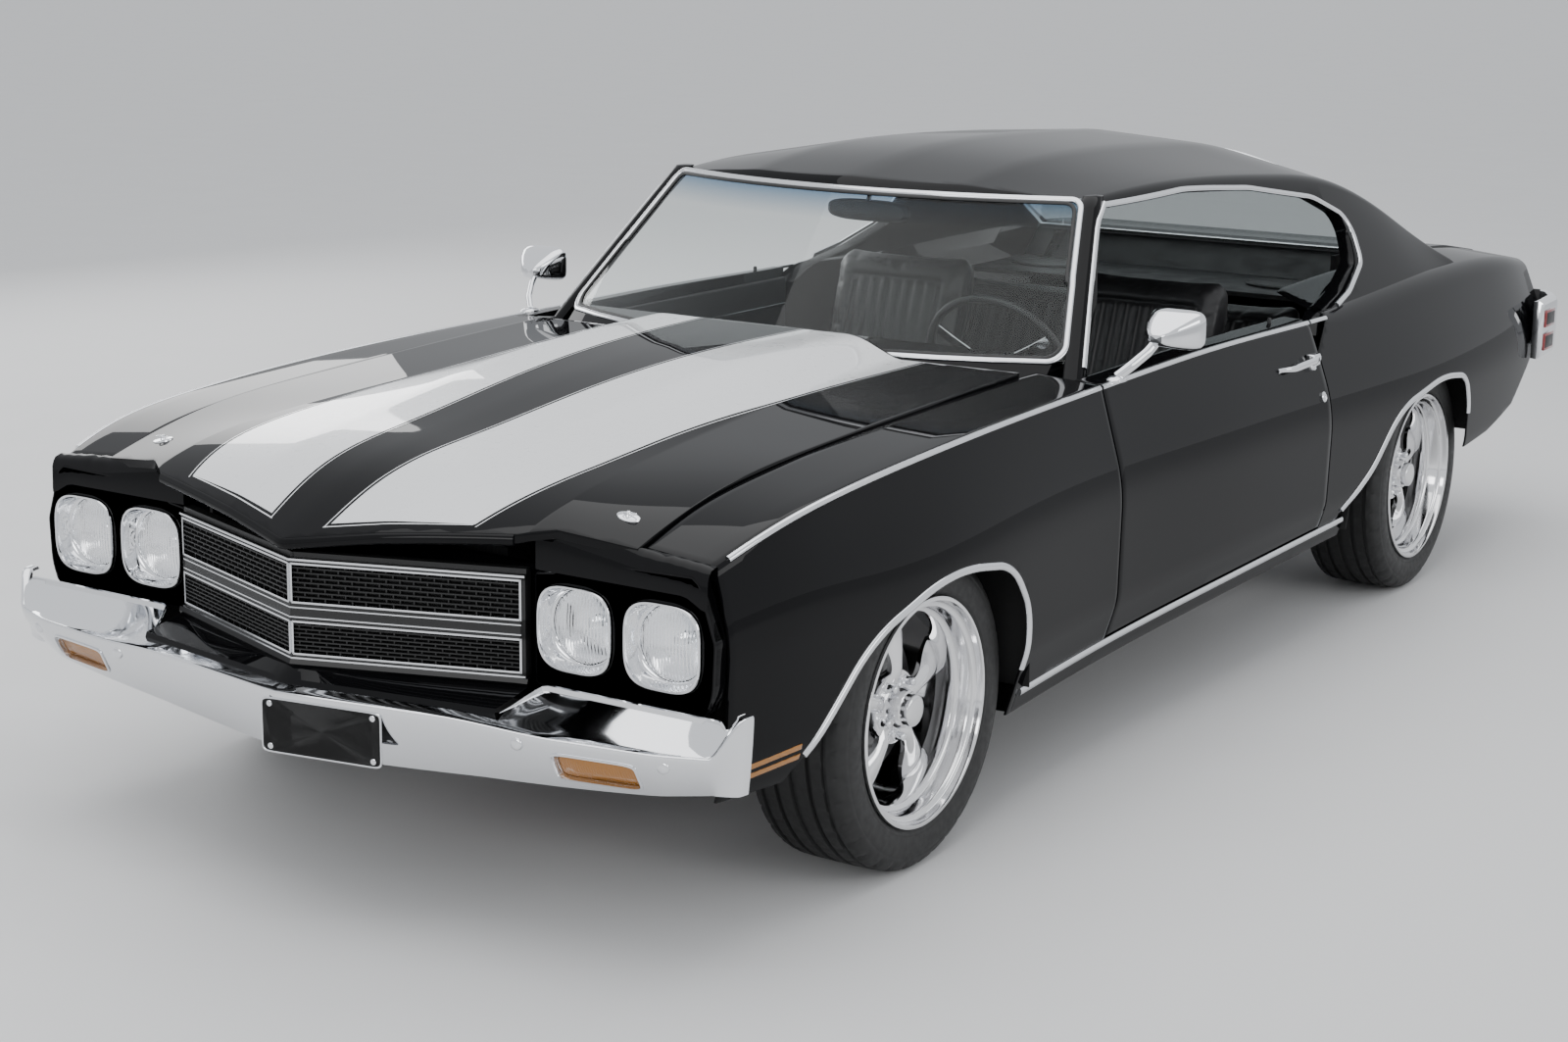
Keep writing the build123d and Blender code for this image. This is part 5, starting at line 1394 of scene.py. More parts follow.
def add_nose():
    """Lamp panels with their bezels and lamps."""
    panel = prism(outline_of(NOSE_OUTLINE, NOSE_RADII), "y", LAMP_FACE_Y, LAMP_FACE_Y + 34)
    for x in (OUTER_LAMP_X, INNER_LAMP_X):
        hole = [(x + u, LAMP_Z + v) for u, v in squircle(84, 81, 3.4)]
        carve(panel, prism(hole, "y", LAMP_FACE_Y - 60, LAMP_FACE_Y + 60))
    finish_piece(panel, paint, 3.5, segments=3)
    panel.name = "nose_face_left"
    twin = mirror_piece(panel, "nose_face_right")
    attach(panel, "root")
    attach(twin, "root")
    bezels, lamps = [], []
    for x, tag in ((OUTER_LAMP_X, "outer"), (INNER_LAMP_X, "inner")):
        for side, name in ((1, "left"), (-1, "right")):
            bezels.append(lamp_bezel(side * x, f"bezel_{tag}_{name}"))
            lamps.append(lamp_glass(side * x, f"lamp_{tag}_{name}"))
    rims = join(bezels, "bezels")
    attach(rims, "root")
    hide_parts("lamp_bezels")
    lights = join(lamps, "sealed_lamps")
    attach(lights, "root")
    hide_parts("headlamps")


add_nose()

# ---------------------------------------------------------------- grille
GRILLE_CENTRE_Y = -2452.0
GRILLE_END = (448.0, -2296.0)
GRILLE_LOW_Z = 514.0
GRILLE_HIGH_Z = 712.0
TIERS = ((524.0, 588.0), (626.0, 702.0))
GRILLE_BARS = 8
GRILLE_POSTS = 16
wing_length = math.hypot(GRILLE_END[0], GRILLE_END[1] - GRILLE_CENTRE_Y)
wing_dir = Vector((GRILLE_END[0] / wing_length, (GRILLE_END[1] - GRILLE_CENTRE_Y) / wing_length, 0))
wing_out = Vector((wing_dir.y, -wing_dir.x, 0))


def wing(u, z, out=0.0):
    """Point on the left wing: u along it from the centre, out towards the front."""
    return Vector((0, GRILLE_CENTRE_Y, z)) + wing_dir * u + wing_out * out


def wing_block(name, u0, u1, z0, z1, out0, out1, finish):
    """Straight bar in the wing's own axes."""
    corners = [wing(u, z, o) for o in (out0, out1) for u, z in ((u0, z0), (u1, z0), (u1, z1), (u0, z1))]
    faces = [(0, 1, 2, 3), (7, 6, 5, 4), (0, 4, 5, 1), (1, 5, 6, 2), (2, 6, 7, 3), (3, 7, 4, 0)]
    return face_out(mesh_piece(name, corners, faces, finish, smooth=False))


def add_grille():
    """Two-tier V grille of fine bars in thin bright frames."""
    dark, bright = [], []
    dark.append(wing_block("back", 0, wing_length, GRILLE_LOW_Z, GRILLE_HIGH_Z, -34, -30, satin_black))
    for low, high in ((GRILLE_LOW_Z, TIERS[0][0]), (TIERS[0][1], TIERS[1][0]), (TIERS[1][1], GRILLE_HIGH_Z)):
        dark.append(wing_block("rail", 0, wing_length, low, high, -30, -2, satin_black))
    dark.append(wing_block("head", 0, wing_length, GRILLE_HIGH_Z, GRILLE_HIGH_Z + 11, -30, -9, satin_black))
    dark.append(wing_block("end", wing_length - 10, wing_length, GRILLE_LOW_Z, GRILLE_HIGH_Z, -30, -2,
                           satin_black))
    for low, high in TIERS:
        step = (high - low) / GRILLE_BARS
        for index in range(1, GRILLE_BARS):
            z = low + step * index
            dark.append(wing_block("bar", 6, wing_length - 10, z - 1.3, z + 1.3, -22, -6, satin_black))
        for index in range(GRILLE_BARS):
            shift = 0.5 if index % 2 else 0.0
            z = low + step * index
            for post in range(GRILLE_POSTS):
                u = 14 + (post + shift) * (wing_length - 30) / GRILLE_POSTS
                dark.append(wing_block("post", u - 1.4, u + 1.4, z + 1, z + step - 1, -22, -9, satin_black))
        for z in (low, high):
            bright.append(wing_block("line", 4, wing_length - 8, z - 1.8, z + 1.8, -6, 0.6, bright_trim))
        bright.append(wing_block("line", wing_length - 11, wing_length - 7, low - 1.8, high + 1.8, -6, 0.6,
                                 bright_trim))
        bright.append(wing_block("line", 2.5, 6, low, high, -6, 0.6, bright_trim))
    for z in (597.0, 616.0):
        bright.append(wing_block("line", 0, wing_length - 8, z - 1.2, z + 1.2, -4, 0.4, bright_trim))
    bright.append(wing_block("line", 0, wing_length, GRILLE_HIGH_Z - 4, GRILLE_HIGH_Z, -6, 1.6, bright_trim))
    bright.append(wing_block("line", 0, wing_length, GRILLE_LOW_Z, GRILLE_LOW_Z + 3.5, -6, 1.6, bright_trim))
    for name, forms in (("grille_bars", dark), ("grille_lines", bright)):
        left = join(forms, name)
        right = mirror_piece(left, f"{name}_right")
        whole = join([left, right], name)
        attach(whole, "root")
        if name == "grille_bars":
            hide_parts("grille")


add_grille()

# ---------------------------------------------------------------- front bumper
# Plan of the face, centre to tip
BUMPER_FACE = ((0, -2505), (455, -2428), (800, -2374), (902, -2334), (940, -2292), (944, -2266))
BUMPER_RADII = (300, 260, 60, 30)
BUMPER_ROWS = 180
SHELF_LIP = (-2302.0, 500.0)
PARK_LAMP_X = 672.0
PARK_LAMP_Z = 393.0
bumper_half = filleted(BUMPER_FACE, BUMPER_RADII, 10, 10)


def ease(value, low, high):
    """Smooth step from 0 to 1 between two values."""
    t = max(0.0, min(1.0, (value - low) / (high - low)))
    return t * t * (3 - 2 * t)


def bumper_face(s):
    """Point and outward direction on the bumper's plan, s from -1 to 1."""
    lengths = [0.0]
    for a, b in zip(bumper_half, bumper_half[1:]):
        lengths.append(lengths[-1] + (b - a).length)
    target = abs(s) * lengths[-1]
    index = max(i for i, length in enumerate(lengths[:-1]) if length <= target)
    a, b = bumper_half[index], bumper_half[index + 1]
    place = a.lerp(b, (target - lengths[index]) / (lengths[index + 1] - lengths[index]))
    along = (b - a).normalized()
    side = -1 if s < 0 else 1
    return Vector((place.x * side, place.y)), Vector((along.y * side, -along.x))


def bumper_heights(x):
    """Bottom, crest and undercut of the bumper at a distance from the centre line."""
    tip = ease(x, 893, 944)
    bottom = 326 + 10 * min(1.0, x / 420) + 36 * (x / 944) ** 3
    crest = 462 - 12 * ease(x, 350, 600) + 72 * tip
    return bottom, crest, 46 - 34 * tip, tip


def bumper_column(s):
    """Section of the bumper: tucked face, rolled crest, ledge and lip."""
    place, out = bumper_face(s)
    x = abs(place.x)
    bottom, crest, undercut, tip = bumper_heights(x)
    column = [(place - out * (undercut + 10), bottom + 5)]
    for u in (0.0, 0.02, 0.16, 0.32, 0.48, 0.64, 0.8, 0.92, 0.98):
        column.append((place - out * (undercut * (1 - u) ** 1.5), bottom + (crest - 3 - bottom) * u))
    column += [(place - out * 0.7, crest - 2), (place - out * 2.6, crest - 0.4), (place - out * 6, crest)]
    outer = Vector((place.x, SHELF_LIP[0]))
    outer = outer.lerp(place - out * 18, tip)
    outer_z = SHELF_LIP[1] * (1 - tip) + (crest - 2) * tip
    step = ease(x, 452, 500)
    target = (place - out * 34).lerp(outer, step)
    target_z = (crest + 9) * (1 - step) + outer_z * step
    start = place - out * 6
    for t in (0.12, 0.35, 0.65, 0.9, 1.0):
        column.append((start.lerp(target, t), crest + (target_z - crest) * t ** 1.2))
    lift = 10 * step * (1 - tip)
    for back, rise in ((1.0, lift), (4.0, lift + 1.5), (7.0, lift - 4.0)):
        column.append((target + Vector((0, back)) * (1 - tip) - out * (back * tip), target_z + rise))
    return [(p.x, p.y, z) for p, z in column]


def bumper_front(x, z):
    """Station of the bumper's face between its middle and its corners."""
    plan_y = -2428 + 54 * (abs(x) - 455) / 345
    bottom, crest, undercut, _ = bumper_heights(abs(x))
    u = max(0.0, min(1.0, (z - bottom) / (crest - 3 - bottom)))
    return plan_y + undercut * (1 - u) ** 1.5


def add_front_bumper():
    """Bright V bumper with a ledge under the lamps, park lamps and bolts."""
    rows = [bumper_column(i / BUMPER_ROWS * 2 - 1) for i in range(BUMPER_ROWS + 1)]
    skin = grid_piece("front_bumper_skin", rows, chrome)
    face_along(skin, (BUMPER_ROWS // 2) * (len(rows[0]) - 1) + 5, FORWARD)
    solid = skin.modifiers.new("skin", "SOLIDIFY")
    solid.thickness = 4.0 * MM
    solid.offset = -1.0
    settle(skin)
    for side in (-1, 1):
        hole = [(side * PARK_LAMP_X + u, PARK_LAMP_Z + v) for u, v in squircle(85, 26, 7, 48)]
        carve(skin, prism(hole, "y", -2600, -2310))
    finish_piece(skin, chrome, 0.0, angle=30)
    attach(skin, "root")
    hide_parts("front_bumper")
    lamps, pockets, bolts = [], [], []
    for side in (-1, 1):
        centre = side * PARK_LAMP_X
        rows = []
        for grow, depth in ((0, 5), (2.5, 0), (2.5, -2.5), (-1, -3), (-3, 2), (-5, 17)):
            rows.append([(centre + u, bumper_front(centre + u, PARK_LAMP_Z + v) + depth, PARK_LAMP_Z + v)
                         for u, v in squircle(86 + grow, 27 + grow, 7, 48)])
        pockets.append(face_out(grid_piece("pocket", rows, chrome, closed_columns=True)))
        rows = []
        for scale, depth in ((1.0, 17), (0.97, 13), (0.5, 10), (0.02, 9.5)):
            rows.append([(centre + u * scale, bumper_front(centre + u * scale,
                                                           PARK_LAMP_Z + v * scale) + depth,
                          PARK_LAMP_Z + v * scale) for u, v in squircle(81.5, 22.5, 7, 48)])
        lamps.append(solid_piece("lamp", rows, amber))
        for x, z in ((520, 430), (812, 426)):
            y = bumper_front(x, z) + (6 if x > 800 else 0)
            section = ((-3, 13), (1.5, 13), (3.5, 11.5), (4.6, 8), (5, 0.3))
            rows = [[(side * x + r * math.cos(a), y - o, z + r * math.sin(a)) for a in
                     angles(20)] for o, r in section]
            bolts.append(solid_piece("bolt", rows, chrome))
    for name, forms, node in (("park_lens", lamps, "park_lamps"), ("park_pocket", pockets, None),
                              ("bumper_bolts", bolts, None)):
        whole = finish_piece(join(forms, name), None, 0.0, angle=CREASE)
        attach(whole, "root")
        if node:
            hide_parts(node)


def plate_point(u, z, out):
    """Point on the blank plate's own plane, which lies along the left half of the bumper."""
    run = Vector((455.0, 77.0)).normalized()
    place = Vector((0.0, -2505.5)) + run * u + Vector((run.y, -run.x)) * out
    return (place.x, place.y, z)


def add_plate():
    """Blank plate with a thin bright border and four bolts."""
    loops = []
    for inset, out in ((0, -2.5), (0, 0.2), (1, 0.8), (2.4, 0.8), (3.0, 0.2)):
        loops.append([plate_point(106 + u, 394 + v, out) for u,
                      v in squircle(134 - inset, 55 - inset, 16, 64)])
    rim = face_out(grid_piece("rim", loops[:5], bright_trim, closed_columns=True))
    panel = grid_piece("panel", [[plate_point(106 + u * k, 394 + v * k, 0.2) for u,
                                  v in squircle(131, 52, 16, 64)]
                                 for k in (1.0, 0.5, 0.01)], satin_black, closed_columns=True, capped=True)
    pieces = [rim, face_out(panel)]
    for u, z in ((-8, 437), (222, 437), (-8, 352), (222, 352)):
        rows = [[plate_point(u + r * math.cos(a), z + r * math.sin(a), o) for a in
                 angles(16)] for o, r in ((0, 6), (1.6, 6), (2.6, 4), (2.8, 0.2))]
        pieces.append(solid_piece("bolt", rows, chrome))
    plate = finish_piece(join(pieces, "front_plate"), None, 0.0, angle=CREASE)
    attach(plate, "root")


def add_front_panels():
    """Black valance under the grille and the crown over the lamps."""
    rows = []
    for x in span(-456, 456, 24):
        grille_y = GRILLE_CENTRE_Y + (GRILLE_END[1] - GRILLE_CENTRE_Y) * min(abs(x), 448) / 448
        bumper_y = -2505 + 77 * abs(x) / 455 + 30
        rows.append([(x, grille_y + 8, 516), (x, grille_y - 3, 514), (x, grille_y - 6, 505),
                     (x, grille_y - 2, 498),
                     (x, bumper_y + 4, 480), (x, bumper_y, 470), (x, bumper_y + 4, 460)])
    valance = grid_piece("front_valance", rows, paint)
    face_along(valance, 8, FORWARD)
    finish_piece(valance, paint, 0.0, angle=30)
    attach(valance, "root")
    for side, name in ((1, "left"), (-1, "right")):
        rows = []
        for x in span(458, 848, 15):
            if x < HOOD_EDGE_X + 4:
                top, back_y = hood_z(x, -2256) - 1.0, -2254.0
            else:
                line = side_profile(FENDER_FRONT_Y)
                top = max(z for px, z in line if abs(px - x) < 30)
                back_y = -2246.0
            front_y = LAMP_FACE_Y - 0.4
            edge = ease(x, 790, 850)
            low = 722 - 24 * edge
            rows.append([(side * x, front_y, low), (side * x, front_y - 0.6, low + 8),
                         (side * x, front_y + 1, top - 24), (side * x, front_y + 5, top - 13),
                         (side * x, front_y + 11, top - 5), (side * x, back_y - 4, top - 0.6),
                         (side * x, back_y, top), (side * x, back_y + 3,
                                                   top - 3), (side * x, back_y + 3, top - 30)])
        crown = grid_piece(f"lamp_crown_{name}", rows, paint)
        face_along(crown, 3, FORWARD)
        finish_piece(crown, paint, 0.0, angle=50)
        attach(crown, "root")


def add_hood_lip():
    """Rolled front edge of the hood's nose."""
    rows = []
    for x in span(-455, 455, 14):
        y = front_edge(x)
        z = hood_z(x, y)
        out = Vector((0.32 * (1 if x > 0 else -1) * min(1.0, abs(x) / 30), -1.0)).normalized()
        rows.append([(x + out.x * o, y + out.y * o, z + v) for o, v in
                     ((-8, -1.5), (-1, -0.2), (3, -1.6), (6, -5), (7.5, -11), (7, -17), (4, -21.5), (-1, -23),
                      (-9, -23),
                      (-9, -12))])
    lip = solid_piece("hood_lip", rows, paint)
    finish_piece(lip, paint, 0.0, angle=CREASE)
    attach(lip, "hood")


add_front_bumper()
add_plate()
add_front_panels()
add_hood_lip()

# ---------------------------------------------------------------- pillars, mirrors and handles


def pillar_edge(z):
    """Edge of the windshield opening at a height, as a point in plan."""
    (foot_x, foot_z), (head_x, head_z) = SCREEN_CORNERS[1], SCREEN_CORNERS[2]
    x = foot_x + (head_x - foot_x) * (z - foot_z) / (head_z - foot_z)
    return Vector((x, screen_y(x, z)))


PILLAR_SECTION = ((-3, -1), (12, -4), (26, 0), (35, 9), (39, 22), (37, 40), (28, 50), (8, 50), (-4, 42),
                  (-7, 20))


def add_pillars():
    """Painted windshield pillars with their bright outer strips."""
    rows = []
    for z in span(878, 1262, 24):
        edge = pillar_edge(z)
        width = 1.0 - 0.12 * (z - 878) / 384
        rows.append([(edge.x + u * width, edge.y + v, z) for u, v in PILLAR_SECTION])
    pillar = solid_piece("pillar", rows, paint)
    finish_piece(pillar, paint, 0.0, angle=50)
    add_pair(pillar, "pillar", "root", None)
    points = []
    for z in span(905, 1246, 18):
        edge = pillar_edge(z)
        width = 1.0 - 0.12 * (z - 878) / 384
        points.append((edge.x + 38 * width, edge.y + 22 + 26 * ease(z, 1200, 1250), z))
    strip = sweep_piece("pillar_strip", points, (0.9, -0.3, 0.3), rounded(7.0, 5.0), bright_trim)
    finish_piece(strip, bright_trim, 0.0, angle=38)
    add_pair(strip, "pillar_strip", "root", None)


MIRROR_HEAD = Vector((922.0, -520.0, 995.0))
mirror_glass = material("mirror_glass", (0.82, 0.84, 0.86), rough=0.015, metal=1.0)
vary_rough(mirror_glass, 8.0, 0.01, 0.03)


def add_door_mirrors():
    """Bright door mirrors: tapered head, glass and curved arm."""
    rows = []
    for y, half_x, half_z, shift in ((31, 61, 39, 0), (33, 64, 42, 0), (31, 67, 45, 0), (20, 68, 46, 0),
                                     (0, 62, 41, -2),
                                     (-24, 50, 32, -6), (-44, 36, 23,
                                                         -10), (-57, 24, 15, -13), (-61, 14, 9, -14)):
        rows.append([(MIRROR_HEAD.x + shift + u, MIRROR_HEAD.y + y, MIRROR_HEAD.z + shift + v)
                     for u, v in squircle(half_x, half_z, 4.5, 56)])
    head = grid_piece("head", rows, chrome, closed_columns=True)
    cap = grid_piece("cap", [rows[-1], [(MIRROR_HEAD.x - 14, MIRROR_HEAD.y - 62, MIRROR_HEAD.z - 14)] * 56],
                     chrome,
                     closed_columns=True)
    glass_rows = [[(MIRROR_HEAD.x + u * k, MIRROR_HEAD.y + 29.5, MIRROR_HEAD.z + v * k)
                   for u, v in squircle(62, 40, 4.5, 56)] for k in (1.0, 0.5, 0.01)]
    silver = grid_piece("glass", glass_rows, mirror_glass, closed_columns=True)
    path = filleted([(903, -556, 978), (893, -590, 950), (872, -628, 922), (848, -652, 897)], [40, 40], 6, 8)
    arm = sweep_piece("arm", path, (0.8, -0.6, 0.2), [(12 * math.cos(a), 8 * math.sin(a)) for a in
                      angles(16)], chrome)
    foot = solid_piece("foot", [[(848 + u * k, -652 + v * k, z) for u, v in squircle(20, 30, 2.4, 32)]
                                        for k, z in ((1.0, 888), (1.0, 893), (0.86, 897), (0.5, 900),
                                                     (0.05, 901))],
                               chrome)
    mirror_piece_whole = join([face_out(head), cap, silver, face_out(arm), foot], "door_mirror")
    finish_piece(mirror_piece_whole, None, 0.0, angle=38)
    add_pair(mirror_piece_whole, "door_mirror", "door_SIDE", ("mirror_SIDE",))


def add_handles():
    """Bright pull handles with push buttons and round key locks."""
    rows = []
    for y in span(205, 440, 8):
        t = (y - 205) / 235
        x = side_point(y, 793).x
        out = 24 * ease(t, 0.0, 0.28) * (1 - 0.35 * ease(t, 0.8, 1.0)) + 4
        half = 6 + 4 * ease(t, 0.05, 0.4)
        rows.append([(x + out - 3 + 5 * math.cos(a), y, 794 + 5 * t + half * math.sin(a))
                     for a in angles(16)])
    grip = solid_piece("grip", rows, chrome)
    pieces = [grip]
    for y0, y1, low, high, depth in ((395, 440, 780, 812, 21), (205, 222, 787, 800, 6)):
        x = side_point((y0 + y1) / 2, 794).x
        base = brick((x - 4, y0, low), (x + depth, y1, high))
        pieces.append(finish_piece(base, chrome, 4.0, segments=3))
    for y, z, r, depth in ((404, 777, 10, 16), (441, 697, 14, 7)):
        spot, out = side_point(y, z), side_normal(y, z)
        side = Vector((0, 1, 0))
        up = out.cross(side).normalized()
        loops = [[spot + out * o + side * (r * k * math.cos(a)) + up * (r * k * math.sin(a)) for a in
                  angles(28)] for k, o in
                 ((1, -2), (1, depth - 3), (0.88, depth - 1), (0.62, depth), (0.55, depth - 2), (0.04, depth - 2))]
        pieces.append(solid_piece("round", loops, chrome))
    handle = join(pieces, "handle")
    handle = finish_piece(handle, None, 0.0, angle=38)
    add_pair(handle, "door_handle", "door_SIDE", ("handle_SIDE",))


def add_side_markers():
    """Slotted side marker lamps in the front fenders."""
    pieces = []
    for low, high in ((360, 371), (380, 391)):
        rows = []
        for lift, inset in ((-3, 0), (1.2, 0), (2.4, 1.6), (2.8, 4)):
            loop = []
            for y, z in ((-2206 + inset, low + inset * 0.5), (-2040 - inset, low + 12 + inset * 0.5),
                         (-2040 - inset, high + 12 - inset * 0.5), (-2206 + inset, high - inset * 0.5)):
                p, out = side_point(y, z), side_normal(y, z)
                loop.append(p + out * lift)
            rows.append([a.lerp(b, t / 6) for a, b in zip(loop, loop[1:] + loop[:1]) for t in range(6)])
        pieces.append(solid_piece("slot", rows, amber))
    marker = finish_piece(join(pieces, "marker"), amber, 0.0, angle=CREASE)
    add_pair(marker, "side_marker", "root", None)


add_pillars()
add_door_mirrors()
add_handles()
add_side_markers()

# ---------------------------------------------------------------- interior
vinyl = material("seat_vinyl", (0.014, 0.014, 0.015), rough=0.42)
vary_rough(vinyl, 20.0, 0.34, 0.5)
bump(vinyl, noise(vinyl, 420.0, 3.0), 0.35, 0.0006)
dash_vinyl = material("dash_vinyl", (0.016, 0.016, 0.017), rough=0.5)
vary_rough(dash_vinyl, 14.0, 0.42, 0.58)
bump(dash_vinyl, noise(dash_vinyl, 520.0, 3.0), 0.3, 0.0005)
carpet = material("carpet", (0.012, 0.012, 0.013), rough=0.96, sheen=0.3)
vary_colour(carpet, 160.0, (0.008, 0.008, 0.009), (0.022, 0.022, 0.024))
bump(carpet, noise(carpet, 700.0, 2.0), 0.8, 0.002)
headliner = material("headliner", (0.05, 0.05, 0.052), rough=0.9)
bump(headliner, noise(headliner, 600.0, 2.0), 0.4, 0.0008)
gauge_black = material("gauge_face", (0.01, 0.01, 0.011), rough=0.25, coat=0.6)
vary_rough(gauge_black, 30.0, 0.2, 0.32)
dial_white = material("dial_mark", (0.75, 0.75, 0.72), rough=0.5)
vary_rough(dial_white, 40.0, 0.42, 0.58)
VOXEL = 7.5
SIM_FRAMES = 20
SEAT_X = 390.0
SEAT_HALF = 226.0
CUSHION_LINE = ((-166, 372), (-166, 470), (-60, 492), (180, 482), (296, 500), (306, 420), (296, 372))
BACK_LINE = ((318, 478), (342, 572), (478, 958), (512, 972), (538, 958), (540, 880), (394, 462), (352, 440))
BENCH_HALF = 574.0
BENCH_LINE = ((616, 408), (616, 468), (650, 492), (930, 534), (962, 516), (950, 474), (880, 408))
BENCH_BACK_LINE = ((980, 562), (1096, 812), (1122, 826), (1150, 812), (1062, 532), (1020, 520))


def pad_form(line, radii, half, soft, x0):
    """Closed pad from its side outline, drawn in towards both ends."""
    loop = filleted(line, radii, 4, 6, closed=True)
    middle = sum(loop, Vector((0.0, 0.0))) / len(loop)
    rows = []
    ends = [math.pi / 2 * k / 5 for k in range(6)]
    stations = [(-half + soft * (1 - math.sin(a)), soft * (1 - math.cos(a))) for a in reversed(ends)]
    inner = [(-half + soft + (half - soft) * 2 * k / 16, 0.0) for k in range(1, 16)]
    stations = stations + inner + [(-x, d) for x, d in reversed(stations)]
    for x, draw in stations:
        row = []
        for p in loop:
            inward = middle - p
            q = p + inward.normalized() * min(draw, inward.length * 0.9)
            row.append((x0 + x, q.x, q.y))
        rows.append(row)
    return solid_piece("pad", rows, None)


def inflate(piece, cap):
    """Remesh and puff a closed pad, each point held within cap of where it started."""
    remesh = piece.modifiers.new("remesh", "REMESH")
    remesh.mode = "VOXEL"
    remesh.voxel_size = VOXEL * MM
    settle(piece)
    start = [v.co.copy() for v in piece.data.vertices]
    cloth = piece.modifiers.new("cloth", "CLOTH")
    cloth.settings.quality = 4
    cloth.settings.use_pressure = True
    cloth.settings.uniform_pressure_force = 4.0
    cloth.settings.effector_weights.gravity = 0.0
    cloth.collision_settings.use_collision = False
    cloth.point_cache.frame_start = 1
    cloth.point_cache.frame_end = SIM_FRAMES
    for frame in range(1, SIM_FRAMES + 1):
        bpy.context.scene.frame_set(frame)
    settle(piece)
    bpy.context.scene.frame_set(1)
    for vertex, was in zip(piece.data.vertices, start):
        move = vertex.co - was
        if move.length > cap * MM:
            vertex.co = was + move.normalized() * cap * MM
    return piece


def sew(piece, lines, facing, depth, width):
    """Stitched channels: lines is a function giving the distance to the nearest seam in mm."""
    mesh = piece.data
    moves = []
    for vertex in mesh.vertices:
        share = max(0.0, vertex.normal.dot(facing)) ** 0.5
        near = lines(vertex.co.x / MM, vertex.co.y / MM, vertex.co.z / MM)
        moves.append(vertex.normal * (-depth * MM * share * math.exp(-(near / width) ** 2)))
    for vertex, move in zip(mesh.vertices, moves):
        vertex.co += move
    return piece


def pleats(x0, half, pitch, along, low, high):
    """Seam pattern: pleats inside a bordered panel; along picks the running coordinate."""
    def distance(x, y, z):
        run = y if along == "y" else z
        u = abs(x - x0)
        border = abs(u - half) if low < run < high else 99.0
        ends = min(abs(run - low), abs(run - high)) if u < half else 99.0
        inside = u < half and low < run < high
        pleat = abs((u / pitch) % 1.0 - 0.5) * pitch if inside else 99.0
        return min(border, ends, pleat)
    return distance


def add_seats():
    """Pleated bucket seats and rear bench."""
    up = Vector((0.0, -0.1, 1.0)).normalized()
    front = Vector((0.0, -0.94, 0.34)).normalized()
    cushion = inflate(pad_form(CUSHION_LINE, [22, 30, 90, 90, 26, 40, 20], SEAT_HALF, 34, SEAT_X), 16)
    sew(cushion, pleats(SEAT_X, 150, 37.5, "y", -120, 250), up, 9, 7)
    back = inflate(pad_form(BACK_LINE, [24, 60, 20, 16, 20, 60, 40, 16], SEAT_HALF - 6, 34, SEAT_X), 16)
    sew(back, pleats(SEAT_X, 146, 36.5, "z", 560, 900), front, 9, 7)
    base = finish_piece(brick((SEAT_X - 215, -150, 284), (SEAT_X + 215, 290, 366)), dash_vinyl, 14.0,
                        segments=3)
    pads = ((cushion, "seat_cushion", None), (back, "seat_back", "seat_SIDE"), (base, "seat_base", None))
    for piece, name, node in pads:
        if piece is not base:
            finish_piece(piece, vinyl, 0.0, angle=80)
        for form, side in ((piece, "left"), (mirror_piece(piece, f"{name}_right"), "right")):
            form.name = f"{name}_{side}"
            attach(form, "root")
            if node:
                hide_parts(f"seat_{side}")
    bench = inflate(pad_form(BENCH_LINE, [16, 22, 60, 20, 14, 30, 16], BENCH_HALF, 30, 0.0), 14)
    sew(bench, pleats(0.0, 500, 50, "y", 660, 900), up, 9, 8)
    rest = inflate(pad_form(BENCH_BACK_LINE, [16, 16, 12, 16, 30, 14], BENCH_HALF, 30, 0.0), 14)
    sew(rest, pleats(0.0, 500, 50, "z", 590, 780), front, 9, 8)
    for piece, name in ((bench, "bench_cushion"), (rest, "bench_back")):
        finish_piece(piece, vinyl, 0.0, angle=80)
        piece.name = name
        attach(piece, "root")
    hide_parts("rear_seat")
    skirts = [brick((150, 606, 284), (580, 622, 412)), brick((-580, 606, 284), (-150, 622, 412))]
    skirt = finish_piece(join([finish_piece(s, dash_vinyl, 3.0) for s in skirts], "bench_skirt"), None, 0.0)
    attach(skirt, "root")


def dial(x, y, z, radius):
    """Round gauge facing the driver: bright rim, black face, marks and a needle."""
    pieces = []
    rows = []
    for o, r in ((-2, radius + 5), (4, radius + 5), (7, radius + 2), (6, radius), (1, radius - 1)):
        rows.append([(x + r * math.cos(a), y + o, z + r * math.sin(a)) for a in
                     angles(40)])
    pieces.append(face_out(grid_piece("rim", rows, bright_trim, closed_columns=True)))
    face = [[(x + radius * k * math.cos(a), y + 1.0, z + radius * k * math.sin(a)) for a in
             angles(40)] for k in (1.0, 0.5, 0.02)]
    pieces.append(solid_piece("face", face, gauge_black))
    for k in range(11):
        a = math.radians(225 - 27 * k)
        radial = Vector((math.cos(a), 0, math.sin(a)))
        across = Vector((-math.sin(a), 0, math.cos(a)))
        points = [Vector((x, y + 2.0, z)) + radial * r + across * s for r, s in
                  ((radius * 0.78, -0.9), (radius * 0.94, -0.9), (radius * 0.94, 0.9), (radius * 0.78, 0.9))]
        pieces.append(mesh_piece("mark", points, [(0, 1, 2, 3)], dial_white))
    needle = [(x - 1.4, y + 3, z), (x - radius * 0.5, y + 3, z + radius * 0.55), (x + 1.4, y + 3, z)]
    pieces.append(mesh_piece("needle", needle, [(0, 1, 2)], red_lens))
    return pieces


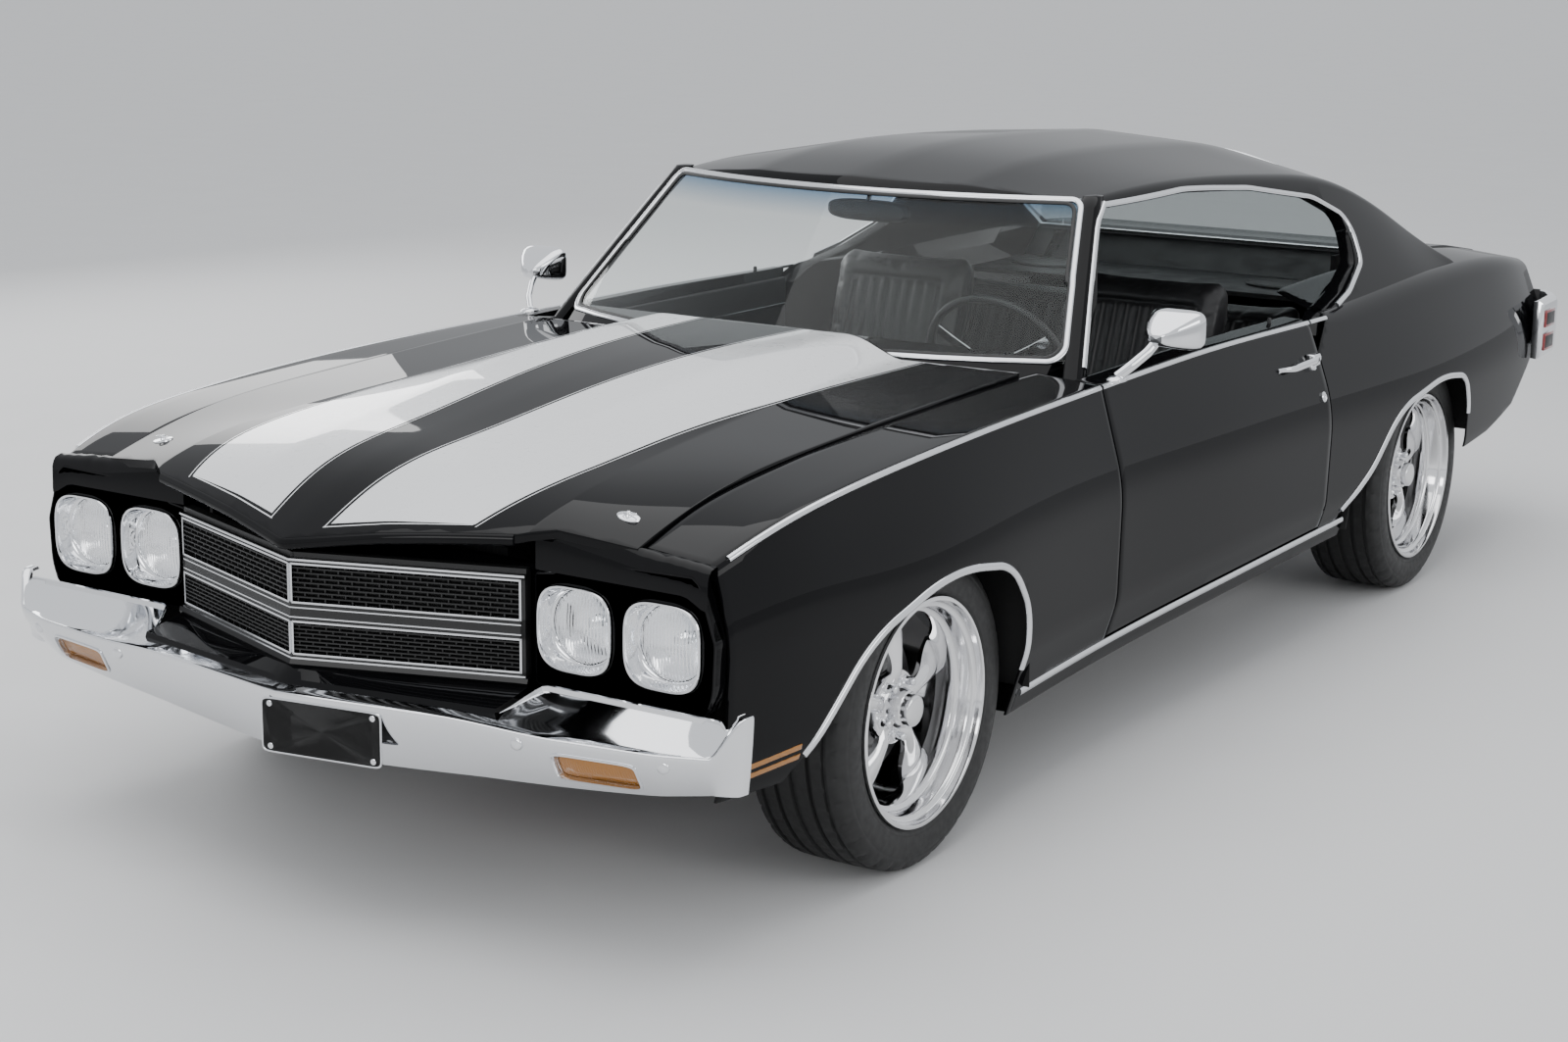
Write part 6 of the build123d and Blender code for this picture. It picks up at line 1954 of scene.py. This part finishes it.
def add_dash():
    """Gauge cluster, glovebox and radio on the dashboard's rear face."""
    pieces = [finish_piece(brick((190, -489, 706), (560, -474, 800)), gauge_black, 8.0, segments=3)]
    for x, r in ((290, 38), (452, 38), (371, 26)):
        pieces += dial(x, -474, 753, r)
    pieces.append(finish_piece(brick((-60, -487, 728), (130, -476, 788)), gauge_black, 4.0))
    for x in (-40, 110):
        pieces.append(finish_piece(turned_knob(x, -476, 758), bright_trim, 0.0, angle=CREASE))
    pieces.append(finish_piece(brick((-560, -486, 716), (-150, -479, 794)), dash_vinyl, 5.0, segments=3))
    pieces.append(finish_piece(turned_knob(-355, -479, 780), bright_trim, 0.0, angle=CREASE))
    pieces.append(finish_piece(brick((-640, -478, 803), (640, -471, 808)), bright_trim, 1.5))
    cluster = finish_piece(join(pieces, "dash_details"), None, 0.0, angle=CREASE)
    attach(cluster, "root")


def turned_knob(x, y, z):
    """Small turned knob facing the rear."""
    rows = [[(x + r * math.cos(a), y + o, z + r * math.sin(a)) for a in angles(20)]
            for o, r in ((-1, 9), (10, 9), (12, 7), (12.5, 0.4))]
    return solid_piece("knob", rows, bright_trim)


WHEEL_CENTRE = Vector((370.0, -330.0, 830.0))
WHEEL_TILT = math.radians(24)


def add_steering_wheel():
    """Thin-rimmed steering wheel with three bright spokes and a horn cap."""
    out = Vector((0.0, math.cos(WHEEL_TILT), math.sin(WHEEL_TILT)))
    side = Vector((1.0, 0.0, 0.0))
    up = Vector((0.0, -math.sin(WHEEL_TILT), math.cos(WHEEL_TILT)))
    rows = []
    for i in range(120):
        a = 2 * math.pi * i / 120
        radial = side * math.cos(a) + up * math.sin(a)
        grip = 10.6 - (0.9 if i % 4 == 0 else 0.0)
        rows.append([WHEEL_CENTRE + radial * (190 + grip * math.cos(b)) + out * (grip * math.sin(b))
                     for b in angles(14)])
    rim = finish_piece(face_out(grid_piece("rim", rows, dash_vinyl, closed_columns=True, closed_rows=True)),
                       dash_vinyl, 0.0, angle=60)
    pieces = [rim]
    for start in (-90, 30, 150):
        a = math.radians(start)
        radial = side * math.cos(a) + up * math.sin(a)
        across = side * -math.sin(a) + up * math.cos(a)
        bar = []
        for r, half, drop in ((28, 21, 24), (70, 17, 20), (120, 14, 12), (160, 13, 5), (184, 13, 1)):
            bar.append([WHEEL_CENTRE + radial * r + across * (half * u) - out * (drop + w) for u, w in
                        ((-1, 0), (-0.9, -1.5), (0.9, -1.5), (1, 0), (0.9, 1.5), (-0.9, 1.5))])
        pieces.append(finish_piece(solid_piece("spoke", bar, polished),
                                   polished, 0.0, angle=30))
    cap = [[WHEEL_CENTRE + side * (r * math.cos(b)) + up * (r * math.sin(b)) + out * o for b in
            angles(40)] for o, r in
           ((-58, 30), (-30, 36), (-14, 40), (-6, 36), (-1, 22), (0, 0.5))]
    pieces.append(finish_piece(solid_piece("cap", cap, dash_vinyl),
                               dash_vinyl, 0.0, angle=50))
    wheel = join(pieces, "steering_wheel_dressed")
    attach(wheel, "steering_wheel")
    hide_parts("steering_wheel")


def add_cabin_trim():
    """Headliner, door panels with crank and rest, console, speakers and inner mirror."""
    rows = []
    for y in span(-190, 1010, 30):
        half = roof_profile(y, 26.0)
        half = [p for p in half if p[0] < 560]
        rows.append([(half[0][0] + (half[-1][0] - half[0][0]) * k / 20, y,
                      spline([p[0] for p in half[::3]], [p[1] for p in half[::3]])(
                          half[0][0] + (half[-1][0] - half[0][0]) * k / 20)) for k in range(21)])
    liner = grid_piece("headliner_half", rows, headliner)
    twin = mirror_piece(liner, "headliner_twin")
    roof_liner = finish_piece(join([liner, twin], "headliner"), None, 0.0, angle=60)
    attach(roof_liner, "root")
    panel = finish_piece(brick((770, -690, 350), (783, 450, 868)), vinyl, 5.0, segments=3)
    rest = finish_piece(brick((716, -210, 640), (772, 210, 680)), vinyl, 16.0, segments=4)
    pull = finish_piece(brick((764, -640, 786), (771, 440, 794)), bright_trim, 1.5)
    kick = finish_piece(brick((766, -680, 360), (772, 440, 430)), carpet, 2.0)
    crank = turned_knob(0, 0, 0)
    crank.data.transform(Matrix.Rotation(math.radians(90), 4, "Z"))
    crank.data.transform(Matrix.Translation(Vector((769, -300, 590)) * MM))
    arm = finish_piece(brick((752, -306, 500), (758, -294, 592)), chrome, 3.0)
    knob = ring_piece("lock", ((0, 0.4), (0, 5), (20, 5.5), (24, 4), (25, 0.4)), (0, 0, 0), 16, vinyl,
                      closed=False)
    knob.data.transform(Matrix.Rotation(math.radians(-90), 4, "Y"))
    knob.data.transform(Matrix.Translation(Vector((800, 330, 884)) * MM))
    trim = join([panel, rest, pull, kick, finish_piece(crank, chrome, 0.0, angle=CREASE), arm,
                 finish_piece(knob, vinyl, 0.0, angle=CREASE)], "door_trim")
    add_pair(trim, "door_trim", "door_SIDE", None)
    ovals = []
    for x in (-400, 400):
        rings = [[(x + 118 * k * math.cos(a), 1385 + 82 * k * math.sin(a), 839 + lift) for a in
                  angles(48)] for k, lift in
                 ((1.0, -1), (1.0, 5), (0.93, 8), (0.88, 5), (0.5, 8), (0.02, 9))]
        ovals.append(solid_piece("oval", rings, satin_black))
    speakers = finish_piece(join(ovals, "speaker_grilles"), None, 0.0, angle=CREASE)
    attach(speakers, "root")
    rows = [[(u, y, 1188 + v) for u, v in squircle(half_x, half_z, 3.2, 48)] for y, half_x, half_z in
            ((-353, 118, 25), (-352, 120, 27), (-356, 120, 27), (-368, 108, 22), (-372, 60, 12),
             (-372.5, 2, 1))]
    shell = solid_piece("shell", rows, satin_black)
    silver = grid_piece("silver", [[(u * k, -351.6, 1188 + v * k) for u, v in squircle(114, 23, 3.2, 48)]
                                   for k in (1.0, 0.5, 0.01)], mirror_glass, closed_columns=True)
    stem = sweep_piece("stem", [(0, -366, 1190), (0, -352, 1225), (0, -330, 1262), (0, -328, 1284)],
                       (0, 1, 0.2),
                       circle(6), bright_trim)
    mirror = finish_piece(join([shell, silver, stem], "interior_mirror_dressed"), None, 0.0, angle=CREASE)
    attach(mirror, "root")
    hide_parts("interior_mirror")
    console = finish_piece(brick((-95, -330, 392), (95, 200, 440)), dash_vinyl, 12.0, segments=3)
    boot = ring_piece("boot", ((0, 46), (14, 40), (30, 24), (44, 10), (44, 0.5)), (0, 0, 0), 24, dash_vinyl,
                      closed=False)
    boot.data.transform(Matrix.Rotation(math.radians(-90), 4, "Y"))
    boot.data.transform(Matrix.Translation(Vector((0, -90, 438)) * MM))
    lever = sweep_piece("lever", [(0, -90, 470), (0, -78, 560), (0, -70, 612)], (1, 0, 0), circle(6), chrome)
    ball = ring_piece("ball", tuple((-20 * math.cos(math.pi * k / 10), 20 * math.sin(math.pi * k / 10) + 0.3)
                                    for k in range(11)), (0, -69, 626), 24, gauge_black, closed=False)
    middle = finish_piece(join([console, finish_piece(boot, dash_vinyl, 0.0, angle=60), lever,
                                finish_piece(ball, gauge_black, 0.0,
                                             angle=60)], "console"), None, 0.0, angle=50)
    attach(middle, "root")


add_seats()
add_dash()
add_steering_wheel()
add_cabin_trim()

# ---------------------------------------------------------------- rear end and wheelhouses
REAR_PLAN = ((0, 2505), (600, 2499), (880, 2486), (928, 2380), (940, 2200))
REAR_PLAN_RADII = (900, 70, 60)
REAR_SECTION = ((-33, 562), (-16, 560), (-5, 566), (-1.2, 580), (0, 604), (0, 700), (-1.2, 724), (-5, 738),
                (-16, 744),
                (-33, 742))
TAIL_LAMP_X = 700.0
TAIL_LAMP_Z = 654.0
DECK_LINE = ((1700, 936), (1760, 932), (2120, 908), (2400, 866), (2452, 838), (2458, 790), (2458, 758))
DECK_RADII = (300, 900, 120, 22, 10)
WHEELHOUSES = (
    ("front", FRONT_AXLE_Y, 480, 520, ((-668, 372), (-640, 420), (-360, 640), (-60, 738), (250, 700),
                                       (382, 560), (386, 300)),
     (90, 260, 300, 220, 120)),
    ("rear", REAR_AXLE_Y, 610, 500, ((-640, 300), (-600, 440), (-420, 600), (0, 722), (300, 664), (372, 560),
                                     (372, 415)),
     (120, 300, 400, 180, 120)),
)
dark_slot = material("marker_slot", (0.006, 0.006, 0.007), rough=0.35)
vary_rough(dark_slot, 60.0, 0.28, 0.42)


def rear_face_y(x):
    """Station of the rear bumper's face at a distance from the centre line."""
    x = abs(x)
    return 2505 - 6 * x / 600 if x < 600 else 2499 - 13 * (x - 600) / 280


def add_rear_bumper():
    """Bright rear bumper with round edges, lamp openings and the plate recess."""
    half = filleted(REAR_PLAN, REAR_PLAN_RADII, 12, 8)
    path = [Vector((-p.x, p.y)) for p in reversed(half)][:-1] + list(half)
    rows = []
    for i, p in enumerate(path):
        along = (path[min(i + 1, len(path) - 1)] - path[max(i - 1, 0)]).normalized()
        out = Vector((-along.y, along.x))
        rows.append([((p + out * o).x, (p + out * o).y, z) for o, z in REAR_SECTION])
    bar = solid_piece("rear_bumper_dressed", rows, chrome)
    for side in (-1, 1):
        carve(bar, prism([(side * TAIL_LAMP_X + u, TAIL_LAMP_Z + v) for u, v in squircle(125, 48, 9, 48)],
                         "y", 2380, 2600))
    carve(bar, prism([(u, 652 + v) for u, v in squircle(160, 80, 14, 48)], "y", 2496, 2600))
    finish_piece(bar, chrome, 1.2, segments=2, angle=CREASE)
    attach(bar, "root")
    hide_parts("rear_bumper")
    lamps, frames = [], []
    for side in (-1, 1):
        x0 = side * TAIL_LAMP_X
        rows = [[(x0 + u, rear_face_y(x0 + u) + depth, TAIL_LAMP_Z + v) for u,
                 v in squircle(half_x, half_z, 9, 48)]
                for depth, half_x, half_z in ((-24, 121, 44), (-6, 121, 44), (-3, 119, 42), (-1.5, 60, 20),
                                              (-1.5, 1, 1))]
        lamps.append(solid_piece("lens", rows, red_lens))
        for grow, width in ((0, 3.5), (-40, 1.6)):
            ring = [[(x0 + u, rear_face_y(x0 + u) + depth, TAIL_LAMP_Z + v) for u, v in
                     squircle(123 + grow - inset, 46 + grow * 0.36 - inset, 9, 48)]
                    for inset, depth in ((0, -5), (0, 0.6), (width, 0.6), (width, -5))]
            frames.append(face_out(grid_piece("frame", ring, chrome, closed_columns=True, closed_rows=True)))
    lamp = finish_piece(join(lamps, "tail_lens"), None, 0.0, angle=CREASE)
    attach(lamp, "root")
    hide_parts("tail_lamps")
    frame_whole = finish_piece(join(frames, "tail_lamp_frames"), None, 0.0, angle=CREASE)
    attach(frame_whole, "root")
    markers = []
    for low, high in ((586, 640), (660, 714)):
        edge = brick((938, 2216, low), (943.5, 2306, high))
        markers.append(finish_piece(edge, red_lens, 2.0))
        markers.append(finish_piece(brick((941, 2224, low + 8), (945, 2298, high - 8)), dark_slot, 1.0))
    marker = finish_piece(join(markers, "rear_marker"), None, 0.0)
    add_pair(marker, "rear_marker", "root", None)


def add_tail_panel():
    """Black panel between the quarters, its lower corners cut to their line."""
    outline = ((-560, 486), (560, 486), (846, 602), (846, 748), (-846, 748), (-846, 602))
    panel = finish_piece(prism(outline, "y", 2441, 2453), satin_black, 2.0)
    panel.name = "tail_panel_dressed"
    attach(panel, "root")
    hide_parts("tail_panel")


def add_deck():
    """Trunk lid with a rolled rear edge and a round key lock."""
    line = [p for p in filleted(DECK_LINE, DECK_RADII, 8, 8) if p.x >= 1760.0]
    line = [Vector((1760.0, 932.0))] + line
    under = [Vector((p.x - (19 if k > len(line) - 8 else 0), p.y - 19)) for k, p in enumerate(line)]
    under = [p for p in under if p.y > 760]
    rows = []
    for k in range(45):
        x = -633 + 1266 * k / 44
        rows.append([(x, p.x, p.y) for p in line] + [(x, p.x, p.y) for p in reversed(under)])
    lid = solid_piece("trunk_lid_dressed", rows, paint)
    finish_piece(lid, paint, 2.5, segments=2, angle=50)
    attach(lid, "trunk_lid")
    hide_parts("trunk_lid")
    strip = sweep_piece("lid_strip", [(x, 2459, 768) for x in span(-625, 625, 50)], (0, 1, 0), rounded(6, 4),
                        bright_trim)
    finish_piece(strip, bright_trim, 0.0, angle=38)
    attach(strip, "trunk_lid")
    lock = [[(r * math.cos(a), 2458 + o, 806 + r * math.sin(a)) for a in angles(28)]
            for o, r in ((-2, 15), (3, 15), (5, 13), (5, 8), (3, 7.5), (3, 0.4))]
    key = solid_piece("lid_lock", lock, chrome)
    finish_piece(key, chrome, 0.0, angle=38)
    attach(key, "trunk_lid")


def add_wheelhouses():
    """Black liners over and inboard of the wheels."""
    for name, axle_y, inner_x, wall_z, line, radii in WHEELHOUSES:
        path = filleted(line, radii, 5, 8)
        rows = []
        for p in path:
            y, z = axle_y + p.x, p.y
            outer = side_point(max(FENDER_FRONT_Y + 6, y), max(z, 420)).x - 14
            rows.append([(inner_x + (outer - inner_x) * k / 6, y, z) for k in range(7)])
        roof = grid_piece("roof", rows, underseal)
        solid = roof.modifiers.new("skin", "SOLIDIFY")
        solid.thickness = 3 * MM
        settle(roof)
        high = [(axle_y + p.x, p.y) for p in path if p.y >= wall_z]
        wall = prism(high, "x", inner_x - 3, inner_x)
        liner = join([finish_piece(roof, underseal, 0.0, angle=50), finish_piece(wall, underseal, 0.0)],
                     "liner")
        finish_piece(liner, None, 0.0, angle=50)
        add_pair(liner, f"wheelhouse_{name}", "root", None)


add_rear_bumper()
add_tail_panel()
add_deck()
add_wheelhouses()

# ---------------------------------------------------------------- carried-over solids
frame_paint = material("frame_paint", (0.013, 0.013, 0.013), rough=0.5)
vary_rough(frame_paint, 40.0, 0.4, 0.65)
bump(frame_paint, noise(frame_paint, 320.0), 0.25, 0.0008)
steel = material("raw_steel", (0.30, 0.30, 0.31), rough=0.42, metal=1.0)
vary_rough(steel, 50.0, 0.32, 0.55)
vary_colour(steel, 18.0, (0.34, 0.34, 0.35), (0.22, 0.21, 0.20))
bump(steel, noise(steel, 400.0), 0.15, 0.0005)
block_paint = material("engine_paint", (0.16, 0.035, 0.016), rough=0.4)
vary_colour(block_paint, 12.0, (0.19, 0.04, 0.018), (0.11, 0.026, 0.014))
bump(block_paint, noise(block_paint, 300.0), 0.4, 0.001)
core = material("radiator_core", (0.02, 0.02, 0.021), rough=0.5, metal=0.5)
vary_rough(core, 60.0, 0.4, 0.62)
tree, _, place = parts_of(core)
fins = tree.nodes.new("ShaderNodeTexWave")
fins.inputs["Scale"].default_value = 90.0
tree.links.new(place, fins.inputs["Vector"])
bump(core, fins.outputs["Fac"], 0.6, 0.002)
spring = material("suspension_black", (0.02, 0.02, 0.021), rough=0.38, metal=0.2)
vary_rough(spring, 70.0, 0.3, 0.5)
tank = material("tank_plating", (0.26, 0.265, 0.27), rough=0.4, metal=0.9)
vary_colour(tank, 22.0, (0.30, 0.305, 0.31), (0.20, 0.20, 0.195))
vary_rough(tank, 35.0, 0.32, 0.52)
ENGINE_BLOCK = ((-150, 302), (150, 302), (214, 420), (196, 560), (110, 602), (-110, 602), (-196, 560),
                (-214, 420))
ENGINE_HEAD = ((112, 566), (236, 512), (262, 596), (150, 646))
VALVE_COVER = ((150, 648), (262, 600), (272, 648), (236, 686), (180, 698))
GEARBOX = ((-70, 294), (70, 294), (108, 350), (108, 470), (66, 538), (-66, 538), (-108, 470), (-108, 350))
AIR_CLEANER = ((30, 716), (146, 716), (172, 722), (174, 772), (180, 774), (181, 782), (168, 789), (60, 794),
               (14, 794),
               (12, 799), (1, 799))
DISTRIBUTOR = ((16, 640), (16, 700), (38, 704), (40, 742), (30, 752), (1, 754))


def upright(section, x, y, finish):
    """Turned form about a vertical line."""
    rows = [[(x + r * math.cos(a), y + r * math.sin(a), z) for a in angles(48)]
            for r, z in section]
    return finish_piece(solid_piece("upright", rows, finish), finish,
                        0.0, angle=35)


def pulley(x, z, radius, y0, y1, finish):
    """Turned form about a line along the engine."""
    rows = [[(x + r * math.cos(a), y, z + r * math.sin(a)) for a in angles(40)]
            for r, y in ((1, y0), (radius - 4, y0), (radius, y0 + 3), (radius - 6, (y0 + y1) / 2),
                         (radius, y1 - 3),
                         (radius - 4, y1), (1, y1))]
    return finish_piece(solid_piece("pulley", rows, finish), finish,
                        0.0, angle=35)


def add_engine():
    """V8 with its covers, air cleaner, fan, pulleys and gearbox."""
    parts = [finish_piece(prism(ENGINE_BLOCK, "y", -1860, -1292), block_paint, 10.0, segments=3),
             finish_piece(prism(GEARBOX, "y", -1300, -932), cast_steel, 14.0, segments=3),
             finish_piece(brick((-120, -1840, 266), (120, -1320, 306)), block_paint, 16.0, segments=3),
             finish_piece(brick((-378, -1640, 352), (378, -1562, 398)), frame_paint, 6.0),
             finish_piece(brick((-112, -1800, 596), (112, -1340, 660)), cast_steel, 14.0, segments=3),
             finish_piece(brick((-72, -1650, 658), (72, -1500, 718)), steel, 8.0),
             upright(AIR_CLEANER, 0.0, -1575.0, chrome), upright(DISTRIBUTOR, 0.0, -1322.0, gauge_black)]
    for side in (-1, 1):
        for line, low, high, finish in ((ENGINE_HEAD, -1846, -1306, block_paint),
                                        (VALVE_COVER, -1836, -1316, chrome)):
            outline = [(side * x, z) for x, z in line]
            parts.append(finish_piece(prism(outline, "y", low, high), finish, 8.0, segments=3))
        path = [(side * 256, -1820, 500), (side * 258, -1420, 490), (side * 244, -1330, 440),
                (side * 228, -1300, 330)]
        parts.append(finish_piece(sweep_piece("manifold", path, (0, 0, 1), circle(20), cast_steel),
                                  cast_steel, 0.0))
        for k in range(4):
            y = -1790 + 118 * k
            parts.append(finish_piece(sweep_piece("runner", [(side * 226, y, 520), (side * 257, y, 498)],
                                                  (0, 1, 0),
                                                  circle(15), cast_steel), cast_steel, 0.0))
    parts += [pulley(0, 480, 78, -1900, -1872, steel), pulley(0, 344, 84, -1900, -1872, steel),
              pulley(190, 590, 34, -1900, -1872, steel), pulley(190, 590, 62, -1870, -1780, cast_steel),
              pulley(0, 480, 30, -1930, -1890, steel)]
    for k in range(5):
        a = 2 * math.pi * k / 5
        radial, across = Vector((math.cos(a), 0, math.sin(a))), Vector((-math.sin(a), 0, math.cos(a)))
        hub = Vector((0, -1922, 480))
        rows = [[hub + radial * r + across * (w * u) + Vector((0, 14 * u + o, 0)) for u, o in
                 ((-1, -1), (1, -1), (1, 1), (-1, 1))] for r, w in ((22, 22), (90, 40), (188, 48), (192, 40))]
        parts.append(finish_piece(solid_piece("blade", rows, steel), steel,
                                  0.0, angle=30))
    engine = join(parts, "engine_dressed")
    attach(engine, "root")
    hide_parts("engine")


add_engine()
NODE_FINISHES = {
    "frame": frame_paint, "floor_pan": underseal, "front_suspension": spring, "rear_axle": frame_paint,
    "knuckle_left": cast_steel, "knuckle_right": cast_steel, "exhaust": steel,
    "fuel_tank": tank, "radiator": core, "dashboard": dash_vinyl, "steering_column": dash_vinyl,
    "rear_deck": dash_vinyl, "cowl": paint, "nose_panel": paint,
}
for name, node in nodes.items():
    for s in node.material_slots:
        s.material = NODE_FINISHES.get(name, satin_black)
